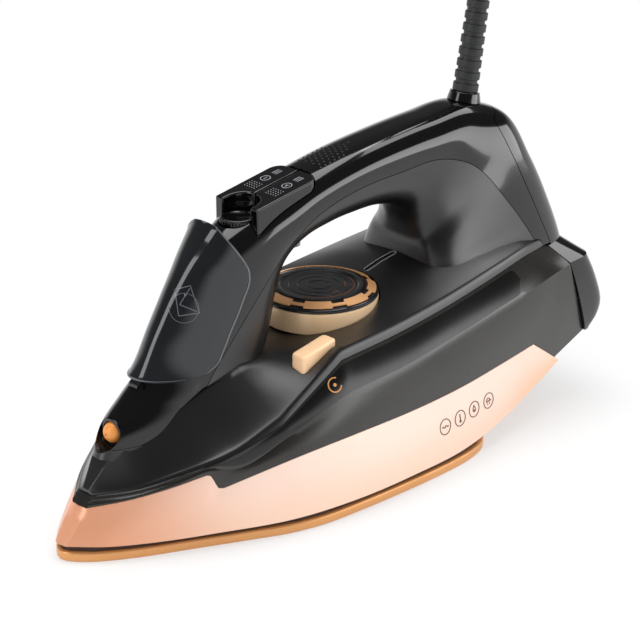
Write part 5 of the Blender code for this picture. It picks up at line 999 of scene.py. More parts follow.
def deck_grid(lift: float = 0.0, wall: float = 0.0, margin: float = 0.0) -> Array:
    """Grid of the housing's top, or with a wall of its underside.

    Args:
        lift: How far it is moved up.
        wall: Thickness down to the underside, or zero for the top.
        margin: Share of the half-width to which a level border reaches, or zero for none.

    Returns:
        Grid of points.
    """
    across = np.sin(half_turn(65))[None, :]
    x, half, edge = (TANK_TOP[:, i][:, None] for i in range(3))
    if wall:
        y = across * (half - wall)
        z = np.maximum(deck_heights(across * (half - wall) / half) - wall, edge + 0.1 * MM)
        z[:, 0], z[:, -1] = edge[:, 0], edge[:, 0]
    else:
        y, z = across * half, deck_heights(across)
    if margin:
        y = np.concatenate([-half * margin, y, half * margin], axis=1)
        z = np.concatenate([z[:, :1], z, z[:, -1:]], axis=1)
    return np.stack([np.broadcast_to(x, y.shape), y, z + lift], axis=-1)


def under_deck(name: str, lift: float) -> Piece:
    """Cutter that fills everything under the housing's top.

    Args:
        name: Name of the cutter.
        lift: How far its top is moved up.

    Returns:
        The cutter.
    """
    top = deck_grid(lift, margin=1.6)
    top = np.concatenate([[top[0] - (0.032, 0.0, 0.0)], top, [top[-1] + (0.032, 0.0, 0.0)]])
    bottom = top.copy()
    bottom[..., 2] = -0.004
    return closed_wall(name, top, bottom)


# Pieces and bodies

NODE_BODY = {node: body for body, nodes in frame["record"]["behaviour"]["bodies"].items()
             for node in nodes}


def settle(item: Piece, finish: Finish, node: str) -> Piece:
    """Dress a finished piece, let it ride on the body of a CAD node, and report it.

    Args:
        item: The piece.
        finish: Its one finish.
        node: CAD node whose body it shares.

    Returns:
        The piece.
    """
    item.data.materials.clear()
    item.data.materials.append(finish.build())
    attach(item, NODE_BODY[node])
    LOG.info("%s: %d faces, rides on %s", item.name, len(item.data.polygons), NODE_BODY[node])
    return item


def stand_for(item: Piece, node: str) -> Piece:
    """Let a piece stand for one CAD node, on its body and in its finish."""
    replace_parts(settle(item, NODE_FINISHES[node], node), node)
    return item


def smooth_copy(node: str, degrees: float = 38.0) -> Piece:
    """Welded and smooth-shaded copy of a CAD node, dressed in its finish.

    Args:
        node: The CAD node.
        degrees: Angle from which an edge stays sharp.

    Returns:
        The copy.
    """
    mesh = frame["nodes"][node].data.copy()
    item = bpy.data.objects.new(node + "_finished", mesh)
    bpy.context.scene.collection.objects.link(item)
    for name in [layer.name for layer in mesh.attributes if layer.name == "custom_normal"]:
        mesh.attributes.remove(mesh.attributes[name])
    return stand_for(shade(weld(item), degrees), node)


# Studio

@dataclass
class Studio:
    """Camera, floor, world and lamps.

    The camera's turn and rise are in degrees, its focal length is in millimetres on a sensor
    36 mm wide, and key, side, fill and low are the soft boxes' powers in watts.
    """
    turn: float = -44.0
    rise: float = 22.5
    place: Point = (-0.74204, -0.76903, 0.50794)
    focal: float = 146.25
    key: float = 7.0
    side: float = 3.0
    fill: float = 3.0
    low: float = 6.0
    ambient: float = 0.8
    reach: float = 6.0

    def build(self) -> None:
        """Make the camera first, then the floor, the world and the lamps."""
        self.camera()
        self.floor()
        self.world()
        self.lamps()
        bpy.context.scene.view_settings.view_transform = "Standard"

    def camera(self) -> None:
        """Camera at the photograph's viewing angle."""
        a, e = math.radians(self.turn), math.radians(self.rise)
        right = np.array([math.cos(a), math.sin(a), 0.0])
        back = np.array([math.sin(a) * math.cos(e), -math.cos(a) * math.cos(e), math.sin(e)])
        data = bpy.data.cameras.new("camera")
        data.lens, data.sensor_width, data.sensor_fit = self.focal, 36.0, "HORIZONTAL"
        data.clip_start, data.clip_end = 0.01, 50.0
        bpy.context.scene.camera = self.stand("camera", data, right, back, self.place)

    def stand(self, name: str, data: bpy.types.ID, right: Array, back: Array, place: Row) -> Piece:
        """Put a camera or lamp in the scene.

        Args:
            name: Its name.
            data: The camera or lamp.
            right: Direction of its right-hand side.
            back: Direction away from what it faces.
            place: Where it stands.

        Returns:
            The new object.
        """
        item = bpy.data.objects.new(name, data)
        table = np.eye(4)
        table[:3] = np.stack([right, np.cross(back, right), back, place], axis=1)
        item.matrix_world = Matrix(table.tolist())
        bpy.context.scene.collection.objects.link(item)
        return item

    def floor(self) -> None:
        """Pale floor that keeps the iron's soft shadow and turns white far away."""
        corners = np.array([(-1.0, -1.0, 0.0), (1.0, -1.0, 0.0), (1.0, 1.0, 0.0), (-1.0, 1.0, 0.0)])
        item = put_mesh("floor", corners * self.reach, [[0, 1, 2, 3]])
        made = bpy.data.materials.new("white_floor")
        made.use_nodes = True
        tree = made.node_tree
        shader = tree.nodes["Principled BSDF"]
        shader.inputs["Base Color"].default_value = colour("#EDEDED")
        shader.inputs["Roughness"].default_value = 0.35
        glow = add_node(tree, "ShaderNodeEmission", {
            "Color": (1.0, 1.0, 1.0, 1.0), "Strength": 1.0})
        place = add_node(tree, "ShaderNodeTexCoord").outputs["Object"]
        away = add_node(tree, "ShaderNodeVectorMath", {0: place}, operation="LENGTH")
        share = eased(tree, away.outputs["Value"], 0.17, 0.34, 0.55)
        path = add_node(tree, "ShaderNodeLightPath").outputs
        seen = reckon(tree, "MAXIMUM", path["Is Camera Ray"], path["Is Glossy Ray"])
        seen = reckon(tree, "MAXIMUM", seen, path["Is Transmission Ray"])
        mix = add_node(tree, "ShaderNodeMixShader", {
            0: reckon(tree, "MULTIPLY", share, seen), 1: shader.outputs["BSDF"],
            2: glow.outputs["Emission"]})
        tree.links.new(mix.outputs["Shader"], tree.nodes["Material Output"].inputs["Surface"])
        item.data.materials.append(made)

    def world(self) -> None:
        """White surroundings, darker overhead in reflections, as under a studio's dark roof."""
        made = bpy.data.worlds.new("studio")
        bpy.context.scene.world = made
        made.use_nodes = True
        tree = made.node_tree
        tree.nodes.clear()
        path = add_node(tree, "ShaderNodeLightPath").outputs
        way = add_node(tree, "ShaderNodeTexCoord").outputs["Generated"]
        height = add_node(tree, "ShaderNodeSeparateXYZ", {"Vector": way}).outputs["Z"]
        roof = eased(tree, height, 0.02, 0.35, 1.0, 0.10)
        glossy = add_node(tree, "ShaderNodeMix", {
            0: path["Is Glossy Ray"], 2: self.ambient, 3: roof})
        plain = reckon(tree, "MAXIMUM", path["Is Camera Ray"], path["Is Transmission Ray"])
        strength = add_node(tree, "ShaderNodeMix", {0: plain, 2: glossy.outputs[0], 3: 1.0})
        back = add_node(tree, "ShaderNodeBackground", {
            "Color": (1.0, 1.0, 1.0, 1.0), "Strength": strength.outputs[0]})
        add_node(tree, "ShaderNodeOutputWorld", {"Surface": back.outputs["Background"]})

    def lamps(self) -> None:
        """Soft boxes, given by place, height of the point they face, width, depth and power."""
        for name, place, aim, width, depth, power in (
                ("overhead_softbox", (0.10, 0.15, 1.10), 0.05, 0.9, 0.7, self.key),
                ("nose_softbox", (-1.05, 0.15, 0.55), 0.08, 0.35, 0.8, self.side),
                ("shoulder_softbox", (0.95, 0.0, 1.15), 0.08, 0.6, 0.5, self.fill),
                ("low_softbox", (0.90, -1.05, 0.30), 0.08, 1.3, 0.42, self.low)):
            data = bpy.data.lights.new(name, "AREA")
            data.shape, data.energy = "RECTANGLE", power
            data.size, data.size_y = width, depth
            back = unit(np.subtract(place, (0.0, 0.0, aim)))
            self.stand(name, data, unit(np.cross(UP, back)), back, place)


# Mains lead

@dataclass
class MainsLead:
    """Lead from the guard down to its coil on the surface, and on to the plug.

    The radius is that of the coil's outermost turn, the pitch the distance between turns, the
    turns are counted over all layers, and height is that of the lowest layer's middle line.
    """
    diameter: float = 0.0070
    centre: tuple[float, float] = (0.1800, 0.0920)
    radius: float = 0.0440
    pitch: float = 0.0076
    turns: float = 6.65
    layers: int = 4
    layer: float = 0.0076
    height: float = 0.0036
    exit: Point = (0.1031, 0.0000, 0.2093)
    lead: tuple[Point, ...] = (
        (0.1031, 0.0000, 0.2093), (0.1055, 0.0000, 0.2220), (0.1085, 0.0000, 0.2360),
        (0.1119, 0.0037, 0.2547), (0.1209, 0.0140, 0.2684), (0.1333, 0.0280, 0.2734),
        (0.1457, 0.0420, 0.2684), (0.1547, 0.0523, 0.2547), (0.1585, 0.0560, 0.2360),
        (0.1602, 0.0560, 0.2120), (0.1603, 0.0560, 0.1900), (0.1573, 0.0552, 0.1650),
        (0.1509, 0.0536, 0.1370), (0.1441, 0.0512, 0.1080), (0.1392, 0.0488, 0.0750),
        (0.1380, 0.0480, 0.0316), (0.1401, 0.0480, 0.0209), (0.1462, 0.0480, 0.0118),
        (0.1553, 0.0480, 0.0057), (0.1660, 0.0480, 0.0036), (0.1722, 0.0480, 0.0036))
    tail: tuple[Point, ...] = (
        (0.1400, 0.1118, 0.0264), (0.1359, 0.1062, 0.0260), (0.1297, 0.1000, 0.0243),
        (0.1219, 0.0960, 0.0216), (0.1132, 0.0946, 0.0196), (0.1060, 0.0946, 0.0184),
        (0.1003, 0.0946, 0.0182))

    def coil(self) -> Array:
        """Points of the coil, whose layers lie on each other and wind in and out by turns.

        After w turns, done is what is wound of the present layer, or what is left of it in
        every second layer. The radius is the outer one less the pitch times done, and at each
        change of layer the height rises by the layer times s * s * (3 - 2 s), where s runs from
        0 to 1 over half a turn.

        Returns:
            Points of the coil.
        """
        count = int(round(self.turns * 20))
        wound = np.arange(count + 1) / 20
        deep = self.turns / self.layers
        number = np.minimum((wound // deep).astype(int), self.layers - 1)
        done = wound - number * deep
        radius = self.radius - self.pitch * np.where(number % 2 == 1, deep - done, done)
        change = np.arange(1, self.layers)[:, None] * deep
        s = np.clip(2 * (wound[None, :] - change) + 0.5, 0.0, 1.0)
        rise = self.layer * np.sum(s * s * (3.0 - 2.0 * s), axis=0)
        turn = 2 * math.pi * wound - math.pi / 2
        return np.stack([self.centre[0] + radius * np.cos(turn),
                         self.centre[1] + radius * np.sin(turn), self.height + rise], axis=1)

    def build(self, extras: Sequence[Piece]) -> None:
        """Args:
            extras: Pieces that sit on the lead's far end, not used.
        """
        lead, tail = (hermite(np.array(rows), 4, knots=self.run(np.array(rows)))
                      for rows in (self.lead, self.tail))
        route = np.concatenate([lead, self.coil(), tail])
        keep = np.concatenate([[True], np.linalg.norm(np.diff(route, axis=0), axis=1) > 1e-4])
        route = route[keep]
        curve = bpy.data.curves.new("mains_lead", "CURVE")
        curve.dimensions = "3D"
        curve.bevel_depth = self.diameter / 2
        curve.bevel_resolution = 5
        curve.use_fill_caps = True
        spline = curve.splines.new("POLY")
        spline.points.add(len(route) - 1)
        spline.points.foreach_set("co", np.insert(route, 3, 1.0, axis=1).ravel())
        spline.use_smooth = True
        item = bpy.data.objects.new("mains_lead", curve)
        bpy.context.scene.collection.objects.link(item)
        length = float(self.run(route)[-1])
        item.data.materials.append(CORD_SHEATH.build())
        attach(item, "iron")
        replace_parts(item, "power_lead", "lead_coil", "lead_tail")
        LOG.info("mains_lead: %.3f m long", length)

    def run(self, rows: Array) -> Array:
        """Distance along a route at each of its points."""
        return np.concatenate([[0.0], np.cumsum(np.linalg.norm(np.diff(rows, axis=0), axis=1))])


# Hull and housing

@dataclass
class Base:
    """Soleplate, skirt and tank.

    The gap is the free one between tank and skirt. The window's rear end is a place along the
    iron, and print_high is how far the window stands out of the tank's face.
    """
    sole_length: float = 0.73667 * BODY_LENGTH
    sole_half: float = BODY_HALF_WIDTH - 0.0009
    sole_thick: float = 0.0045
    edge: float = 0.0010
    skirt_wall: float = 0.0022
    tank_wall: float = 0.0020
    gap: float = 0.0003
    window_rear: float = 0.0870
    print_high: float = 0.00018

    def build(self) -> None:
        """Build the outer pieces of the base."""
        self.sole()
        self.skirt()
        self.tank()

    def sole(self) -> None:
        """Soleplate with a rounded edge and the steam holes of the CAD node."""
        line = hermite(np.asarray(SOLE_OUTLINE_SHARES), 8)
        half = np.stack([-BODY_LENGTH / 2 + line[:, 0] * self.sole_length,
                         np.maximum(line[:, 1], 0.0) * self.sole_half], axis=1)
        outline = np.concatenate([half, (half[1:-1] * (1.0, -1.0))[::-1]])
        centre = np.array([outline[:, 0].mean(), 0.0])
        turn = np.linspace(0.0, math.pi / 2, 5)
        inset = np.concatenate([self.edge * (1 - np.sin(turn)), self.edge * (1 - np.cos(turn))])
        height = np.concatenate([self.edge * (1 - np.cos(turn)),
                                 self.sole_thick - self.edge * (1 - np.sin(turn))])
        ahead = np.roll(outline, -1, axis=0) - np.roll(outline, 1, axis=0)
        normal = unit(np.stack([ahead[:, 1], -ahead[:, 0]], axis=1))
        outward = np.sign(np.sum(normal * (outline - centre), axis=1)).mean()
        rings = outline[None] - normal[None] * outward * inset[:, None, None]
        rings = np.concatenate([rings, np.broadcast_to(height[:, None, None],
                                                       (*rings.shape[:2], 1))], axis=2)
        item = ring_loft("soleplate_coated", rings)
        use(item, Cut.TAKE_AWAY, *(column("hole", arc(x, y, 0.0021, steps=24), -0.002, 0.0032)
                                   for x, y in self.holes()))
        stand_for(shade(weld(item), 35.0), "soleplate")

    def holes(self) -> Array:
        """Places of the steam holes, along both sides and at the nose.

        Returns:
            Rows of x and y.
        """
        x = np.linspace(-0.4 * BODY_LENGTH, 0.15 * BODY_LENGTH, 8)
        line = hermite(np.asarray(SOLE_OUTLINE_SHARES), 8)
        half = np.interp((x + BODY_LENGTH / 2) / self.sole_length, line[:, 0], line[:, 1])
        y = half * self.sole_half * 0.72
        sides = np.concatenate([np.stack([x, y], axis=1), np.stack([x, -y], axis=1)])
        return np.concatenate([sides, [[-0.44333 * BODY_LENGTH, 0.0]]])

    def slab(self, line: Array, front: float, rear: float, wall: float) -> Piece:
        """Slab that closes the underside of a hull along its foot line.

        Args:
            line: Foot line of the hull.
            front: Where the slab starts.
            rear: Where it ends.
            wall: Thickness of the hull.

        Returns:
            The slab.
        """
        x = np.linspace(front, rear, 12)
        half = np.interp(x, line[:, 0], line[:, 1]) - wall + 0.001
        low = np.interp(x, line[:, 0], line[:, 2]) + 0.0002
        sides = ((-half, low), (half, low), (half, low + 0.002), (-half, low + 0.002))
        return ring_loft("slab", np.stack([np.stack([x, y, z], axis=1) for y, z in sides], axis=1))

    def skirt(self) -> None:
        """Rose gold skirt, slightly bulged between its foot and its top."""
        levels = [between(SKIRT_FOOT, SKIRT_TOP, v) for v in np.linspace(0.0, 1.0, 9)]
        item = hull_shell("skirt_lacquered", levels, self.skirt_wall)
        use(item, Cut.JOIN, self.slab(SKIRT_FOOT, 0.19 * BODY_LENGTH, SKIRT_FOOT[-1, 0] - 0.001,
                                      self.skirt_wall))
        stand_for(shade(weld(item), 30.0), "skirt")

    def tank(self) -> None:
        """Smoked tank with its crease and a light bulge on both sides of it."""
        foot = TANK_FOOT + (0.0, 0.0, self.gap)
        top = TANK_TOP - (0.0, 0.0, self.gap)
        steps = np.linspace(0.0, 1.0, 7)
        levels = [between(foot, TANK_CREASE, v) for v in steps]
        levels += [between(TANK_CREASE, top, v) for v in steps[1:]]
        item = hull_shell("water_tank_smoked", levels, self.tank_wall)
        use(item, Cut.JOIN, self.slab(foot, SKIRT_TOP[-1, 0] + 0.001, foot[-1, 0] - 0.001,
                                      self.tank_wall))
        stand_for(shade(weld(item), 24.0), "water_tank")
        for side in (-1.0, 1.0):
            self.window(side)

    def window(self, side: float) -> None:
        """Dark window on the tank's upper face, pointed in front and round at the rear.

        Its height is a share of the face's: the root of the way from the tip, times a quarter
        circle at the rear.

        Args:
            side: 1 for the left side, -1 for the right.
        """
        tip_length, rear_round, height, middle_share = 0.030, 0.005, 0.41, 0.49
        top = TANK_TOP - (0.0, 0.0, self.gap)
        middle = (TANK_CREASE[:, 0] + top[:, 0]) / 2
        x = np.linspace(middle[3 * LINE_STEPS], self.window_rear, 120)
        along = np.interp(x, middle, np.arange(len(middle), dtype=float))
        low, high = (np.stack([np.interp(along, np.arange(len(line)), column) for column in line.T],
                              axis=1) for line in (TANK_CREASE, top))
        front = np.sqrt(np.clip((x - x[0]) / tip_length, 0.0, 1.0))
        past = np.clip(x - x[-1] + rear_round, 0.0, None) / rear_round
        half = height * np.maximum(front * np.sqrt(np.clip(1.0 - past ** 2, 0.0, 1.0)), 0.02)
        v = middle_share + half[:, None] * np.linspace(-1.0, 1.0, 15)[None, :]
        grid = low[:, None, :] + (high - low)[:, None, :] * v[..., None]
        grid[..., 1] += HULL_BULGE * np.sin(v * math.pi)
        normal = unit(np.cross(np.gradient(grid, axis=0), np.gradient(grid, axis=1)))
        normal = normal * np.sign(normal[..., 1:2].mean())
        levels = [(grid + normal * rise) * (1.0, side, 1.0) for rise in (self.print_high, -0.0003)]
        item = closed_wall("tank_window_left" if side > 0 else "tank_window_right", *levels)
        settle(shade(item, 40.0), WINDOW_BLACK, "water_tank")


@dataclass
class Body:
    """Housing with its deck and handle frame, the handle's cover and the rear cover.

    Core is the thickness of the handle's shell. Parting, seat and seam are the gaps between
    cover and frame, cover and deck, and cover and rear cover. The boss is given by its front
    and rear end and its radius, the screw by the place x and z of its head.
    """
    wall: float = 0.0022
    core: float = 0.0020
    parting: float = 0.0003
    seat: float = 0.0004
    seam: float = 0.0004
    dial_pocket: float = 0.0272
    dial_floor: float = 0.0684
    boss: Point = (0.132, 0.145, 0.0058)
    screw: tuple[float, float] = (0.1399, 0.0560)
    lug_radius: float = 0.0019
    lug_depth: float = 0.003

    def build(self) -> None:
        """Build the housing, the handle's cover and the rear cover."""
        core = arch_solid("arch_core", self.core, True)
        parting = side_line(PARTING_SHARES)
        seam = side_line(REAR_SEAM_SHARES, True)
        self.housing(core, parting)
        self.cover(core, parting, seam)
        self.rear(core, seam)
        drop(core)

    def nozzle_bore(self, name: str) -> Piece:
        """Cutter for the nozzle's passage through the nose."""
        return bore(name, (-0.112, 0, 0.049), FORWARD, 0.0067, -0.004, 0.02)

    def housing(self, core: Piece, parting: Array) -> None:
        """Deck with the handle's frame, the dial's cup and all openings.

        Args:
            core: Hollow of the handle.
            parting: Line between the handle's cover and its frame.
        """
        item = closed_wall("housing_satin", deck_grid(), deck_grid(wall=self.wall))
        lower = moved_path(parting, self.parting)
        outline = np.concatenate([lower, [[lower[-1, 0], 0.0], [lower[0, 0], 0.0]]])
        frame_part = cut(arch_solid("handle_frame"), core, Cut.TAKE_AWAY)
        use(frame_part, Cut.KEEP_COMMON, prism("frame_region", outline))
        use(frame_part, Cut.TAKE_AWAY, under_deck("below_frame", -self.wall / 2))
        cup_floor, cup_height = (0, 0, self.dial_floor - 0.0022), 0.024
        cup = bore("cup", cup_floor, UP, self.dial_pocket + 0.002, 0.0, cup_height, 128)
        use(cup, Cut.KEEP_COMMON, under_deck("below_middle", -self.wall / 2))
        use(item, Cut.JOIN, frame_part, cup)
        groove = use(column("groove", capsule(0.03, 0.0465, 0.0011), 0.0687, 0.103),
                     Cut.TAKE_AWAY, under_deck("groove_floor", -0.0005))
        pocket_floor = (0, 0, self.dial_floor)
        use(item, Cut.TAKE_AWAY,
            bore("pocket", pocket_floor, UP, self.dial_pocket, 0.0, cup_height, 128),
            bore("shaft_hole", pocket_floor, UP, 0.0035, -0.012, 0.012),
            box("column_passage", (-0.37667 * BODY_LENGTH, -0.0095, 0.032),
                (-0.15333 * BODY_LENGTH, 0.0095, 0.103)),
            box("wire_passage", (0.22667 * BODY_LENGTH, -0.008, 0.0687),
                (0.26667 * BODY_LENGTH, 0.008, 0.103)),
            self.nozzle_bore("nose_bore"),
            column("button_slot", DeckButton().outline(CLEARANCE), 0.032, 0.0727),
            box("lens_slot", (-0.0219, -0.0044, 0.1049), (-0.0141, 0.0044, 0.1147)),
            column("button_well", Keys().opening(CLEARANCE), 0.1177, ABOVE_HANDLE), groove)
        stand_for(shade(weld(item), 30.0), "housing")

    def cover(self, core: Piece, parting: Array, seam: Array) -> None:
        """Gloss cover of the handle, with the openings for everything that passes through it.

        Args:
            core: Hollow of the handle.
            parting: Line between the cover and the handle's frame.
            seam: Line between the cover and the rear cover.
        """
        item = cut(arch_solid("handle_cover_gloss"), core, Cut.TAKE_AWAY)
        use(item, Cut.JOIN, self.lug(-1.0), self.lug(1.0))
        high, front = BODY_HEIGHT + 0.032, parting[0, 0] - 0.032
        outline = np.concatenate([parting, seam, [[seam[-1, 0], high], [front, high],
                                                  [front, parting[0, 1]]]])
        use(item, Cut.KEEP_COMMON, prism("cover_region", outline))
        door, guard = FillDoor(), CordGuard()
        x, z = door.hinge()
        use(item, Cut.TAKE_AWAY, under_deck("below_cover", self.seat),
            column("key_opening", Keys().opening(CLEARANCE), 0.118, ABOVE_HANDLE),
            column("knob_opening", arc(KNOB_X, 0.0, 0.0085, steps=96), 0.118, ABOVE_HANDLE),
            bore("port", *door.port(), 0.0069, -0.0065, 0.0065),
            bore("bead_pocket", (x, 0, z), ACROSS, 0.0031, -0.0029, 0.0029, 48),
            bore("pin_bore", (x, 0, z), ACROSS, door.pin, -0.005, 0.005, 24),
            self.nozzle_bore("cover_nose_bore"),
            bore("cord_hole", guard.base, guard.way(), guard.stem + CLEARANCE, -0.014, 0.014))
        stand_for(shade(weld(item), 30.0), "handle_cover")

    def lug(self, side: float) -> Piece:
        """Lug inside the cover that carries the door's pin.

        Args:
            side: 1 for the left side, -1 for the right.

        Returns:
            The lug.
        """
        x, z = FillDoor().hinge()
        normal = arch_at(np.array(FillDoor().hinge_share))[5]
        lean = math.degrees(math.atan2(-normal[1], -normal[0]))
        far_x, far_z = np.array([x, z]) - normal * self.lug_depth
        outline = np.concatenate([
            arc(far_x, far_z, self.lug_radius, lean - 90.0, lean + 90.0, 16),
            arc(x, z, self.lug_radius, lean + 90.0, lean + 270.0, 16)])
        ends = sorted((side * 0.0029, side * 0.0045))
        item = ring_loft("lug", np.array([np.insert(outline, 1, y, axis=1) for y in ends]))
        return use(item, Cut.KEEP_COMMON, arch_solid("lug_fit"))

    def heel(self, inset: float) -> Piece:
        """Heel from its shelf down, drawn in by an inset.

        In a ring the share to the rear is |cos a| ** squareness and the side is
        |sin a| ** squareness with the sign of sin a, for angles from -90 to 90 degrees.

        Args:
            inset: How far the surface is drawn in.

        Returns:
            The heel.
        """
        table = np.asarray(HEEL_SHARES, dtype=float)
        line = hermite(table, 6, (1,), np.arange(len(table), dtype=float))
        z = line[:, 0] * BODY_HEIGHT
        edge = np.interp(z, (TANK_FOOT[-1, 2], TANK_CREASE[-1, 2], TANK_TOP[-1, 2]),
                         (TANK_FOOT[-1, 0], TANK_CREASE[-1, 0], TANK_TOP[-1, 0]))
        front = edge + self.seam - (0.006 if inset else 0.0)
        rear = (line[:, 1] - 0.5) * BODY_LENGTH - inset
        angle = half_turn(49)[None, :]
        square = line[:, 4][:, None]
        share = np.abs(np.cos(angle)) ** square
        side = signed_power(np.sin(angle), square)
        sink = np.zeros_like(z)
        sink[0], sink[-1] = inset, -inset
        x = front[:, None] + (rear - front)[:, None] * share
        heights = z[:, None] + (line[:, 2] * BODY_HEIGHT - z)[:, None] * share - sink[:, None]
        y = side * (line[:, 3] * BODY_HALF_WIDTH - inset)[:, None]
        return ring_loft("heel", np.stack([x, y, heights], axis=-1))

    def rear(self, core: Piece, seam: Array) -> None:
        """Rear cover with the heel that the iron stands on, and the sunk screw in it.

        Args:
            core: Hollow of the handle.
            seam: Line between the handle's cover and the rear cover.
        """
        item = arch_solid("rear_cover_gloss")
        path = moved_path(seam, self.seam)
        outline = np.concatenate([path, [[BODY_LENGTH, path[-1, 1]], [BODY_LENGTH, 0.06],
                                         [path[0, 0], 0.06]]])
        use(item, Cut.KEEP_COMMON, prism("rear_region", outline))
        use(item, Cut.JOIN, self.heel(0.0))
        cut(item, core, Cut.TAKE_AWAY)
        use(item, Cut.TAKE_AWAY, self.heel(self.wall))
        x, z = self.screw
        start, end, radius = self.boss
        use(item, Cut.JOIN, bore("boss", (0, 0, z), BACKWARD, radius, start, end, 48))
        use(item, Cut.TAKE_AWAY,
            bore("screw_well", (0, 0, z), BACKWARD, 0.004, x - 0.0028, x + 0.03, 48),
            bore("screw_hole", (0, 0, z), BACKWARD, 0.0022, 0.116, 0.148, 32))
        stand_for(shade(weld(item), 30.0), "rear_cover")


@dataclass
class FillDoor:
    """Smoked fill door, hinged at its foot.

    Lift and flare are the height and the widening for a lift of one in the door's table. The
    shares are those of the handle's length at which the pin and the fill port lie.
    """
    offset: float = 0.0005
    thick: float = 0.0022
    lift: float = 0.0062
    flare: float = 0.0006
    hinge_share: float = 0.1560
    hinge_depth: float = -0.0020
    port_share: float = 0.3440
    bead: float = 0.0027
    pin: float = 0.00105
    # Width of the band of painted edge highlight
    edge_highlight_width: float = 0.0009

    def hinge(self) -> tuple[float, float]:
        """Place x and z of the hinge pin."""
        outer, *_, normal = arch_at(np.array(self.hinge_share))
        return tuple(map(float, outer + normal * self.hinge_depth))

    def port(self) -> tuple[Array, Array]:
        """Centre and direction of the fill port under the door."""
        outer, *_, normal = arch_at(np.array(self.port_share))
        return np.insert(outer, 1, 0.0), unit(np.insert(normal, 1, 0.0))

    def grid(self, offset: float) -> Array:
        """Grid of the door at an offset from the handle, from its foot to its lifted lip.

        A row is a stretch of the handle's own section, moved out along its normal by the offset
        and the lift, and widened by the flare.

        Args:
            offset: Distance from the handle.

        Returns:
            Grid of points.
        """
        table = np.asarray(DOOR_SHARES, dtype=float)
        rows = hermite(table, 8, knots=table[:, 0])
        outer, inner, half, widest, power, normal = arch_at(rows[:, 0])
        wrap, lift = rows[:, 1:2], rows[:, 2:3]
        angle = np.sin(half_turn(49))[None, :] * wrap * math.pi / 2
        along = (1.0 - np.abs(np.cos(angle)) ** power[:, None]) * widest[:, None]
        base = outer + normal * (offset + lift * self.lift)
        place = base[:, None, :] + (inner - outer)[:, None, :] * along[..., None]
        side = signed_power(np.sin(angle), power[:, None])
        y = side * (half[:, None] + offset + lift * self.flare)
        return np.stack([place[..., 0], y, place[..., 1]], axis=-1)

    def build(self) -> None:
        """Build the door with its bead, and its rim band of painted edge highlight."""
        item = closed_wall("fill_door_smoked", self.grid(self.offset + self.thick),
                           self.grid(self.offset))
        x, z = self.hinge()
        use(item, Cut.JOIN, bore("bead", (x, 0.0, z), ACROSS, self.bead, -0.0025, 0.0025, 48))
        use(item, Cut.TAKE_AWAY, bore("bead_bore", (x, 0.0, z), ACROSS, self.pin, -0.005, 0.005,
                                      48))
        stand_for(shade(weld(item), 34.0), "fill_door")
        # Pale grey rim band: a painted highlight along the door's edge
        settle(self.rim(), DOOR_HIGHLIGHT_AND_PICTURE, "fill_door")

    def rim(self) -> Piece:
        """Rim round the door, a closed band on its border that carries a painted highlight of its
        edge.

        Returns:
            The rim.
        """
        rings = []
        for height in (self.thick - 0.0002, self.thick + 0.00015):
            grid = self.grid(self.offset + height)
            edge = border(grid)
            inner = border(np.pad(grid[3:-2, 2:-2], ((3, 2), (2, 2), (0, 0)), mode="edge"))
            ahead = inner - edge
            ahead = ahead / np.maximum(np.linalg.norm(ahead, axis=1), 1e-9)[:, None]
            rings += [edge, edge + ahead * self.edge_highlight_width]
        table = np.stack([rings[0], rings[1], rings[3], rings[2]])
        return shade(put_mesh("fill_door_painted_highlight", table.reshape(-1, 3),
                              quads(4, table.shape[1], round_rows=True, round_columns=True)), 40.0)


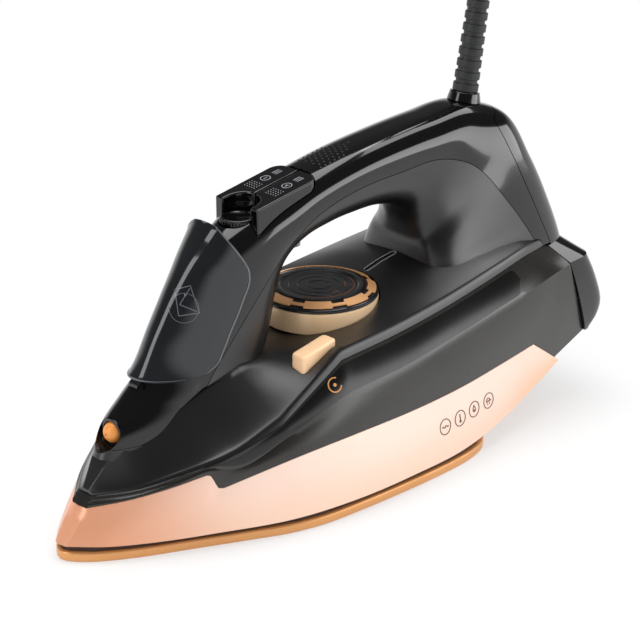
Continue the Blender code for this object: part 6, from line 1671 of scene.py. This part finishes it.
@dataclass
class Dial:
    """Temperature dial: copper ring, dark rim with grip pads, and a disc.

    Radius and disc are radii, ring and rim the heights of their upright bands, shoulder is the
    rise of the rim's slope, and edge the radius of the rounded edges.
    """
    radius: float = 0.0264
    base: float = 0.0687
    ring: float = 0.0099
    rim: float = 0.0013
    shoulder: float = 0.0022
    disc: float = 0.0203
    edge: float = 0.0006
    gap: float = 0.0003

    def shoulder_z(self, radius: float) -> float:
        """Height of the shoulder at a radius."""
        low = self.base + self.ring + self.gap + self.rim
        return low + self.shoulder * (self.radius - self.edge - radius) / (
            self.radius - self.edge - self.disc)

    def build(self) -> None:
        """Build the ring, the rim, the disc and the pads."""
        e = self.edge
        ring = rounded([(0.0, self.ring, 0), (self.radius, self.ring, e / 3),
                        (self.radius, 0.0, e), (0.0, 0.0, 0)])
        self.turn_piece("dial_ring", "copper", ring, self.base)
        low = self.base + self.ring + self.gap
        inner = self.disc + self.gap
        top = self.shoulder_z(inner)
        rim = rounded([(0.0, top - 0.0022, 0), (inner, top - 0.0022, 0), (inner, top, e / 4),
                       (self.radius - e, low + self.rim, e / 2),
                       (self.radius, low + self.rim - e, e / 3), (self.radius, low, e / 4),
                       (0.0, low, 0)])
        self.turn_piece("dial_rim", "black", rim)
        high = top + e
        floor, half_groove = high - 0.0006, 0.0002
        disc = [(0.0, floor, 0)]
        for radius in (0.0050, 0.0095, 0.0135):
            disc += [(radius - half_groove, floor, 0), (radius, high - 0.00045, 0),
                     (radius + half_groove, floor, 0)]
        disc += [(0.0172, floor, e / 4), (0.0178, high, e / 4), (self.disc - e, high, e / 4),
                 (self.disc, high - e, e / 4), (self.disc, top - 0.0019, 0),
                 (0.0, top - 0.0019, 0)]
        self.turn_piece("dial_disc", "black", rounded(disc))
        self.pads()

    def turn_piece(self, node: str, look: str, profile: Array, base: float = 0.0) -> None:
        """Turn one of the dial's pieces and let it stand for its node."""
        stand_for(shade(turned(f"{node}_{look}", profile, (0, 0, base), UP, 160)), node)

    def pads(self) -> None:
        """Eight copper pads on the shoulder, joined by thin strips.

        The radii change with the angle between the strip's and the pad's by a steep smooth
        step, so that the piece is one closed band.
        """
        steps, count, middle, half_pad, ease = 640, 8, 0.0235, 0.0031, 0.0003
        strip, pad = (0.0230, 0.0243), (0.0216, 0.0254)
        seat, thick = 0.0004, 0.0007
        turn = full_turn(steps)
        away = np.abs((turn * count / (2 * math.pi)) % 1.0 - 0.5)
        wide = np.clip((away * 2 * math.pi / count * middle - half_pad) / ease + 0.5, 0.0, 1.0)
        wide = wide * wide * (3 - 2 * wide)
        a, b = (thin + (broad - thin) * wide for thin, broad in zip(strip, pad))
        za, zb = self.shoulder_z(a) + seat, self.shoulder_z(b) + seat
        radius, z = np.stack([a, b, b, a]), np.stack([za + thick, zb + thick, zb, za])
        points = np.stack([radius * np.cos(turn), radius * np.sin(turn), z], axis=-1)
        item = put_mesh("dial_pads_copper", points.reshape(-1, 3),
                        quads(4, steps, round_rows=True, round_columns=True))
        stand_for(shade(bevel(item, 0.00015, 2, 50.0)), "dial_pads")


@dataclass
class DeckButton:
    """Long button beside the dial, whose top rises by the slope for a step to the rear."""
    x: float = -0.11167 * BODY_LENGTH
    y: float = -0.0315
    length: float = 0.0195
    width: float = 0.0080
    corner: float = 0.0016
    slope: float = 0.19

    def outline(self, growth: float = 0.0) -> Array:
        """Outline in plan, a rectangle with rounded corners.

        Args:
            growth: How much larger than the button it is.

        Returns:
            Points of the outline.
        """
        made = []
        for start, side, end in ((0, 1, 1), (90, 1, -1), (180, -1, -1), (270, -1, 1)):
            x = self.x + end * (self.length / 2 - self.corner)
            y = self.y + side * (self.width / 2 - self.corner)
            made.append(arc(x, y, self.corner + growth, start, start + 90.0, 6))
        return np.concatenate(made)

    def build(self) -> None:
        """Build the button with a softly crowned top in the box of the CAD node."""
        low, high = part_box("self_clean_button")
        middle = (high[2] - self.slope * self.length / 2)
        flat = self.outline()
        centre = np.array([self.x, self.y])
        rings = [np.insert(flat, 2, low[2], axis=1)]
        for share, drop_mm in ((1.0, 1.1), (0.985, 0.75), (0.95, 0.4), (0.89, 0.18), (0.7, 0.08),
                               (0.35, 0.02)):
            inner = centre + (flat - centre) * (1 - (1 - share) * np.array([0.6, 1.0]))
            z = middle + self.slope * (inner[:, 0] - self.x) - drop_mm * MM
            rings.append(np.concatenate([inner, z[:, None]], axis=1))
        item = ring_loft("self_clean_button_lacquered", np.array(rings))
        stand_for(shade(item, 50.0), "self_clean_button")


@dataclass
class Keys:
    """Spray and steam buttons and the steam knob in their notch.

    Half is half the width of both buttons together, split half the gap between them, and the
    notch is given by its centre x and its radius.
    """
    front: float = -0.16233 * BODY_LENGTH
    rear: float = -0.04 * BODY_LENGTH
    half: float = 0.0132
    bottom: float = 0.1215
    front_top: float = 0.1328
    slope: float = 0.165
    rear_round: float = 0.0060
    split: float = 0.0003
    notch: tuple[float, float] = (-0.0465, 0.0087)

    def opening(self, clearance: float) -> Array:
        """Outline in plan of the opening that both buttons share.

        Args:
            clearance: Free space round them.

        Returns:
            Points of the outline.
        """
        front, rear = self.front - clearance, self.rear + clearance
        half, radius = self.half + clearance, self.rear_round + clearance
        return np.concatenate([arc(rear - radius, half - radius, radius, 0.0, 90.0, 12),
                               [(front, half), (front, -half)],
                               arc(rear - radius, radius - half, radius, -90.0, 0.0, 12)])

    def build(self) -> None:
        """Build both buttons and the knob."""
        x, radius = self.notch
        outline = np.concatenate([
            arc(x, 0.0, radius, math.degrees(math.asin(self.split / radius)), 90.0, 20),
            [(self.front, radius), (self.front, self.half)],
            arc(self.rear - self.rear_round, self.half - self.rear_round, self.rear_round,
                90.0, 0.0, 12),
            [(self.rear, self.split)]])
        top = self.front_top + self.slope * (outline[:, 0] - self.front)
        for name, side in (("spray_button", -1.0), ("steam_button", 1.0)):
            rings = np.array([np.column_stack([outline * (1.0, side), height])
                              for height in (np.full_like(top, self.bottom), top)])
            item = bevel(ring_loft(name + "_gloss", rings), 0.0009, 4, 35.0)
            stand_for(shade(item, 40.0), name)
        self.knob()

    def knob(self) -> None:
        """Knob with fine grip flutes round its side.

        The radius is the knob's less a flute depth times the share (1 + cos 36 a) / 2. The rows
        of the table are the inset and the height in millimetres and the share of the flute.
        """
        radius, low = 0.0079, 0.1216
        turn = full_turn(432)
        table = np.array(((7.9, 0.0, 0.0), (0.6, 0.0, 0.0), (0.1, 0.4, 1.0), (0.0, 0.9, 1.0),
                          (0.0, 4.3, 1.0), (0.15, 4.9, 1.0), (0.6, 5.25, 0.3), (1.2, 5.4, 0.0),
                          (2.4, 5.4, 0.0), (2.7, 5.15, 0.0), (7.9, 5.15, 0.0)))
        inset, height, share = (table[:, k:k + 1] for k in range(3))
        flute = 0.0003 * (1 + np.cos(36 * turn)) / 2
        r = np.maximum(radius - inset * MM - flute * share, 0.0)
        z = np.broadcast_to(low + height * MM, r.shape)
        points = np.stack([KNOB_X + r * np.cos(turn), r * np.sin(turn), z], axis=-1)
        item = put_mesh("steam_knob_gloss", points.reshape(-1, 3),
                        quads(len(table), len(turn), round_columns=True))
        stand_for(shade(weld(item), 40.0), "steam_knob")


@dataclass
class Spray:
    """Spray nozzle and its bezel at the nose, whose rear ends lie at back and bezel."""
    z: float = 0.0490
    tip: float = -0.12370
    back: float = -0.1120
    radius: float = 0.0047
    bezel: float = -0.1140
    outer: float = 0.0064
    depth: float = 0.0066

    def build(self) -> None:
        """Build the domed nozzle with its pierced cap, and the bezel round it."""
        length = self.back - self.tip
        turn = np.linspace(math.pi / 2, 0.0, 17)
        dome = np.stack([self.radius * np.cos(turn),
                         length - self.radius + self.radius * np.sin(turn)], axis=1)
        cap = [(0.0, length - 0.9 * MM), (0.45 * MM, length - 0.9 * MM),
               (0.55 * MM, length - 0.1 * MM)]
        profile = np.concatenate([cap, dome[dome[:, 0] > 0.8 * MM],
                                  [(self.radius, 0.0), (0.0, 0.0)]])
        inner, outer, depth = self.radius + 0.3 * MM, self.outer, self.depth
        ring = rounded([(inner, depth / 2, 0), (inner, depth, 0.3 * MM),
                        (outer, depth, 0.6 * MM), (outer, 0.0, 0), (inner, 0.0, 0),
                        (inner, depth / 2, 0)])[:-1]
        for name, look, shape, x in (("spray_nozzle", "amber", profile, self.back),
                                     ("nozzle_bezel", "gloss", ring, self.bezel)):
            item = turned(f"{name}_{look}", shape, (x, 0.0, self.z), FORWARD)
            stand_for(shade(item, 40.0), name)


@dataclass
class CordGuard:
    """Ribbed cord guard in its collar, leaning to the rear.

    Run is the way from foot to end, stem and foot are radii in the handle and under its shell,
    and the collar is given by its radii at the top and at its seat.
    """
    base: Point = (0.092001, 0.0, 0.150)
    run: Point = (0.0110, 0.0, 0.0590)
    base_radius: float = 0.0059
    end_radius: float = 0.0048
    ribs: int = 11
    rib_depth: float = 0.0008
    stem: float = 0.0048
    foot: float = 0.0062
    collar: tuple[float, float] = (0.0068, 0.0082)

    def way(self) -> Array:
        """Direction of the guard."""
        return unit(np.array(self.run))

    def build(self) -> None:
        """Build the guard with its rounded ribs, and the collar seated on the handle."""
        length = float(np.linalg.norm(self.run))
        rib, solid_share = length / self.ribs, 0.62
        corners = [(0.0, length, 0.0)]
        for i in range(self.ribs):
            high = length - i * rib
            radius = self.end_radius + (self.base_radius - self.end_radius) * i / (self.ribs - 1)
            low = high - rib * solid_share
            corners += [(radius, high, 0.3 * MM), (radius, low, 0.3 * MM)]
            if i < self.ribs - 1:
                neck = radius - self.rib_depth
                corners += [(neck, low, 0.2 * MM), (neck, high - rib, 0.2 * MM)]
        last = length - (self.ribs - 1) * rib - rib * solid_share
        corners += [(self.stem, last, 0), (self.stem, -0.007, 0), (self.foot, -0.007, 0.2 * MM),
                    (self.foot, -0.0092, 0.2 * MM), (0.0, -0.0092, 0)]
        item = turned("cord_guard_rubber", rounded(corners), self.base, self.way(), 96)
        stand_for(shade(item, 45.0), "cord_guard")
        inner, top, low = self.stem + CLEARANCE, last - 0.0003, -0.0116
        narrow, wide = self.collar
        ring = rounded([(inner, 0.0, 0), (inner, top, 0.2 * MM), (narrow, top, 0.6 * MM),
                        (wide, top - 0.006, 0.4 * MM), (wide, low, 0), (inner, low, 0),
                        (inner, 0.0, 0)])[:-1]
        collar = turned("cord_collar_gloss", ring, self.base, self.way(), 96)
        use(collar, Cut.TAKE_AWAY, arch_solid("collar_seat", -CLEARANCE))
        stand_for(shade(weld(collar), 34.0), "cord_collar")
# Marks

@dataclass(frozen=True)
class Spot:
    """Where a drawing lies.

    Attributes:
        ground: Pieces whose surface it lies on.
        place: Place of its zero.
        out: Direction that it faces.
        along: Direction of its first axis.
    """
    ground: tuple[str, ...]
    place: Point
    out: Point = UP
    along: Point = BACKWARD

    def axes(self) -> Array:
        """Unit directions of the drawing's first axis, its second axis and its face.

        Returns:
            The three directions, one row each.
        """
        out = unit(np.array(self.out))
        first = unit(self.along - out * np.dot(self.along, out))
        return np.stack([first, np.cross(out, first), out])

    def triangles(self) -> Array:
        """Corners of all triangles of the ground, in the drawing's own axes.

        Returns:
            Triangle by triangle, corner by corner, the places along, across and outwards.
        """
        made = []
        for name in self.ground:
            mesh = bpy.data.objects[name].data
            mesh.calc_loop_triangles()
            points = np.empty(3 * len(mesh.vertices))
            mesh.vertices.foreach_get("co", points)
            corners = np.empty(3 * len(mesh.loop_triangles), dtype=np.int32)
            mesh.loop_triangles.foreach_get("vertices", corners)
            made.append(points.reshape(-1, 3)[corners.reshape(-1, 3)])
        return (np.concatenate(made) - self.place) @ self.axes().T


@dataclass
class Marks:
    """Plain printed and moulded marks that follow the finished surfaces.

    A mark is drawn flat, in millimetres from its place, and each point is moved along the
    mark's normal onto the surface. Strokes become closed bands and dots become low domes.

    Attributes:
        rise: Height of a print above its surface.
        grip_rise: Height of a grip dot above its surface.
        sink: Depth of its underside.
        above: How far above its place a surface is looked for.
        below: How far below.
    """
    rise: float = 0.00016
    grip_rise: float = 0.00022
    sink: float = 0.00020
    above: float = 0.008
    below: float = 0.022

    def lay(self, triangles: Array, flat: Array) -> Array:
        """Points of a flat drawing moved onto a surface, in the drawing's own axes.

        A point lies in a triangle where its three shares are none below zero. A share is the
        area between the point and two corners, over the triangle's area. The height there is
        the sum of the shares times the corners' heights, and the highest within reach counts.

        Args:
            triangles: Corners of the surface's triangles.
            flat: Rows of millimetres along and across.

        Returns:
            Points on the surface, not a number where there is none.
        """
        flat = np.asarray(flat, dtype=float) * MM
        low, high = triangles[..., :2].min(axis=1), triangles[..., :2].max(axis=1)
        close = np.all((high >= flat.min(axis=0)) & (low <= flat.max(axis=0)), axis=1)
        corners = triangles[close]
        sides = np.roll(corners, -1, axis=1)[..., :2] - corners[..., :2]
        whole = sides[:, 0, 0] * sides[:, 1, 1] - sides[:, 0, 1] * sides[:, 1, 0]
        upright = np.abs(whole) < 1e-13
        corners, sides, whole = corners[~upright], sides[~upright], whole[~upright]
        away = flat[:, None, None, :] - corners[None, ..., :2]
        areas = sides[..., 0] * away[..., 1] - sides[..., 1] * away[..., 0]
        shares = areas / whole[:, None]
        heights = np.sum(shares * np.roll(corners[..., 2], 1, axis=1), axis=-1)
        inside = (shares.min(axis=-1) > -1e-6) & (heights < self.above) & (heights > -self.below)
        top = np.where(inside, heights, -np.inf).max(axis=1, initial=-np.inf)
        return np.column_stack([flat, np.where(np.isfinite(top), top, np.nan)])

    def stroke(self, flat: Sequence[Row], width: float, closed: bool = False) -> tuple[Array, bool]:
        """Line of a width, its points set 0.25 mm apart.

        Args:
            flat: Corners of the line.
            width: Width of the line.
            closed: True where its end joins its start.

        Returns:
            Its left and right edge, and whether it is closed.
        """
        line = np.asarray(flat, dtype=float)
        if closed:
            line = np.concatenate([line, line[:1]])
        way = np.concatenate([[0.0], np.cumsum(np.linalg.norm(np.diff(line, axis=0), axis=1))])
        even = np.linspace(0.0, way[-1], max(4, int(way[-1] / 0.25)) + 1)
        line = np.stack([np.interp(even, way, line[:, k]) for k in (0, 1)], axis=1)
        line = line[:-1] if closed else line
        ahead = np.roll(line, -1, axis=0) - np.roll(line, 1, axis=0)
        if not closed:
            ahead[0], ahead[-1] = line[1] - line[0], line[-1] - line[-2]
        side = unit(np.column_stack([-ahead[:, 1], ahead[:, 0]])) * width / 2
        return np.stack([line + side, line - side]), closed

    def draw(self, name: str, spot: Spot, strokes: Sequence[tuple[Array, bool]],
             dots: Sequence[Point], finish: Finish, node: str, rise: float = 0.0) -> None:
        """Put one drawing of strokes and dots on a surface.

        Args:
            name: Name of the piece.
            spot: Where it lies.
            strokes: Bands made by stroke().
            dots: Rows of place along and across and radius, in millimetres.
            finish: Its finish.
            node: CAD node whose body it shares.
            rise: Height above the surface, or zero for a print's.
        """
        triangles, rise = spot.triangles(), rise or self.rise
        up, round_steps = np.array(UP), 12
        made: list[tuple[Array, bool]] = []
        for edges, closed in strokes:
            left, right = self.lay(triangles, edges.reshape(-1, 2)).reshape(2, -1, 3)
            sunk, risen = -up * self.sink, up * rise
            made.append((np.stack([left + sunk, right + sunk, right + risen, left + risen], axis=1),
                         closed))
        for x, y, radius in dots:
            foot = self.lay(triangles, arc(x, y, radius, steps=round_steps))
            middle = foot.mean(axis=0)
            made.append((np.stack([foot - up * self.sink, foot + up * rise * 0.6, middle
                                   + (foot - middle) * 0.6 + up * rise * 1.4]), False))
        whole = [(rings, closed) for rings, closed in made if not np.isnan(rings).any()]
        if len(whole) < len(made):
            LOG.info("%s: %d parts pass their surface's edge", name, len(made) - len(whole))
        points, faces, start = [], [], 0
        for rings, closed in whole:
            rows, columns = rings.shape[:2]
            faces += quads(rows, columns, start, round_rows=closed, round_columns=True)
            if not closed:
                last = start + (rows - 1) * columns
                faces += [list(range(start, start + columns)), list(range(last, last + columns))]
            points.append(rings.reshape(-1, 3))
            start += rows * columns
        if points:
            placed = np.concatenate(points) @ spot.axes() + spot.place
            settle(shade(put_mesh(name, placed, faces), 40.0), finish, node)

    def build(self) -> None:
        """Put every mark on its surface."""
        for make in (self.skirt_icons, self.tank_level, self.pointer, self.grip,
                     self.button_marks, self.door_picture, self.dial_print):
            make()

    def skirt_icons(self) -> None:
        """Four rings with a wave, a thermometer, a drop and a cloud on the skirt's right side."""
        falling = np.array([(0.0, 1.9), (0.85, 0.35), (1.0, -0.35), (0.7, -1.0), (0.0, -1.3),
                            (-0.7, -1.0), (-1.0, -0.35), (-0.85, 0.35)])
        wave = np.stack([np.linspace(-2.1, 2.1, 25),
                         0.45 * np.sin(np.linspace(0.0, 4 * math.pi, 25))], axis=1)
        cloud = [self.stroke([(-1.9, -0.2), (1.9, -0.2)], 0.5),
                 self.stroke(arc(-0.3, 0.1, 1.2, 0.0, 180.0), 0.4),
                 self.stroke([(-0.8, -0.9), (-0.8, -1.9)], 0.35),
                 self.stroke([(0.7, -0.9), (0.7, -1.9)], 0.35)]
        icons = (
            (0.0257, 0.0223, [self.stroke(wave, 0.4)], ()),
            (0.0363, 0.0230, [self.stroke([(0.0, 2.0), (0.0, -0.9)], 0.55)], [(0.0, -1.4, 0.75)]),
            (0.0467, 0.0240, [self.stroke(falling, 0.35, True)], [(0.0, -0.5, 0.4)]),
            (0.0577, 0.0246, cloud, ()),
        )
        ring = self.stroke(arc(0.0, 0.0, 3.6), 0.38, True)
        for number, (x, z, inner, dots) in enumerate(icons, 1):
            spot = Spot(("skirt_lacquered",), (x, -0.052, z), (0.095, -0.985, 0.14),
                        (1.0, 0.09, 0.07))
            self.draw(f"skirt_mark_{number}", spot, [ring, *inner], dots, SKIRT_PRINT, "skirt")

    def tank_level(self) -> None:
        """Level mark of the tank, an open ring round a dot."""
        spot = Spot(("tank_window_right", "water_tank_smoked"), (-0.034, -0.0447, 0.0584),
                    (-0.22, -0.85, 0.48), (1.0, -0.1, 0.25))
        self.draw("tank_level_mark", spot, [self.stroke(arc(0.0, 0.0, 3.1, 50.0, 330.0), 0.55)],
                  [(0.0, 0.0, 0.8)], COPPER_PRINT, "water_tank")

    def pointer(self) -> None:
        """Light outline round the pointer groove behind the dial."""
        self.draw("pointer_outline", Spot(("housing_satin",), (0.0383, 0.0, 0.083)),
                  [self.stroke(capsule(-8.2, 8.2, 1.4), 0.45, True)], (), GREY_PRINT, "housing")

    def grip(self) -> None:
        """Staggered grip dots on the handle's cover behind the buttons."""
        across, along, radius, middle = 2.3, 2.8, 0.42, 3
        dots = [(step * along + (row % 2) * along / 2, (row - middle) * across, radius)
                for row in range(2 * middle + 1) for step in range(9 - abs(row - middle))]
        spot = Spot(("handle_cover_gloss",), (-0.0055, 0.0, 0.1395), (-0.15, 0.0, 0.99),
                    (1.0, 0.0, 0.15))
        # Each dot is paler than the cover, a painted highlight on its bump
        self.draw("grip_dots", spot, (), dots, GRIP_DOT_HIGHLIGHT, "handle_cover", self.grip_rise)

    def button_marks(self) -> None:
        """A drop ring with lines on the spray button, and a cloud ring on the steam button."""
        common = [self.stroke(arc(0.0, 0.0, 2.2), 0.3, True)]
        common += [self.stroke([(5.0, y), (9.0, y)], 0.3) for y in (-1.2, 0.0, 1.2)]
        dots = [(-9.5 + 1.5 * i, -3.0 + 1.5 * j, 0.25) for i in range(4) for j in range(5)]
        spray = [self.stroke([(-1.1, 0.0), (0.9, y)], 0.3) for y in (0.7, -0.7)]
        steam = [self.stroke([(-1.0, 0.0), (1.0, 0.0)], 0.35)]
        for name, y, own in (("spray_button", -0.0067, spray), ("steam_button", 0.0067, steam)):
            spot = Spot((name + "_gloss",), (-0.0255, y, 0.1365), (-0.163, 0.0, 0.987),
                        (1.0, 0.0, 0.165))
            self.draw(name + "_marks", spot, common + own, dots, GREY_PRINT, name)

    def door_picture(self) -> None:
        """Fill picture embossed on the door: a leaning jug's outline, its spout and a drop."""
        outline = [(-5.1, 5.2), (1.5, 6.7), (5.2, -4.6), (-3.4, -5.9)]
        jug = [self.stroke(outline, 0.4, True),
               self.stroke([(1.3, 5.6), (-3.0, -1.2), (4.2, -4.0)], 0.4)]
        ring = [self.stroke(arc(-1.2, -2.6, 6.2), 0.25, True)]
        spot = Spot(("fill_door_smoked",), (-0.0846, -0.0083, 0.1003), (-0.64, -0.63, 0.44),
                    (0.72, -0.69, 0.0))
        # The picture shares the pale grey of the door's painted edge highlight
        self.draw("door_picture", spot, jug, [(-0.6, 2.8, 0.55)], DOOR_HIGHLIGHT_AND_PICTURE, "fill_door")
        self.draw("door_picture_ring", spot, ring, (), DOOR_HIGHLIGHT_AND_PICTURE, "fill_door")

    def dial_print(self) -> None:
        """Heat scale on the dial's disc: groups of one, two and three dots and a growing arc."""
        groups, step, radius = ((1, 215.0), (2, 265.0), (3, 320.0)), 9.0, 11.6
        angles = [math.radians(middle + (k - (count - 1) / 2) * step)
                  for count, middle in groups for k in range(count)]
        dots = [(radius * math.cos(angle), radius * math.sin(angle), 0.6) for angle in angles]
        self.draw("dial_scale", Spot(("dial_disc_black",), (0.0, 0.0, 0.092)),
                  [self.stroke(arc(0.0, 0.0, 15.6, 200.0, 350.0, 60), 0.35)], dots, BROWN_PRINT,
                  "dial_pads")


# Whole iron

MADE_HERE = {
    "soleplate", "skirt", "water_tank", "housing", "handle_cover", "rear_cover", "fill_door",
    "dial_ring", "dial_rim", "dial_disc", "dial_pads", "self_clean_button", "spray_button",
    "steam_button", "steam_knob", "spray_nozzle", "nozzle_bezel", "cord_guard", "cord_collar",
    "power_lead", "lead_coil", "lead_tail",
}


def main() -> None:
    """Build the studio, the lead and every piece of the iron, and note the sizes."""
    logging.basicConfig(level=logging.INFO, format="%(name)s %(message)s")
    Studio().build()
    copies = {node: smooth_copy(node) for node in frame["nodes"] if node not in MADE_HERE}
    for node, joint in (("spray_spring", "spray_button_press"),
                        ("steam_spring", "steam_button_press")):
        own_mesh(copies[node])
    MainsLead().build([copies["plug_body"], copies["plug_pin_1"], copies["plug_pin_2"]])
    for part in (Base(), Body(), FillDoor(), Dial(), DeckButton(), Keys(), Spray(), CordGuard(),
                 Marks()):
        part.build()
        LOG.info("%s built", type(part).__name__)


if __name__ == "__main__":
    main()
